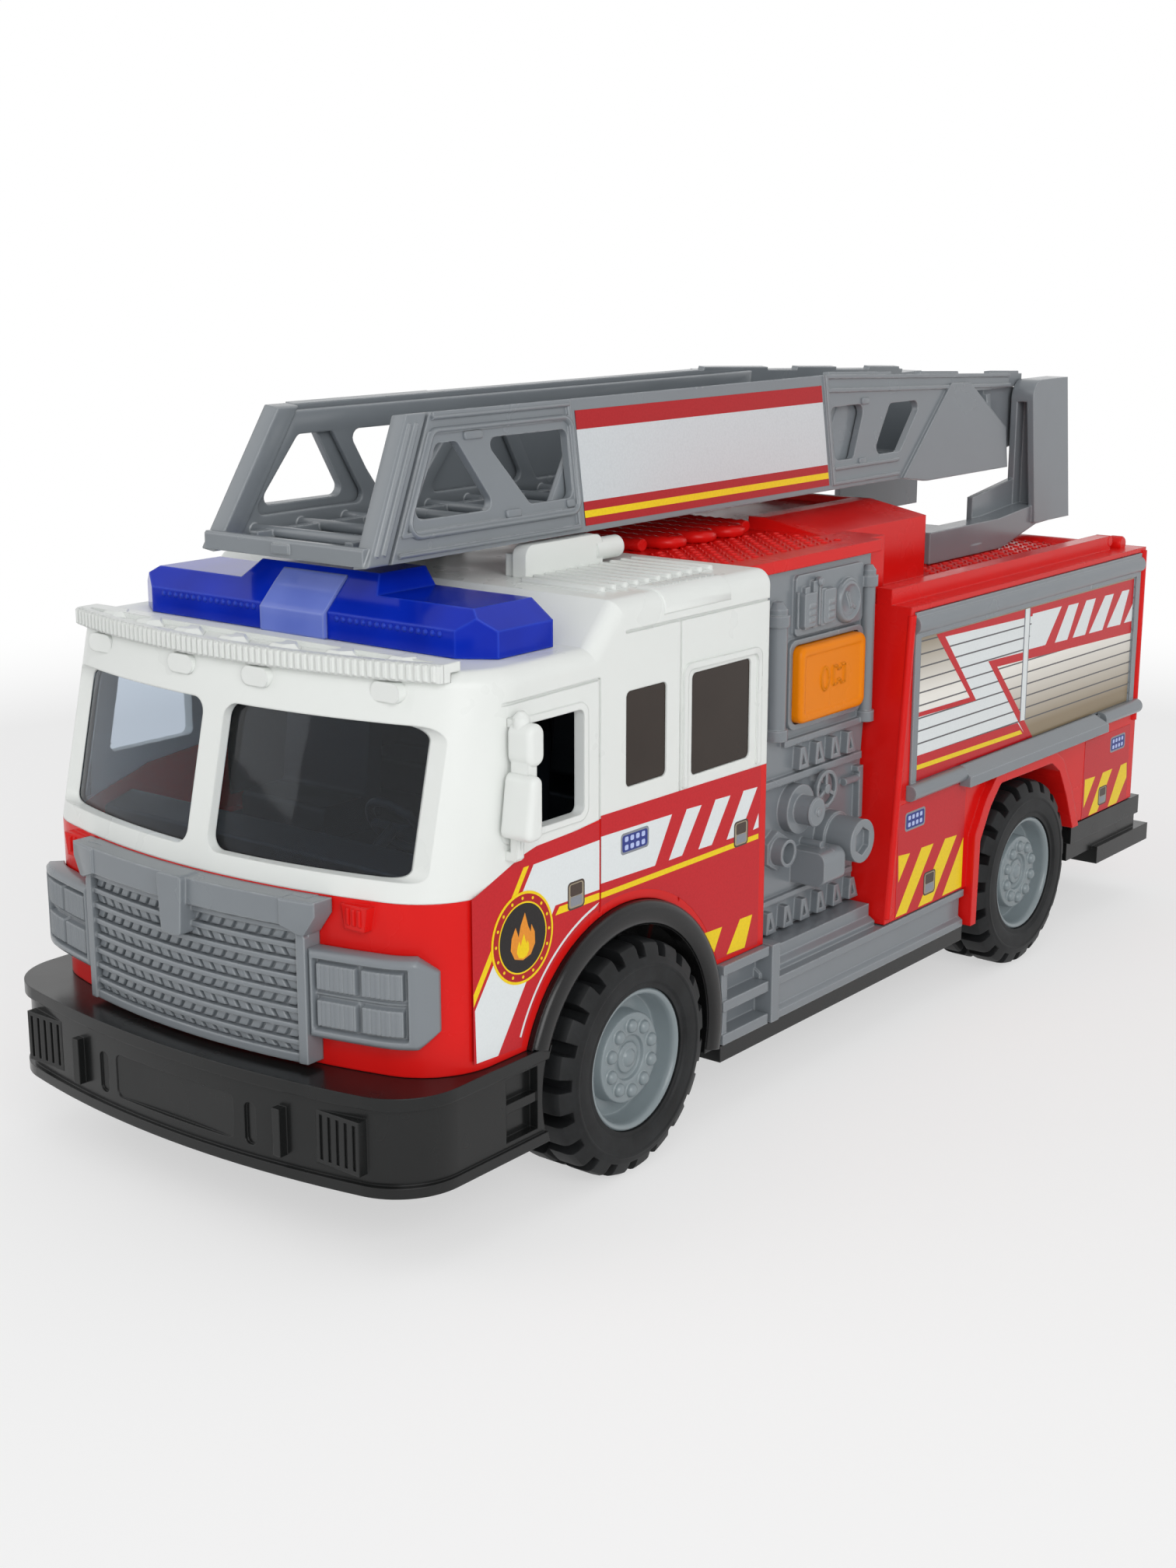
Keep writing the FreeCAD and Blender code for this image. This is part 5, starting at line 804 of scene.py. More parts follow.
# ---- mesh helpers ----
class Shaper:
    """Collects closed shells in millimetres and turns them into one object in metres."""

    def __init__(self) -> None:
        """Starts with nothing."""
        self.points: list[Point3] = []
        self.faces: list[tuple[int, ...]] = []
        self.marks: list[int] = []

    def shell(self, points: Iterable[Point3], faces: Iterable[Sequence[int]], mark: int = 0) -> None:
        """Adds points with the faces that join them.

        Args:
            points: corners of the shell.
            faces: corner numbers of each face, counted within this shell.
            mark: material number of its faces.
        """
        start = len(self.points)
        self.points.extend(points)
        for face in faces:
            self.faces.append(tuple(start + i for i in face))
            self.marks.append(mark)

    def rings(self, rings: Sequence[Sequence[Point3]], mark: int = 0, closed: bool = False) -> None:
        """Adds a skin through rings of equal count.

        Args:
            rings: loops of points, each joined to the next.
            mark: material number of its faces.
            closed: joins the last ring to the first, where the ends would else be capped.
        """
        count = len(rings[0])
        last = (len(rings) - 1) * count
        faces = []
        for low in range(0, last + count if closed else last, count):
            high = (low + count) % (last + count)
            for i in range(count):
                j = (i + 1) % count
                faces.append((low + i, low + j, high + j, high + i))
        if not closed:
            faces += [tuple(range(count - 1, -1, -1)), tuple(range(last, last + count))]
        self.shell([point for ring in rings for point in ring], faces, mark)

    def block(self, low: Point3, high: Point3, side: Side = Side.LEFT) -> None:
        """Adds a box between two corners, on the left or moved to the given side."""
        x0, x1 = sorted((side.value * low[0], side.value * high[0]))
        self.rings([[(x, y, z) for x, y in oblong((x0, low[1]), (x1, high[1]))] for z in (low[2], high[2])])

    def turned(self, side: Side, centre: Point2, profile: Sequence[Point2], flats: int = 48) -> None:
        """Adds a shape turned about a crosswise axis.

        Args:
            side: side of the truck.
            centre: the axis in (y, z).
            profile: (radius, x) pairs from the root outwards.
            flats: number of flats round the axis.
        """
        self.rings([side.put((x, y, z) for y, z in circle(centre, radius, flats)) for radius, x in profile])

    def raised(self, side: Side, outline: Outline, low_x: float, high_x: float, taper: float = 0.0) -> None:
        """Adds a flat shape that stands out from a side face.

        Args:
            side: side of the truck.
            outline: corners in (y, z).
            low_x: distance of its root from the truck's middle.
            high_x: distance of its face from the truck's middle.
            taper: share by which the face is smaller than the root.
        """
        self.rings([side.put((low_x, y, z) for y, z in outline),
                    side.put((high_x, y, z) for y, z in shrunk(outline, taper))])

    def object(self, name: str, finishes: Sequence[Finish], smooth_deg: float = 0.0) -> bpy.types.Object:
        """Makes the object.

        Args:
            name: name of the piece.
            finishes: the material of each mark.
            smooth_deg: edges that bend less than this are shaded smooth.

        Returns:
            The new object, linked to the scene.
        """
        mesh = bpy.data.meshes.new(name)
        mesh.from_pydata([(x * MM, y * MM, z * MM) for x, y, z in self.points], [], self.faces)
        for finish in finishes:
            mesh.materials.append(finish.material())
        mesh.polygons.foreach_set("material_index", self.marks)
        work = bmesh.new()
        work.from_mesh(mesh)
        bmesh.ops.recalc_face_normals(work, faces=work.faces)
        work.to_mesh(mesh)
        work.free()
        if smooth_deg:
            mesh.shade_smooth()
            mesh.set_sharp_from_angle(angle=math.radians(smooth_deg))
        piece = bpy.data.objects.new(name, mesh)
        bpy.context.scene.collection.objects.link(piece)
        return piece

    def piece(self, name: str, finishes: Sequence[Finish], smooth_deg: float = 0.0,
              replaced: Sequence[str] = (), body: str = "truck") -> None:
        """Makes the object, ties it to the frame and reports it.

        Args:
            name: name of the piece.
            finishes: the material of each mark.
            smooth_deg: edges that bend less than this are shaded smooth.
            replaced: frame nodes that it stands for.
            body: frame body that it moves with.
        """
        piece = self.object(name, finishes, smooth_deg)
        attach(piece, body)
        if replaced:
            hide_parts(*replaced)
        LOG.info("%s rides on %s with %d faces", name, body, len(self.faces))


@dataclass(frozen=True)
class LeaningWall:
    """Side wall of a ladder section, which leans in about its foot."""

    half: float
    foot: float
    side: Side
    lean_deg: float = LADDER_LEAN_DEG

    def place(self, along: float, up: float, out: float) -> Point3:
        """Moves a point of the wall into the truck.

        Args:
            along: place along the truck.
            up: height on the wall's face.
            out: distance out from its outer face.

        Returns:
            The point in the truck.
        """
        lean = math.radians(self.lean_deg)
        x = self.half + out * math.cos(lean) - up * math.sin(lean)
        return self.side.value * x, along, self.foot + up * math.cos(lean) + out * math.sin(lean)

    def plate(self, shaper: Shaper, outline: Outline, holes: Sequence[Outline],
              thickness: float, face: float = 0.0, edge: float = 0.3) -> None:
        """Adds a plate with round-edged holes, made as a filled curve.

        Args:
            shaper: mesh that gets it.
            outline: outer corners (along, up).
            holes: corners of each hole.
            thickness: thickness of the plate.
            face: how far its outer face stands out from the wall's.
            edge: radius of its edges.
        """
        curve = bpy.data.curves.new("plate_outline", "CURVE")
        curve.dimensions = "2D"
        curve.fill_mode = "BOTH"
        curve.extrude = thickness / 2 - edge
        curve.bevel_depth = edge
        curve.bevel_resolution = 1
        curve.offset = -edge
        for loop in (outline, *holes):
            spline = curve.splines.new("POLY")
            spline.points.add(len(loop) - 1)
            spline.points.foreach_set("co", [c for a, b in loop for c in (a, b, 0.0, 1.0)])
            spline.use_cyclic_u = True
        draft = bpy.data.objects.new("plate_outline", curve)
        mesh = bpy.data.meshes.new_from_object(draft)
        work = bmesh.new()
        work.from_mesh(mesh)
        bmesh.ops.remove_doubles(work, verts=work.verts, dist=0.002)
        bmesh.ops.dissolve_degenerate(work, edges=work.edges, dist=0.002)
        work.verts.index_update()
        points = [self.place(v.co.x, v.co.y, face - thickness / 2 + v.co.z) for v in work.verts]
        shaper.shell(points, [[v.index for v in f.verts] for f in work.faces])
        work.free()
        bpy.data.objects.remove(draft)
        bpy.data.curves.remove(curve)
        bpy.data.meshes.remove(mesh)

    def bead(self, shaper: Shaper, path: Outline, radius: float, rise: float, closed: bool = False) -> None:
        """Adds a half-round bead along a path on the wall's face.

        Args:
            shaper: mesh that gets it.
            path: points (along, up).
            radius: half of its width.
            rise: its height over the face.
            closed: joins the end to the start.
        """
        section = [(-1.0, -0.4), (-1.0, 0.15), (-0.7, 0.75), (0.0, 1.0), (0.7, 0.75), (1.0, 0.15),
                   (1.0, -0.4)]
        loops = []
        for i, here in enumerate(path):
            before = path[i - 1] if closed or i else here
            after = path[(i + 1) % len(path)] if closed or i < len(path) - 1 else here
            run = (Vector(after) - Vector(before)).normalized() * radius
            loops.append([self.place(here[0] - run.y * a, here[1] + run.x * a, b * rise)
                          for a, b in section])
        shaper.rings(loops, closed=closed)


# ---- printed stickers ----
# an ink followed by the outlines that it fills
Print = tuple[Any, ...]


@dataclass
class StickerSheet:
    """A vinyl sticker on one side of the truck, printed in layers of flat ink.

    The plane is x = face at height z = foot and leans inward by lean_deg.
    """

    name: str
    side: Side
    face: float
    foot: float = 0.0
    lean_deg: float = 0.0
    body: str = "truck"
    film: float = 0.07
    ink: float = 0.012
    # lowest and highest corner that every area is cut to
    window: tuple[Point2, Point2] | None = None

    def __post_init__(self) -> None:
        """Starts an empty print."""
        self.shaper = Shaper()
        self.finishes: list[Finish] = []
        self.level = -1
        self.wall = LeaningWall(self.face, self.foot, self.side, self.lean_deg)

    def add(self, *prints: Print) -> None:
        """Prints areas on the present layer.

        Args:
            prints: an ink followed by its outlines in (y, z), for each ink.
        """
        top = self.film + self.ink * self.level
        for finish, *outlines in prints:
            for outline in outlines:
                if self.window:
                    outline = clipped(outline, *self.window)
                if len(outline) < 3:
                    continue
                if finish not in self.finishes:
                    self.finishes.append(finish)
                self.shaper.rings([[self.wall.place(y, z - self.foot, lift) for y, z in outline]
                                   for lift in (0.0, top)], self.finishes.index(finish))

    def layer(self, *prints: Print) -> None:
        """Starts a layer over the last one and prints areas on it."""
        self.level += 1
        self.add(*prints)

    def lamp(self, centre: Point2, half_y: float = 4.4, half_z: float = 2.1) -> None:
        """Prints a small marker lamp: grey rim, navy panel and two rows of pale dots.

        Args:
            centre: middle of the lamp.
            half_y: half its length.
            half_z: half its height.
        """
        self.layer((INK_GREY, rounded_box(centre, half_y, half_z, 0.8)))
        self.layer((INK_NAVY, rounded_box(centre, half_y - 0.45, half_z - 0.45, 0.6)))
        dots = [(centre[0] + column * 1.75, centre[1] + row * 1.6)
                for column in (-1.5, -0.5, 0.5, 1.5) for row in (-0.5, 0.5)]
        self.layer((INK_SKY, *(rounded_box(dot, 0.55, 0.5, 0.3) for dot in dots)))

    def handle(self, centre: Point2, half_y: float = 2.5, half_z: float = 2.7) -> None:
        """Prints a recessed door handle: tan frame, dark upper half, grey lower half.

        Args:
            centre: middle of the handle.
            half_y: half its length.
            half_z: half its height.
        """
        upper = (centre[0], centre[1] + half_z * 0.38)
        lower = (centre[0], centre[1] - half_z * 0.42)
        self.add((INK_BROWN, rounded_box(centre, half_y, half_z, 0.9)))
        self.layer((INK_TAN, rounded_box(centre, half_y - 0.35, half_z - 0.35, 0.7)))
        self.layer((INK_BROWN, rounded_box(upper, half_y - 0.75, half_z * 0.42, 0.4)))
        self.layer((INK_GREY, rounded_box(lower, half_y - 0.8, half_z * 0.34, 0.4)))

    def finish(self) -> None:
        """Makes the sticker."""
        self.shaper.piece(f"{self.name}_{self.side.label}", self.finishes, body=self.body)


@dataclass
class CabStickers:
    """Door stickers of the cab: rising white stripe, hatches, chevrons and a round medallion."""

    wheel: Point2 = FRONT_WHEEL
    arch: float = 32.9
    trim_arc: float = 34.1
    trim_line: float = 0.5
    front: float = -128.0
    door_seam: float = -91.8
    seam_gap: float = 0.25
    rear: float = -38.4
    low: float = 34.6
    medallion: Point2 = (-114.5, 55.3)
    medallion_rings: tuple[tuple[float, Finish], ...] = (
        (8.6, INK_YELLOW), (8.1, INK_DEEP_RED), (6.7, INK_YELLOW), (6.4, INK_BLACK))
    studs: int = 16
    stud_circle: float = 7.4

    def build(self, side: Side) -> None:
        """Prints both doors of one side and the medallion over the front one.

        Args:
            side: side of the truck.
        """
        self.front_door(StickerSheet("cab_front_door_sticker", side, CAB_HALF))
        self.rear_door(StickerSheet("cab_rear_door_sticker", side, CAB_HALF))
        self.round_medallion(StickerSheet("cab_medallion", side, CAB_HALF + 0.1))

    def front_door(self, sheet: StickerSheet) -> None:
        """Prints the front door and the cab corner.

        Args:
            sheet: blank sticker on the cab's side.
        """
        right = self.door_seam - self.seam_gap
        foot = self.low - self.wheel[1]
        seam = self.door_seam - self.wheel[0]
        start = math.degrees(math.atan2(foot, -math.sqrt(self.arch ** 2 - foot ** 2)))
        end = math.degrees(math.atan2(math.sqrt(self.arch ** 2 - seam ** 2), seam))
        edge, outer, inner = (
            [p for p in arc(self.wheel, radius, first, end) if p[0] < right]
            for radius, first in ((self.arch, start), (self.trim_arc, start - 3),
                                  (self.trim_arc - self.trim_line, start - 3)))
        sheet.layer((INK_RED, [(self.front, self.low + 0.6), (self.front, 65.6), (-114.0, 70.6),
                               (-110.3, 71.4), (right, 72.0), (right, edge[-1][1]), *edge[::-1]]))
        sheet.layer(
            (INK_WHITE, [(-111.2, 68.2), (right, 68.5), (right, 58.9), (-105.1, 59.0),
                         (-121.5, 34.9), (-127.3, 35.2), (-127.6, 45.1)]),
            (INK_YELLOW, [(-114.0, 68.3), (-112.5, 68.3), (-127.9, 45.9), (-127.9, 48.2)],
             [(-103.9, 58.5), (right, 58.3), (right, 57.0), (-105.1, 57.1)]),
            (INK_WHITE, outer + inner[::-1]))
        sheet.layer()
        sheet.handle((-99.0, 59.6))
        sheet.finish()

    def rear_door(self, sheet: StickerSheet) -> None:
        """Prints the rear door and the panel behind it.

        Args:
            sheet: blank sticker on the cab's side.
        """
        left = self.door_seam + self.seam_gap
        start = math.degrees(math.acos((left - self.wheel[0]) / self.arch))
        end = math.degrees(math.asin((self.low - self.wheel[1]) / self.arch))
        edge = arc(self.wheel, self.arch, start, end, 30)
        sheet.layer((INK_RED, [(left, 73.0), (-61.0, 72.7), (self.rear, 72.4),
                               (self.rear, self.low - 0.5), *edge[::-1]]))
        sheet.layer(
            (INK_WHITE, [(left, 69.0), (-69.2, 68.6), (-74.6, 59.5), (left, 59.9)],
             [(-64.3, 68.6), (-59.3, 68.4), (-65.7, 59.5), (-70.1, 59.5)],
             [(-54.5, 68.5), (-49.3, 68.3), (-55.6, 59.4), (-60.2, 59.5)],
             [(-44.6, 68.3), (-39.6, 68.1), (-45.7, 59.2), (-50.4, 59.3)],
             [(-39.0, 62.4), (-38.9, 59.4), (-40.9, 59.3)]),
            (INK_YELLOW, [(left, 58.1), (-38.9, 58.1), (-38.9, 57.0), (left, 57.0)],
             [(-57.6, 41.4), (-51.5, 41.2), (-54.2, 36.5)],
             [(-45.1, 41.2), (-40.6, 41.1), (-43.2, 34.6), (-49.7, 34.8)]))
        sheet.lamp((-81.1, 66.0))
        sheet.handle((-45.3, 59.6))
        sheet.finish()

    def round_medallion(self, sheet: StickerSheet) -> None:
        """Prints a plain round medallion: rings, a ring of studs and a flame of three tongues.

        Args:
            sheet: blank sticker on the cab's side.
        """
        y, z = self.medallion
        for radius, ink in self.medallion_rings:
            sheet.layer((ink, circle((y, z), radius, 72)))
        flame = [(0, -4.2), (2.2, -3.6), (3.4, -1.8), (3.3, 0.4), (2.4, 2.0), (2.2, 0.6), (1.5, 1.9),
                 (0.6, 4.6), (-0.6, 2.4), (-1.2, 0.4), (-2.0, 2.4), (-3.1, 0.6), (-3.4, -1.6),
                 (-2.3, -3.5)]
        studs = (circle(stud, 0.32, 6) for stud in circle((y, z), self.stud_circle, self.studs))
        sheet.layer((INK_YELLOW, *studs), (INK_ORANGE, [(y + a, z + b) for a, b in flame]))
        sheet.layer((INK_YELLOW, [(y + a * 0.5, z - 1.7 + b * 0.52) for a, b in flame]))
        sheet.finish()


@dataclass
class BodyStickers:
    """Lower locker stickers on both sides of the rear arch: lamp, chevrons and a printed handle."""

    face: float = LOCKER_HALF

    def build(self, side: Side) -> None:
        """Prints both stickers of one side.

        Args:
            side: side of the truck.
        """
        self.sheet("front", side, (15.9, 26.1), (47.0, 52.6), [
            [(16.4, 40.9), (21.6, 40.4), (16.8, 34.5)],
            [(26.9, 40.5), (32.4, 40.3), (21.0, 26.3), (16.0, 26.4)],
            [(37.9, 40.2), (43.5, 39.9), (32.8, 26.3), (26.3, 26.3)],
            [(46.8, 38.6), (46.8, 26.3), (37.6, 26.3)],
        ], ((23.4, 48.1), 4.5, 2.2), ((31.1, 31.2), 2.7, 2.8))
        self.sheet("rear", side, (110.8, 29.2), (138.0, 50.0), [
            [(111.7, 39.8), (117.8, 39.5), (111.8, 32.1)],
            [(122.4, 39.6), (128.1, 39.6), (120.1, 29.4), (115.0, 29.4)],
            [(133.4, 39.5), (137.0, 39.6), (137.4, 35.4), (132.0, 29.4), (126.6, 29.4)],
        ], ((130.5, 46.3), 4.5, 2.1), ((122.8, 33.4), 2.5, 2.5))

    def sheet(self, end: str, side: Side, low: Point2, high: Point2, chevrons: Sequence[Outline],
              lamp: tuple[Point2, float, float], handle: tuple[Point2, float, float]) -> None:
        """Prints one sticker.

        Args:
            end: end of the body that it is on.
            side: side of the truck.
            low: its lowest corner.
            high: its highest corner.
            chevrons: outlines of the yellow slants.
            lamp: middle and half sizes of the lamp.
            handle: middle and half sizes of the handle.
        """
        sheet = StickerSheet(f"body_{end}_sticker", side, self.face)
        sheet.layer((INK_RED, [low, (low[0], high[1]), high, (high[0], low[1])]))
        sheet.layer((INK_YELLOW, *chevrons))
        sheet.lamp(*lamp)
        sheet.handle(*handle)
        sheet.finish()


@dataclass
class ShutterStickers:
    """Large locker sticker: slatted curtain in white and tan, red zigzag lines and a hatch."""

    low: Point2 = (22.7, 56.9)
    high: Point2 = (134.8, 90.0)
    slat: float = 2.95
    slat_line: float = 0.34
    slat_fall: float = 0.6
    divider: Point2 = (73.4, 75.9)
    step_out: float = 1.2

    def build(self, side: Side) -> None:
        """Prints the locker of one side.

        Args:
            side: side of the truck.
        """
        sheet = StickerSheet("shutter_sticker", side, CAB_HALF + self.step_out,
                             window=(self.low, self.high))
        sheet.layer((INK_WHITE, [self.low, (self.low[0], self.high[1]), self.high,
                                 (self.high[0], self.low[1])]))
        sheet.layer((INK_FADE_HIGH, [(22, 92), (30.0, 92), (48.6, 72.6), (22, 73.0)]),
                    (INK_FADE_LOW, [(58.5, 78.8), (136, 76.2), (136, 56), (79.6, 56)]))
        sheet.layer()
        z = self.high[1] - 1.4
        while z > self.low[1] + 3.0:
            sheet.add((INK_LINE, band((20, z + self.slat_fall), (140, z - self.slat_fall), self.slat_line)))
            z -= self.slat
        sheet.layer((INK_RED, [(136, 90.4), (30.0, 92.0), (33.0, 88.7), (136, 86.0)]))
        sheet.layer((INK_RED, [(136, 90), (136, 77.4), (94.0, 78.2), (73.8, 78.9), (84.0, 88.6),
                               (94, 88.4)]))
        sheet.layer((INK_RED,
                     [(22, 72.9), (47.3, 72.4), (28.0, 92.0), (31.2, 92.0), (50.4, 71.2), (22, 71.9)],
                     [(136, 77.4), (55.7, 79.7), (78.6, 56.0), (81.4, 56.0), (60.2, 77.7), (136, 75.2)],
                     [(20, 62.9), (72.2, 61.9), (79.0, 56.0), (20, 56.0)]))
        sheet.layer((INK_YELLOW, [(20, 60.7), (73.8, 59.8), (75.0, 58.7), (20, 59.6)]),
                    (INK_WHITE, [(77.4, 88.1), (92.9, 87.9), (85.0, 79.3), (75.9, 79.5)],
                     [(96.8, 87.6), (102.4, 87.5), (97.0, 78.9), (90.1, 79.1)],
                     [(106.8, 87.5), (112.2, 87.4), (107.1, 78.7), (100.0, 78.9)],
                     [(117.7, 87.3), (122.8, 87.2), (117.1, 78.5), (109.3, 78.7)],
                     [(127.9, 87.2), (132.2, 87.1), (127.8, 78.4), (119.8, 78.7)],
                     [(134.8, 83.0), (134.8, 78.4), (130.1, 78.5)]))
        front, rear = self.divider
        sheet.layer((INK_WHITE, [(front, 92), (rear, 92), (rear, 62.0), (front, 62.2)]))
        sheet.layer((INK_GREY, *(band((y, 92), (y, 62), 0.35) for y in self.divider)),
                    (INK_TAN, band((20, 90.1), (140, 89.9), 0.5)))
        sheet.finish()


@dataclass
class LadderStickers:
    """Long sticker on the ladder's outer face: red bands, white field and one yellow line."""

    front: float = -55.7
    rear: float = 36.0
    proud: float = 0.04

    def build(self, side: Side) -> None:
        """Prints the ladder sticker of one side.

        Args:
            side: side of the truck.
        """
        sheet = StickerSheet("ladder_sticker", side, LADDER_HALF + self.proud, LADDER_FOOT,
                             LADDER_LEAN_DEG, "ladder_main")
        sheet.layer((INK_SILVER, self.strip(1.2, 24.2)))
        sheet.layer((INK_DEEP_RED, self.strip(20.4, 24.2), self.strip(1.2, 6.0)))
        sheet.layer((INK_YELLOW, self.strip(2.8, 4.2)))
        sheet.finish()

    def strip(self, low: float, high: float) -> list[Point2]:
        """Outline of a strip along the whole sticker, between two heights on the wall."""
        return oblong((self.front, LADDER_FOOT + low), (self.rear, LADDER_FOOT + high))


# ---- ladder ----
@dataclass
class LadderExtension:
    """Sliding ladder section: two lattice walls, round rungs and the slanted end frame."""

    front: float = -118.9
    wall_front: float = -113.9
    wall_rear: float = 58.1
    wall_half: float = 19.487
    wall_foot: float = 121.0
    wall_height: float = 23.7
    wall_thickness: float = 1.5
    slant: float = 14.6
    full_height: float = 26.6
    frame_width: float = 5.6
    frame_thickness: float = 4.0
    # openings stand base down and base up in turn, two to a bay
    bay: float = 50.0
    bays: int = 3
    first_bay: float = -93.5
    hole_low: float = 3.8
    hole_high: float = 19.0
    hole_base: float = 16.0
    hole_tip: float = 4.8
    hole_round: float = 1.6
    rungs: int = 14
    rung_radius: float = 1.1
    rung_rise: float = 1.2
    rung_inset: float = 5.0
    rail_x: float = 12.5

    def build(self) -> None:
        """Makes the section in the place of its frame node."""
        shaper = Shaper()
        for side in Side:
            self.wall(shaper, LeaningWall(self.wall_half, self.wall_foot, side))
            self.end_frame(shaper, LeaningWall(LADDER_HALF, LADDER_FOOT, side))
        self.steps(shaper)
        shaper.piece("ladder_extension_lattice", [GREY_ABS], 38.0, ["ladder_inner"], "ladder_extension")

    def wall(self, shaper: Shaper, wall: LeaningWall) -> None:
        """Adds one lattice wall.

        Args:
            shaper: mesh that gets it.
            wall: the leaning face that it stands on.
        """
        top = self.wall_height
        outline = [(self.wall_front, 0.0), (self.wall_rear, 0.0), (self.wall_rear, top),
                   (self.wall_front + self.slant - 1.0, top)]
        holes = []
        for k in range(2 * self.bays):
            middle = self.first_bay + self.bay * k / 2
            base, tip = (self.hole_high, self.hole_low) if k % 2 else (self.hole_low, self.hole_high)
            holes.append(rounded([
                (middle - self.hole_base, base), (middle + self.hole_base, base),
                (middle + self.hole_tip, tip), (middle - self.hole_tip, tip)], self.hole_round))
        wall.plate(shaper, outline, holes, self.wall_thickness)

    def end_frame(self, shaper: Shaper, wall: LeaningWall) -> None:
        """Adds one slanted cheek of the end frame with its two raised lines.

        Args:
            shaper: mesh that gets it.
            wall: the leaning face that it stands on.
        """
        top, slope = self.full_height, self.slant / self.full_height
        rear = self.front + self.frame_width
        outline = [(self.front, 0.0), (rear, 0.0), (rear + self.slant, top), (self.front + self.slant, top)]
        wall.plate(shaper, outline, [], self.frame_thickness, edge=0.5)
        for shift in (1.5, 3.4):
            path = [(self.front + shift + slope * up, up) for up in (1.8, 8.0, 16.0, 24.6)]
            wall.bead(shaper, path, 0.42, 0.55)

    def steps(self, shaper: Shaper) -> None:
        """Adds the round rungs, the rails under them and the front bar with its catch.

        Args:
            shaper: mesh that gets them.
        """
        reach = self.wall_half - 0.8
        first, last = self.wall_front + self.rung_inset, self.wall_rear - self.rung_inset
        for i in range(self.rungs):
            y = first + (last - first) * i / (self.rungs - 1)
            rung = circle((y, self.wall_foot + self.rung_rise), self.rung_radius, 12)
            shaper.rings([[(x, a, b) for a, b in rung] for x in (-reach, reach)])
        for x in (-self.rail_x, self.rail_x):
            shaper.block((x - 1.0, self.wall_front, self.wall_foot + 0.1),
                         (x + 1.0, self.wall_rear - 1.0, self.wall_foot + 1.7))
        half = LADDER_HALF - 1.2
        section = [(0.0, 0.0), (3.4, 0.0), (3.4, 1.6), (1.6, 3.4), (0.4, 3.4), (0.0, 3.0)]
        shaper.rings([[(x, self.front + a, LADDER_FOOT + b) for a, b in section] for x in (-half, half)])
        shaper.block((-2.2, self.front - 0.5, LADDER_FOOT + 0.8), (2.2, self.front + 0.2, LADDER_FOOT + 2.6))


@dataclass
class LadderTrim:
    """Round bead, rail lines and pads on the outer ladder's walls."""

    window: tuple[Point2, ...] = ((-108.7, 4.2), (-57.6, 4.2), (-57.6, 23.1), (-98.4, 23.1))
    # two stations along each rail line and its height; both lines end at the sticker
    rails: tuple[Point3, ...] = ((-98.0, -80.0, 25.5), (-110.9, -85.0, 1.2))
    rail_end: float = -58.0
    # middle (along, up) and half length of each pad
    pads: tuple[Point3, ...] = (
        (-87.0, 21.6, 2.6), (-77.6, 5.9, 2.2), (-59.8, 6.2, 1.3), (51.4, 5.6, 1.6), (54.6, 19.6, 1.6))
    pad_half: float = 0.8

    def build(self) -> None:
        """Makes the trim of both walls."""
        shaper = Shaper()
        for side in Side:
            wall = LeaningWall(LADDER_HALF, LADDER_FOOT, side)
            wall.bead(shaper, rounded(self.window, 2.4, 5), 0.62, 1.0, closed=True)
            for start, middle, up in self.rails:
                wall.bead(shaper, [(along, up) for along in (start, middle, self.rail_end)], 0.5, 0.9)
            for along, up, half in self.pads:
                pad = oblong((along - half, up - self.pad_half), (along + half, up + self.pad_half))
                wall.plate(shaper, rounded(pad, 0.4, 2), [], 1.0, face=0.5, edge=0.2)
        shaper.piece("ladder_trim_beads", [GREY_ABS], 50.0, body="ladder_main")


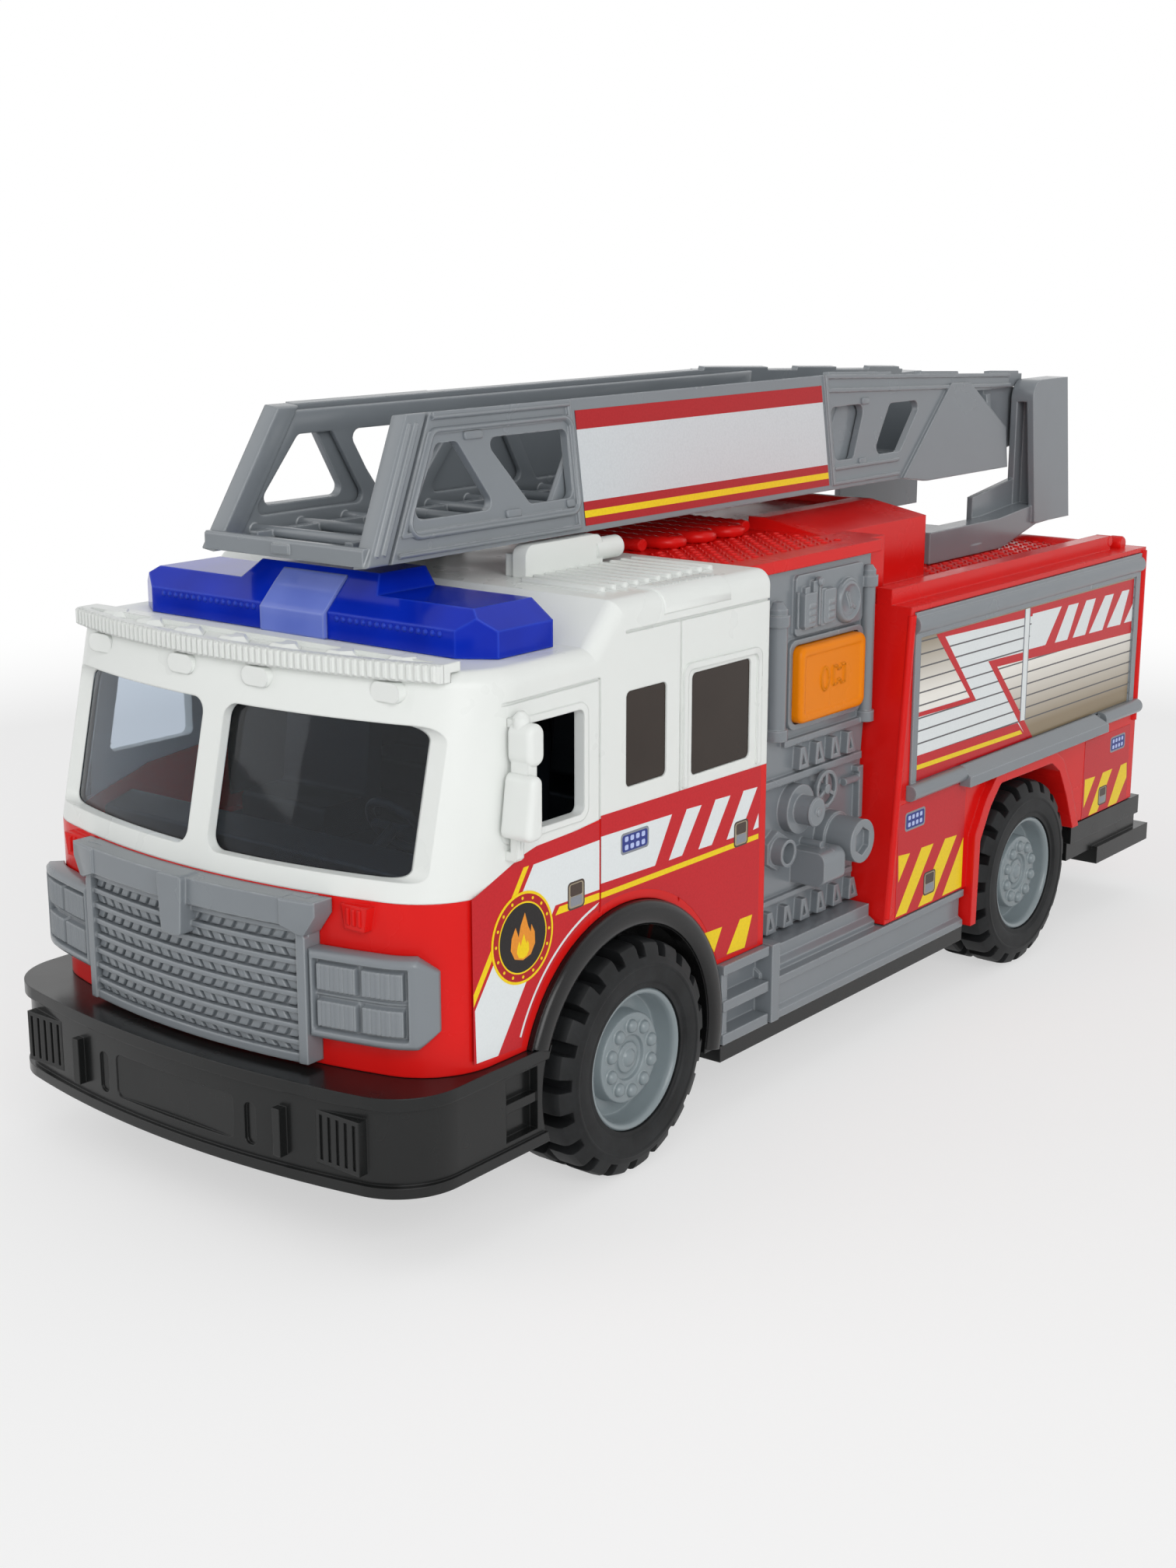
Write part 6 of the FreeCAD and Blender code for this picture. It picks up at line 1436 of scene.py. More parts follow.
# ---- wheels ----
@dataclass
class Tyres:
    """Rubber tyres with two staggered rows of shoulder lugs and two ridges on the side wall."""

    lugs: int = 20
    groove_share: float = 0.38
    wall_share: float = 0.03
    bead_drop: float = 9.1

    def build(self, node: str, body: str) -> None:
        """Makes one tyre in the place of its frame node.

        Args:
            node: frame node that it stands for.
            body: frame body that it turns with.
        """
        low, high = box_mm(node)
        middle_y, middle_z = middle_yz(node)
        inner, outer = (low.x, high.x) if high.x + low.x > 0 else (high.x, low.x)
        shaper = Shaper()
        loops = []
        for x_share, top, grooved, row in self.profile((high.z - low.z) / 2):
            x = outer + (inner - outer) * x_share
            loop = []
            for turn in self.turns():
                radius = grooved if self.in_groove(turn, row) else top
                angle = 2 * math.pi * turn
                loop.append((x, middle_y + radius * math.sin(angle), middle_z + radius * math.cos(angle)))
            loops.append(loop)
        shaper.rings(loops, closed=True)
        shaper.piece(f"tyre_tread_{node}", [RUBBER], 24.0, [node], body)

    def profile(self, radius: float) -> list[tuple[float, float, float, int]]:
        """Cross-section from the outer bead over the tread to the inner bead.

        Args:
            radius: outside radius of the tyre.

        Returns:
            Share of the width, radius on a lug, radius in a groove and the row, for each point.
        """
        bead = radius - self.bead_drop
        half = [
            (0.035, bead, 0.0), (0.035, bead + 1.0, 0.0), (0.010, bead + 1.5, 0.0),
            (0.0, bead + 2.6, 0.0), (0.004, radius - 4.7, 0.0), (-0.002, radius - 4.5, 0.0),
            (-0.002, radius - 4.1, 0.0), (0.008, radius - 3.8, 0.0), (0.014, radius - 3.1, 0.0),
            (0.020, radius - 2.9, 0.0), (0.026, radius - 2.7, 0.1), (0.060, radius - 1.1, 1.7),
            (0.090, radius - 0.4, 2.5), (0.130, radius - 0.1, 2.8), (0.180, radius, 2.9),
            (0.400, radius, 2.9), (0.430, radius - 0.4, 2.5), (0.445, radius - 2.7, 0.2),
        ]
        outer = [(share, top, top - drop, 0) for share, top, drop in half]
        return outer + [(1.0 - share, top, top - drop, 1) for share, top, drop in reversed(half)]

    def turns(self) -> list[float]:
        """Places the stations of both rows of lugs round the tyre.

        Returns:
            Each station's share of the whole turn.
        """
        edges = (0.0, self.wall_share, self.groove_share - self.wall_share, self.groove_share,
                 0.50, 0.66, 0.83)
        stations = sorted({round((edge + row) % 1.0, 4) for row in (0.0, 0.5) for edge in edges})
        return [(i + share) / self.lugs for i in range(self.lugs) for share in stations]

    def in_groove(self, turn: float, row: int) -> bool:
        """Whether a place round the tyre lies in a groove of that row of lugs."""
        share = round((turn * self.lugs + 0.5 * row) % 1.0, 4)
        return self.wall_share - 1e-6 <= share <= self.groove_share - self.wall_share + 1e-6


@dataclass
class Hubs:
    """Dished wheel hubs: rolled rim, deep barrel, a nut ring and a domed middle."""

    disc: float = 9.2
    nuts: int = 10
    nut_circle: float = 6.6

    def build(self, node: str, body: str) -> None:
        """Makes one hub in the place of its frame node.

        Args:
            node: frame node that it stands for.
            body: frame body that it turns with.
        """
        low, high = box_mm(node)
        side = Side.LEFT if high.x + low.x > 0 else Side.RIGHT
        face = max(high.x, -low.x)
        back = high.x - low.x
        rim, disc = (high.z - low.z) / 2, self.disc
        # (radius, depth behind the face), from the axle's hole round the back to the domed middle
        dish = [(2.0, back), (4.6, back), (4.6, 9.1), (12.0, 9.1), (12.8, 16.1), (rim, 16.1),
                (rim, 0.5), (rim - 0.2, 0.15), (rim - 0.55, 0.0), (rim - 1.0, 0.15), (rim - 1.3, 0.55),
                (rim - 1.5, 1.6), (rim - 1.75, 4.6), (rim - 2.1, 5.0), (disc + 0.2, 5.0), (disc, 4.7),
                (disc - 0.1, 2.1), (disc - 0.35, 1.65), (disc - 0.8, 1.5), (5.0, 1.5), (4.6, 1.65),
                (4.3, 2.45), (3.9, 2.6), (3.4, 2.6), (3.15, 2.45), (3.0, 2.0), (2.7, 1.85), (1.9, 1.85),
                (1.6, 1.5), (1.2, 1.2), (0.5, 1.05)]
        nut = [(1.4, 1.6), (1.35, 1.0), (1.1, 0.55), (0.7, 0.3), (0.25, 0.2)]
        centre = middle_yz(node)
        shaper = Shaper()
        shaper.turned(side, centre, [(radius, face - depth) for radius, depth in dish], 72)
        for middle in arc(centre, self.nut_circle, 90, -270, self.nuts)[:-1]:
            shaper.turned(side, middle, [(radius, face - depth) for radius, depth in nut], 16)
        shaper.piece(f"hub_dish_{node}", [HUB_ABS], 38.0, [node], body)


@dataclass
class ArchLips:
    """Rounded glossy lips on the front wheel arches."""

    centre: Point2 = FRONT_WHEEL
    radius: float = 28.6
    half_width: float = 2.4
    bulge: float = 1.1
    root: float = 54.9
    start_deg: float = -13.5
    end_deg: float = 160.0
    steps: int = 96

    def build(self) -> None:
        """Makes both lips."""
        half = [(-1.0, -0.6), (-1.0, 0.0), (-0.93, 0.45), (-0.7, 0.8), (-0.35, 0.97)]
        section = [*half, (0.0, 1.0), *((-across, out) for across, out in reversed(half))]
        # one arc along the arch for each point of the section, turned into rings across it
        arcs = [(self.root + out * self.bulge, arc(self.centre, self.radius + across * self.half_width,
                                                   self.start_deg, self.end_deg, self.steps))
                for across, out in section]
        shaper = Shaper()
        for side in Side:
            shaper.rings([side.put((x, *points[k]) for x, points in arcs) for k in range(self.steps + 1)])
        shaper.piece("arch_lips", [BLACK_GLOSS_SHADED], 60.0)


# ---- front ----
@dataclass
class GrilleMesh:
    """Low moulded lozenges between the grille's slats, following the bowed front."""

    cells: int = 19
    half: float = 27.4
    low: float = 36.1
    high: float = 60.2
    rows: int = 8
    relief: float = 0.75
    slant: float = 1.1
    proud: float = 1.9
    bar_depth: float = 4.4

    def build(self) -> None:
        """Makes the rows of slanted flat-topped cells and the stepped ends of the top bar."""
        line = BowedLine(CAB_FRONT - self.proud)
        shaper = Shaper()
        pitch_x = 2 * self.half / self.cells
        pitch_z = (self.high - self.low) / self.rows
        for row in range(self.rows):
            z0 = max(self.low, self.low - 0.55 + pitch_z * row)
            z1 = self.low + 1.45 + pitch_z * row
            lean = self.slant * (1 if row % 2 else -1) * 0.5
            for cell in range(self.cells):
                x0 = -self.half + pitch_x * cell + 0.1
                x1 = x0 + pitch_x - 0.2 - self.slant * 0.4
                corners = [(x0 - lean, z0), (x1 - lean, z0), (x1 + lean, z1), (x0 + lean, z1)]
                mid = ((x0 + x1) / 2, (z0 + z1) / 2)
                top = [(mid[0] + (x - mid[0]) * 0.8, mid[1] + (z - mid[1]) * 0.74) for x, z in corners]
                shaper.rings([[(x, line.y_at(x) + 0.3, z) for x, z in corners],
                              [(x, line.y_at(x) - self.relief, z) for x, z in top]])
        shaper.piece("grille_lozenge_relief", [GREY_ABS])
        self.bar_ends()

    def bar_ends(self) -> None:
        """Makes the overhanging ends of the grille's top bar."""
        low, high = box_mm("grille")
        front = BowedLine(low.y + 1.25)
        top, side_x = high.z - 0.35, high.x
        outline = [(side_x - 4.6, top), (side_x + 2.9, top), (side_x + 2.9, top - 2.6),
                   (side_x + 0.4, top - 6.4), (side_x - 0.6, top - 6.4), (side_x - 4.6, top - 4.9)]
        face = [(x, front.y_at(x), z) for x, z in outline]
        soft = shrunk(outline, 0.1, (side_x - 0.8, top - 3.2))
        shaper = Shaper()
        for side in Side:
            shaper.rings([side.put((x, y + self.bar_depth, z) for x, y, z in face), side.put(face),
                          side.put((x, y - 0.3, z) for (x, z), (_, y, _) in zip(soft, face))])
        shaper.piece("grille_bar_ends", [GREY_ABS], 40.0)


@dataclass
class Headlamps:
    """Corner headlamps: a rounded frame round two rows of two ribbed lenses, and a plain outer cheek."""

    inner: float = 30.0
    length: float = 26.2
    low: float = 39.9
    high: float = 56.2
    lens_front: float = 1.5
    lens_length: float = 8.5
    lens_gap: float = 0.7
    lens_rise: float = 1.45
    recess: float = 1.6
    rib_pitch: float = 0.95
    rib_depth: float = 0.24
    thickness: float = 3.6
    border: float = 0.35
    columns: int = 150
    rows: int = 60
    # the outer cheek starts here, falls back and gets lower towards its end
    cheek: float = 21.0
    cheek_fall: float = 0.28
    cheek_chop: float = 0.62

    def height(self, run: float, z: float) -> float:
        """Relief of the lamp's face.

        Args:
            run: distance along the face from its inner edge.
            z: height.

        Returns:
            Distance out from the plain bowed face.
        """
        soft = self.border
        lenses_end = self.lens_front + 2 * self.lens_length + self.lens_gap + 0.7
        recess = inside(run, 0.9, lenses_end, soft)
        relief = -self.recess * recess * inside(z, self.low + 1.5, self.high - 1.5, soft)
        middle = (self.low + self.high) / 2
        for column in range(2):
            start = self.lens_front + column * (self.lens_length + self.lens_gap)
            across = inside(run, start, start + self.lens_length, soft)
            rib = abs(math.sin(math.pi * (run - start) / self.rib_pitch))
            for low, high in ((self.low + 2.0, middle - 0.7), (middle + 0.6, self.high - 2.1)):
                pad = across * inside(z, low, high, soft)
                relief += pad * (self.lens_rise - self.rib_depth * (1 - rib))
        relief += 0.7 * inside(z, middle - 0.45, middle + 0.4, 0.3) * recess
        edge = min(z - self.low, self.high - z, run, self.length - run)
        relief -= 0.7 * (1 - smooth_step(edge, -0.2, 0.8))
        return relief - self.cheek_fall * max(0.0, run - self.cheek)

    def build(self) -> None:
        """Makes both lamps in the place of their frame nodes."""
        low = box_mm("headlamp_left")[0]
        # the frame's lamp gives the place of its inner edge, behind the middle of the plan line
        line = BowedLine(low.y - BowedLine(0.0, 55.2).y_at(low.x), 55.2)
        tall = self.high - self.low
        rings = []
        for i in range(self.columns + 1):
            run = self.length * i / self.columns
            chop = max(0.0, run - self.cheek - 0.6) * self.cheek_chop
            (x, y), out = line.point(self.inner + run)
            ring = []
            for k in range(self.rows + 1):
                lift = self.height(run, self.low + tall * k / self.rows)
                ring.append((x + out[0] * lift, y + out[1] * lift,
                             self.low + chop + (tall - 1.9 * chop) * k / self.rows))
            back = (x - out[0] * self.thickness, y - out[1] * self.thickness)
            rings.append([*ring, (*back, ring[-1][2]), (*back, ring[0][2])])
        for side in Side:
            shaper = Shaper()
            shaper.rings([side.put(ring) for ring in rings])
            shaper.piece(f"headlamp_block_{side.label}", [GREY_ABS], 50.0, [f"headlamp_{side.label}"])


@dataclass
class CornerMarkers:
    """Fine upright ribs on the red marker blocks at the front corners."""

    x: float = 37.5
    z: float = 62.4
    ribs: int = 3
    pitch: float = 1.35
    proud: float = 1.4

    def build(self) -> None:
        """Makes the ribs of both markers."""
        face = BowedLine(CAB_FRONT).y_at(self.x) - self.proud
        shaper = Shaper()
        for side in Side:
            for i in range(self.ribs):
                x = side.value * (self.x + self.pitch * (i - 1))
                loops = []
                for wide, y, tall in ((0.4, face + 0.1, 1.7), (0.22, face - 0.35, 1.4)):
                    outline = oblong((x - wide, self.z - tall), (x + wide, self.z + tall))
                    loops.append([(a, y, b) for a, b in outline])
                shaper.rings(loops)
        shaper.piece("marker_ribs", [RED_ABS])


# ---- cab details ----
@dataclass
class CabDetails:
    """Small white mouldings of the cab roof: slats, edge hatch, window beads, visor teeth and bumps."""

    slats: int = 11
    slat_front: float = -79.3
    slat_pitch: float = 3.5
    slat_half: float = 0.8
    slat_low: float = 25.6
    slat_high: float = 44.2
    plate_front: float = -81.4
    plate_rear: float = -43.4
    edge_radius: float = 3.2
    edge_lift: float = 0.35
    louvres: int = 9
    louvre_pitch: float = 2.2
    bumps: int = 7
    bump_span: float = 76.0
    teeth: int = 64
    strip_steps: int = 48

    def build(self) -> None:
        """Makes every white detail."""
        self.roof_slats()
        self.edge_hatches()
        self.window_beads()
        low, high = box_mm("sun_visor")
        self.visor_teeth(low, high)
        self.visor_bumps(low, high)

    def roof_slats(self) -> None:
        """Makes raised slats with round ends beside the ladder's rests."""
        shaper = Shaper()
        for side in Side:
            shaper.block((self.slat_low - 0.6, self.plate_front, ROOF - 0.7),
                         (self.slat_high + 0.6, self.plate_rear, ROOF + 0.12), side)
            for i in range(self.slats):
                y = self.slat_front + self.slat_pitch * i
                outline = (arc((self.slat_low, y), self.slat_half, 90, 270, 6)
                           + arc((self.slat_high, y), self.slat_half, -90, 90, 6))
                top = [(a + (0.2 if a < 35 else -0.2), y + (b - y) * 0.72) for a, b in outline]
                shaper.rings([side.put((a, b, ROOF + rise) for a, b in loop)
                              for loop, rise in ((outline, -0.05), (outline, 0.8), (top, 0.98))])
        shaper.piece("roof_slats", [WHITE_ABS], 50.0)

    def edge_hatches(self) -> None:
        """Makes the low plates that wrap over the roof's round edges, with fine louvres."""
        half, radius, lift = CAB_HALF, self.edge_radius, self.edge_lift
        section = [(46.6, ROOF - 0.1), (47.0, ROOF + lift),
                   *arc((half - radius, ROOF - radius), radius + lift, 90, 0, 8),
                   (half + lift, 108.3), (half - 0.1, 108.0), (half - 3.4, 108.6), (48.0, ROOF - 1.0)]
        shaper = Shaper()
        for side in Side:
            shaper.rings([side.put((a + (grow if a > 50 else 0), y, b + grow) for a, b in section)
                          for y, grow in ((-72.2, -0.25), (-71.9, 0.0), (-50.6, 0.0), (-50.3, -0.25))])
            for k in range(self.louvres):
                y = -70.0 + self.louvre_pitch * k
                shaper.block((47.6, y, ROOF), (50.6, y + 0.9, ROOF + 0.6), side)
        shaper.piece("roof_edge_hatches", [WHITE_ABS], 40.0)

    def window_beads(self) -> None:
        """Makes the bead that frames the rear door's window over its top and sides."""
        outer = [(-66.1, 73.2), *arc((-63.9, 95.4), 2.2, 180, 90, 5), *arc((-41.6, 95.2), 2.2, 90, 0, 5),
                 (-39.4, 73.2)]
        inner = [(-64.8, 73.2), *arc((-63.4, 94.9), 1.4, 180, 90, 5), *arc((-42.1, 94.7), 1.4, 90, 0, 5),
                 (-40.7, 73.2)]
        shaper = Shaper()
        for side in Side:
            for i in range(len(outer) - 1):
                quad = [outer[i], outer[i + 1], inner[i + 1], inner[i]]
                shaper.raised(side, quad, CAB_HALF - 0.1, CAB_HALF + 0.65)
        shaper.piece("window_beads", [WHITE_ABS], 40.0)

    def visor_bumps(self, low: Vector, high: Vector) -> None:
        """Makes the arrow-shaped bumps on the visor's shelf.

        Args:
            low: lowest corner of the visor.
            high: highest corner of the visor.
        """
        line = BowedLine(low.y + 1.7)
        shaper = Shaper()
        for i in range(self.bumps):
            x = self.bump_span * (i / (self.bumps - 1) - 0.5)
            y, z = line.y_at(x), high.z - 1.05
            arrow = [(x - 3.4, y + 0.9), (x + 1.2, y + 0.6), (x + 3.6, y + 3.4), (x + 1.0, y + 6.4),
                     (x - 3.0, y + 6.4), (x - 1.4, y + 3.4)]
            top = shrunk(arrow, 0.38, (x, y + 3.6))
            shaper.rings([[(a, b, z) for a, b in arrow], [(a, b, z + 1.25) for a, b in top]])
        shaper.piece("visor_bumps", [WHITE_ABS], 20.0)

    def visor_teeth(self, low: Vector, high: Vector) -> None:
        """Makes a bowed strip with fine upright teeth along the visor.

        Args:
            low: lowest corner of the visor.
            high: highest corner of the visor.
        """
        line = BowedLine(low.y)
        shaper = Shaper()
        rings = []
        for k in range(self.strip_steps + 1):
            x = low.x + 0.05 + (high.x - low.x - 0.1) * k / self.strip_steps
            y = line.y_at(x)
            rings.append([(x, y - 0.06, low.z + 0.1), (x, y - 0.06, high.z - 0.15),
                          (x, y + 0.9, high.z + 0.03), (x, y + 0.9, low.z + 0.02)])
        shaper.rings(rings)
        for k in range(self.teeth):
            x = low.x + 1.2 + (high.x - low.x - 2.4) * k / (self.teeth - 1)
            y = line.y_at(x)
            base = oblong((x - 0.42, low.z + 0.3), (x + 0.42, high.z + 0.05))
            tip = oblong((x - 0.3, low.z + 0.5), (x + 0.3, high.z - 0.15))
            shaper.rings([[(a, y, b) for a, b in base], [(a, y - 0.62, b) for a, b in tip]])
        shaper.piece("visor_teeth", [WHITE_ABS], 30.0)


@dataclass
class CabLining:
    """Dark lining of the cab's rear part, seen through the windscreen."""

    half: float = 50.3
    front: float = -88.5
    rear: float = -40.6
    low: float = 60.0
    high: float = 109.2
    sheet: float = 0.5
    ribs: int = 9
    rib_pitch: float = 10.0

    def build(self) -> None:
        """Makes the side, rear and roof sheets with a ribbed rear panel."""
        shaper = Shaper()
        for side in Side:
            shaper.block((self.half - self.sheet, self.front, self.low), (self.half, self.rear, self.high),
                         side)
        shaper.block((-self.half, self.rear - self.sheet, self.low), (self.half, self.rear, self.high))
        shaper.block((-self.half, self.front, self.high), (self.half, self.rear, self.high + self.sheet))
        for i in range(self.ribs):
            x = self.rib_pitch * (i - (self.ribs - 1) / 2)
            shaper.block((x - 1.0, self.rear - 1.3, self.low + 8.0),
                         (x + 1.0, self.rear - 0.3, self.high - 4.0))
        shaper.piece("cab_lining", [DARK_ABS])


# ---- pump panel details ----
@dataclass
class PumpDetails:
    """Finer parts of the pump panel: the gauge dial, flasks, a tap and the sound button's cover."""

    face: float = 46.7
    gauge: Point2 = (4.3, 100.0)
    flasks: Point2 = (-11.7, -4.1)
    flask_z: float = 100.2
    sound_mark: Point2 = (-6.9, 84.8)
    horn: tuple[Point2, ...] = (
        (-3.7, 83.0), (-3.7, 87.0), (-2.3, 87.0), (-1.9, 86.2), (-0.9, 86.2), (-0.5, 87.0),
        (0.9, 87.0), (0.9, 83.0), (-0.5, 83.0), (-0.9, 83.8), (-1.9, 83.8), (-2.3, 83.0))

    def build(self, side: Side) -> None:
        """Makes the details of one side of the truck."""
        self.panel(side)
        self.sound_button(side)

    def panel(self, side: Side) -> None:
        """Makes the grey parts on the upper plate.

        Args:
            side: side of the truck.
        """
        shaper = Shaper()
        x = self.face
        y, z = self.gauge
        shaper.turned(side, self.gauge, [(4.9, x - 0.1), (4.8, x + 0.7), (4.3, x + 1.3), (3.9, x + 1.4),
                                         (3.6, x + 1.1), (3.2, x + 0.85), (0.4, x + 0.95)])
        shaper.raised(side, band((y - 1.0, z + 2.0), (y + 0.6, z - 1.2), 0.8), x + 0.7, x + 1.4)
        shaper.raised(side, band((y + 0.3, z - 0.6), (y + 2.2, z - 1.6), 0.7), x + 0.7, x + 1.3)
        for middle in self.flasks:
            shaper.raised(side, rounded_box((middle, self.flask_z), 2.5, 3.9, 0.7), x - 0.1, x + 1.35, 0.06)
            for k in range(3):
                plate = rounded_box((middle + 0.5, self.flask_z - 2.2 + 1.5 * k), 1.3, 0.45, 0.2)
                shaper.raised(side, plate, x + 1.2, x + 1.6, 0.1)
        # a knob on its stem, and a thin pipe in front of it
        shaper.turned(side, (-8.1, 105.9), [(0.55, x), (1.0, x + 0.5), (1.0, x + 1.5), (0.6, x + 1.9)], 16)
        shaper.raised(side, band((-8.1, 96.6), (-8.1, 105.6), 0.7), x - 0.1, x + 1.3)
        shaper.raised(side, band((-15.4, 96.6), (-15.4, 104.4), 0.5), x - 0.1, x + 0.6)
        # nub and rim of the stepped cap
        shaper.turned(side, (-14.5, 57.3), [(3.3, 52.2), (3.3, 52.5), (2.9, 52.8), (0.9, 52.8), (0.8, 53.3),
                                            (0.4, 53.4)], 32)
        shaper.piece(f"panel_gauges_{side.label}", [GREY_ABS], 35.0)

    def sound_button(self, side: Side) -> None:
        """Makes the orange button: round edge, shallow dished face and a raised sound mark.

        Args:
            side: side of the truck.
        """
        low, high = box_mm("sound_button_left")
        centre, root = middle_yz("sound_button_left"), low.x
        half_y, half_z = (high.y - low.y) / 2, (high.z - low.z) / 2
        loops = []
        for inset, rise in ((0.0, 0.0), (0.0, 2.4), (0.12, 2.9), (0.45, 3.25), (0.9, 3.4), (1.7, 3.4),
                            (2.0, 3.3), (2.2, 3.1), (2.5, 3.05)):
            outline = rounded_box(centre, half_y - inset, half_z - inset, max(0.5, 2.1 - inset * 0.7))
            loops.append(side.put((root + rise, y, z) for y, z in outline))
        shaper = Shaper()
        shaper.rings(loops)
        face = root + 3.0
        outer, inner = ([(self.sound_mark[0] + (a - self.sound_mark[0]) * wide, b)
                         for a, b in circle(self.sound_mark, tall, 28)]
                        for wide, tall in ((1.7 / 2.7, 2.7), (1.2 / 2.2, 2.2)))
        for i in range(28):
            k = (i + 1) % 28
            shaper.raised(side, [outer[i], outer[k], inner[k], inner[i]], face - 0.1, face + 0.35)
        for i, corner in enumerate(self.horn):
            shaper.raised(side, band(self.horn[i - 1], corner, 0.45), face - 0.1, face + 0.4)
        shaper.piece(f"sound_button_cover_{side.label}", [ORANGE_ABS], 35.0,
                     [f"sound_button_{side.label}"])


@dataclass
class BodyDetails:
    """Red beads at the locker's ends, rail bosses and the dark inner walls of the wheel wells."""

    # foot and head of each bead in (y, z)
    beads: tuple[tuple[Point2, Point2], ...] = (
        ((12.3, 27.0), (19.1, 95.6)), ((139.7, 51.0), (139.7, 96.6)))
    bead_radius: float = 1.05
    bead_sink: float = 0.25
    well: float = 38.0
    well_radius: float = 30.9
    well_low: float = 33.8

    def build(self) -> None:
        """Makes the beads, bosses and well walls."""
        shaper = Shaper()
        for side in Side:
            for bead in self.beads:
                shaper.rings([side.put((x, b, z) for x, b in
                                       circle((LOCKER_HALF - self.bead_sink, y), self.bead_radius, 14))
                              for y, z in bead])
            shaper.turned(side, (135.4, 98.4), [(1.9, 47.6), (2.0, 48.0), (2.0, 50.6), (1.7, 51.0)], 24)
            shaper.turned(side, (129.6, 99.6), [(1.3, 45.9), (1.5, 46.2), (1.5, 49.9), (1.3, 50.1)], 24)
        shaper.piece("body_beads", [RED_ABS], 40.0)
        wall = [p for p in arc(FRONT_WHEEL, self.well_radius, 0, 180, 40) if p[1] > self.well_low]
        shaper = Shaper()
        for side in Side:
            shaper.raised(side, wall, self.well + 0.02, self.well + 0.3)
        shaper.piece("wheel_well_walls", [BLACK_ABS])


# ---- roof, deck and hose ----
@dataclass
class BeaconStuds:
    """Row of small round optic studs along the upper front edge of the light bar."""

    pitch: float = 1.7
    radius: float = 0.62
    start: float = 11.0
    end_gap: float = 8.4
    lift: float = 4.0

    def build(self) -> None:
        """Makes the studs on both sides of the middle lens."""
        low, high = box_mm("light_bar")
        shaper = Shaper()
        for side in Side:
            x = self.start
            while x < high.x - self.end_gap:
                shaper.rings([[(a, low.y - rise + 0.02, b) for a, b in
                               circle((side.value * x, low.z + self.lift), self.radius * share, 12)]
                              for share, rise in ((1.0, 0.0), (0.8, 0.16), (0.4, 0.26))])
                x += self.pitch
        shaper.piece("beacon_studs", [BLUE_LENS], 60.0)


@dataclass
class TreadPlates:
    """Raised five-bar tread on the red walkways, moulded with them."""

    length: float = 2.1
    width: float = 0.7
    height: float = 0.34
    pitch: float = 2.7

    def bar(self, shaper: Shaper, x: float, y: float, z: float, slant: float) -> None:
        """Adds one lozenge bar.

        Args:
            shaper: mesh that gets it.
            x: middle of the bar.
            y: middle of the bar.
            z: height of the walkway.
            slant: 1 or -1, the way it leans.
        """
        along = Vector((0.7071, 0.7071 * slant))
        across = Vector((-along.y, along.x))
        outline = []
        for a, b in ((-1, 0), (-0.45, -1), (0.45, -1), (1, 0), (0.45, 1), (-0.45, 1)):
            offset = along * a * self.length / 2 + across * b * self.width / 2
            outline.append((x + offset.x, y + offset.y))
        top = shrunk(outline, 0.45, (x, y))
        shaper.rings([[(a, b, z - 0.05) for a, b in outline], [(a, b, z + self.height) for a, b in top]])

    def build(self, name: str, low: Point2, high: Point2, z: float) -> None:
        """Covers one walkway on both sides of the truck.

        Args:
            name: name of the piece.
            low: lowest x and y on the left side.
            high: highest x and y on the left side.
            z: height of the walkway.
        """
        shaper = Shaper()
        for sign in (-1, 1):
            for i in range(int((high[0] - low[0]) / self.pitch)):
                for j in range(int((high[1] - low[1]) / self.pitch)):
                    x = sign * (low[0] + self.pitch * (i + 0.5))
                    y = low[1] + self.pitch * (j + 0.5)
                    self.bar(shaper, x, y, z, 1 if (i + j) % 2 else -1)
        shaper.piece(name, [RED_ABS])


@dataclass
class HoseBed:
    """Flaked fire hose moulded in red under the ladder: folded runs with round bends."""

    front: float = -30.0
    rear: float = 9.0
    half: float = 17.0
    runs: int = 7
    radius: float = 1.9
    # the hose lies a little sunk and flattened, and every other station is a shallow groove
    sunk_share: float = 0.7
    flat_share: float = 0.8
    groove_share: float = 0.86
    run_steps: int = 24
    bend_steps: int = 8

    def build(self, z: float) -> None:
        """Makes the folded hose on the walkway.

        Args:
            z: height of the walkway.
        """
        pitch = (self.rear - self.front) / self.runs
        level = z + self.radius * self.sunk_share
        path: list[Vector] = []
        for i in range(self.runs + 1):
            y = self.front + pitch * i
            reach = self.half if i % 2 else -self.half
            for k in range(self.run_steps + 1):
                path.append(Vector((-reach + 2 * reach * k / self.run_steps, y, level)))
            if i < self.runs:
                bend = arc((0.0, y + pitch / 2), pitch / 2, -90, 90, self.bend_steps)[1:-1]
                path += [Vector((reach + math.copysign(a, reach), b, level)) for a, b in bend]
        loops = []
        for k, point in enumerate(path):
            run = (path[min(len(path) - 1, k + 1)] - path[max(0, k - 1)]).normalized()
            across = Vector((-run.y, run.x, 0.0))
            section = circle((0.0, 0.0), self.radius * (1.0 if k % 2 else self.groove_share), 12)
            loops.append([tuple(point + across * a + Vector((0.0, 0.0, b * self.flat_share)))
                          for a, b in section])
        shaper = Shaper()
        shaper.rings(loops)
        shaper.piece("hose_bed_moulding", [RED_ABS], 50.0)


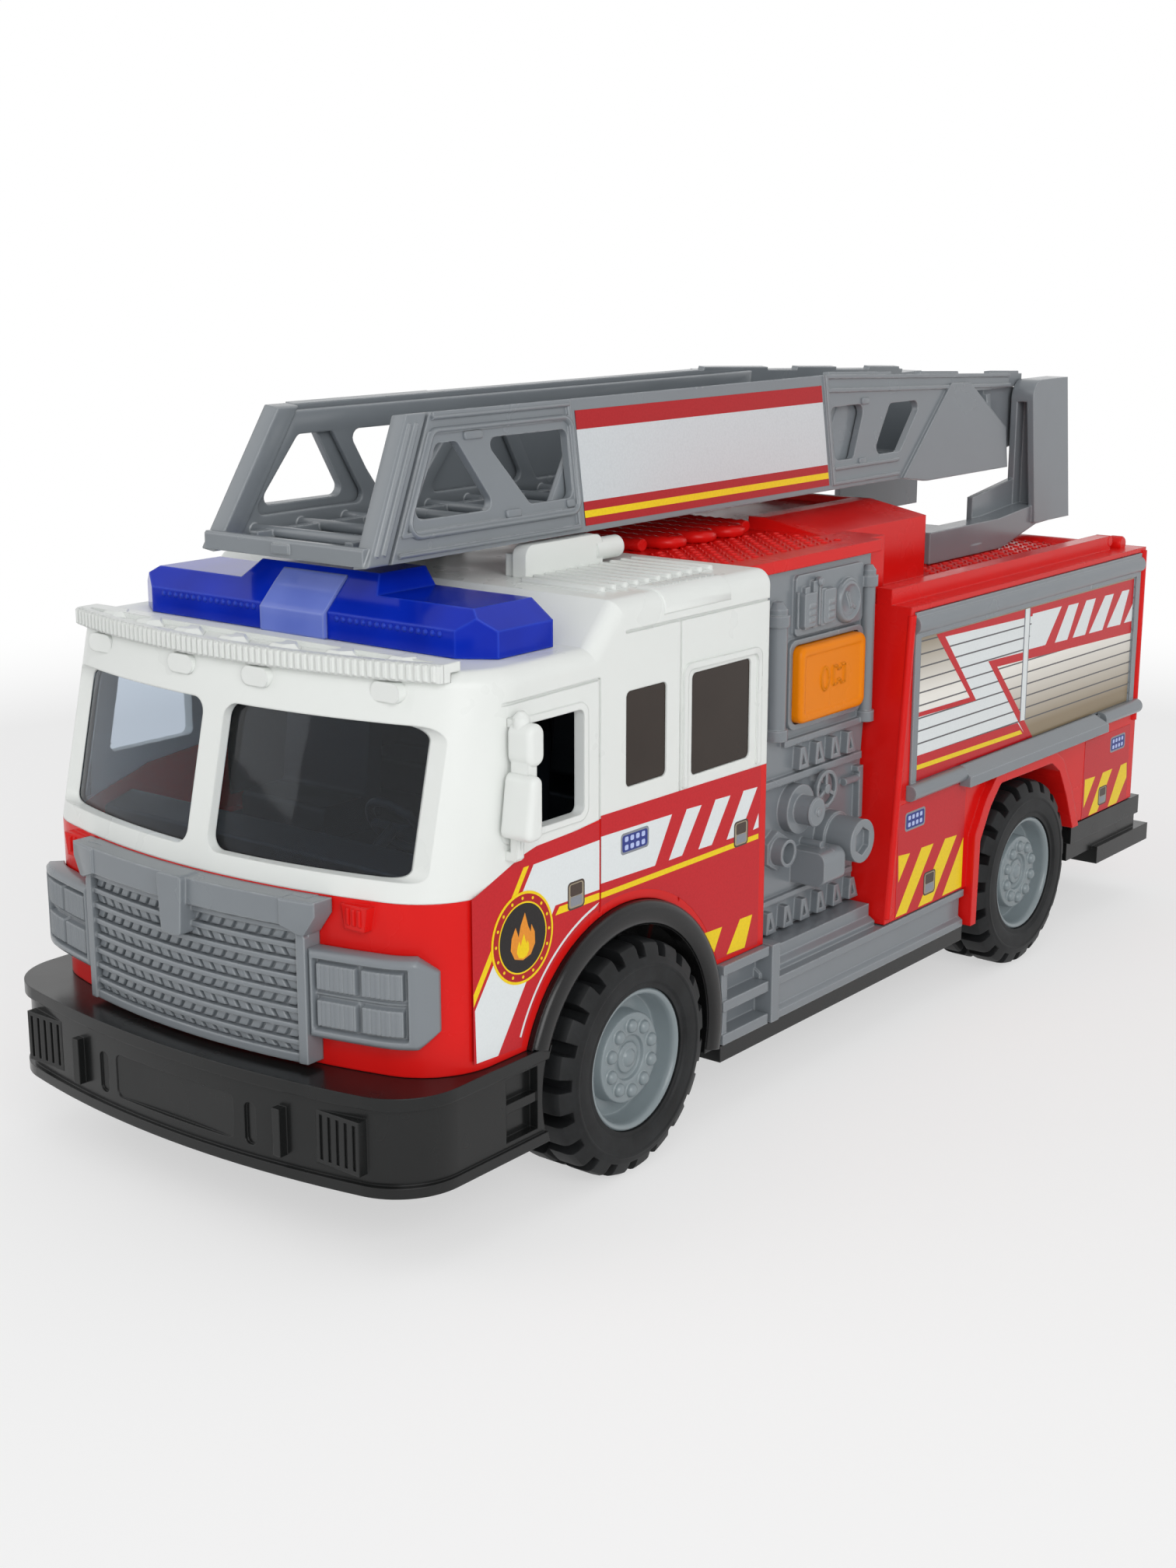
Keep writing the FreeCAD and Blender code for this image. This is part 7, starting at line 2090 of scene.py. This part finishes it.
# ---- frame nodes ----
# names without the ending of their side
NODE_FINISHES: dict[str, Finish] = {
    "chassis": BLACK_ABS, "battery_cover": BLACK_ABS, "front_bumper": BLACK_ABS, "rear_step": BLACK_ABS,
    "front_arch": BLACK_GLOSS_SHADED, "cab_lower": RED_ABS, "rear_body": RED_ABS,
    "cab_upper": WHITE_ABS, "sun_visor": WHITE_ABS, "mirror": WHITE_ABS, "ladder_rest": WHITE_ABS,
    "windscreen": CLEAR, "side_glass": BROWN_ABS, "cab_interior": DARK_ABS,
    "grille": GREY_ABS, "headlamp": GREY_ABS, "light_bar": BLUE_LENS, "light_bar_lens": BLUE_LIGHT,
    "pump_panel": GREY_ABS, "sound_button": ORANGE_ABS, "running_board": GREY_ABS, "shutter": GREY_ABS,
    "rear_fender": GREY_ABS, "tail_lamp": LAMP_RED,
    "turntable": GREY_ABS, "ladder_outer": GREY_ABS, "ladder_inner": GREY_ABS,
    "hinge_pin": STEEL, "front_axle": STEEL, "rear_axle": STEEL,
    "front_hub": HUB_ABS, "rear_hub": HUB_ABS,
}


def dress_frame() -> None:
    """Gives every frame node its finish; the tyres' own pieces stand in for their nodes."""
    for name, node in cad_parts.items():
        finish = NODE_FINISHES.get(name.removesuffix("_left").removesuffix("_right"))
        if finish is None:
            continue
        for slot in node.material_slots:
            slot.material = finish.material()
        LOG.info("%s is %s", name, finish.name)


# ---- studio ----
@dataclass
class Studio:
    """Pale floor, even soft light and the camera."""

    eye: Point3 = (0.2912, -0.3972, 0.1777)
    azimuth_deg: float = 38.20
    pitch_deg: float = 14.29
    lens_mm: float = 49.71
    floor_reach: float = 4000.0
    world_strength: float = 0.45
    # place in metres, side in metres and power in watts of each soft light
    lamps: tuple[tuple[str, Point3, float, float], ...] = (
        ("key_softbox", (0.95, -0.70, 0.55), 0.8, 7.2),
        ("fill_softbox", (-0.75, -0.75, 0.6), 0.9, 2.4),
        ("top_softbox", (0.1, 0.25, 1.2), 0.8, 1.0))
    lamp_aim: Point3 = (0.0, 0.0, 0.06)

    def build(self) -> None:
        """Makes the whole studio."""
        bpy.context.scene.view_settings.view_transform = "Standard"
        self.floor()
        self.world()
        for lamp in self.lamps:
            self.lamp(*lamp)
        self.camera()

    def lamp(self, name: str, at: Point3, size: float, power: float) -> None:
        """Adds a square soft light that points at the truck.

        Args:
            name: name of the light.
            at: its place in metres.
            size: its side in metres.
            power: its power in watts.
        """
        data = bpy.data.lights.new(name, "AREA")
        data.shape = "SQUARE"
        data.size = size
        data.energy = power
        light = bpy.data.objects.new(name, data)
        light.location = at
        light.rotation_euler = (Vector(self.lamp_aim) - Vector(at)).to_track_quat("-Z", "Y").to_euler()
        bpy.context.scene.collection.objects.link(light)

    def floor(self) -> None:
        """Adds a wide pale floor that fades into the white surround away from the truck."""
        shaper = Shaper()
        reach = self.floor_reach
        shaper.shell([(x, y, 0) for x, y in oblong((-reach, -reach), (reach, reach))], [(0, 1, 2, 3)])
        floor = shaper.object("studio_floor", [FLOOR])

    def world(self) -> None:
        """Lights the truck from all round, and shows plain white behind it."""
        world = bpy.data.worlds.new("studio_white")
        world.use_nodes = True
        tree = world.node_tree
        tree.nodes.clear()
        strength = add_node(tree, "MapRange", inputs={
            "Value": shown_rays(tree), "To Min": self.world_strength, "To Max": 1.0})
        glow = add_node(tree, "Background", inputs={"Color": WHITE, "Strength": strength})
        add_node(tree, "OutputWorld", inputs={"Surface": glow})
        bpy.context.scene.world = world

    def camera(self) -> None:
        """Adds the camera and makes it the scene's own."""
        data = bpy.data.cameras.new("studio_camera")
        data.sensor_width = 36.0
        data.lens = self.lens_mm
        data.clip_start = 0.01
        data.clip_end = 20.0
        camera = bpy.data.objects.new("studio_camera", data)
        turn, tip = math.radians(self.azimuth_deg), math.radians(self.pitch_deg)
        look = Vector((-math.sin(turn) * math.cos(tip), math.cos(turn) * math.cos(tip), -math.sin(tip)))
        camera.location = self.eye
        camera.rotation_euler = look.to_track_quat("-Z", "Y").to_euler()
        bpy.context.scene.collection.objects.link(camera)
        bpy.context.scene.camera = camera


def main() -> None:
    """Builds every sub-assembly around the frame and reports it."""
    logging.basicConfig(level=logging.INFO, format="%(message)s")
    dress_frame()
    for axle in ("front", "rear"):
        for side in Side:
            Tyres().build(f"{axle}_tyre_{side.label}", f"{axle}_wheels")
            Hubs().build(f"{axle}_hub_{side.label}", f"{axle}_wheels")
    LadderExtension().build()
    LadderTrim().build()
    ArchLips().build()
    for side in Side:
        for stickers in (CabStickers(), BodyStickers(), ShutterStickers(), LadderStickers()):
            stickers.build(side)
    GrilleMesh().build()
    Headlamps().build()
    CornerMarkers().build()
    CabDetails().build()
    CabLining().build()
    for side in Side:
        PumpDetails().build(side)
    BodyDetails().build()
    BeaconStuds().build()
    TreadPlates().build("housing_tread", (20.0, -34.0), (44.0, 12.0), HOUSING_TOP)
    TreadPlates().build("deck_tread", (8.0, 64.0), (44.0, 134.0), DECK_TOP)
    HoseBed().build(HOUSING_TOP)
    Studio().build()


if __name__ == "__main__":
    main()
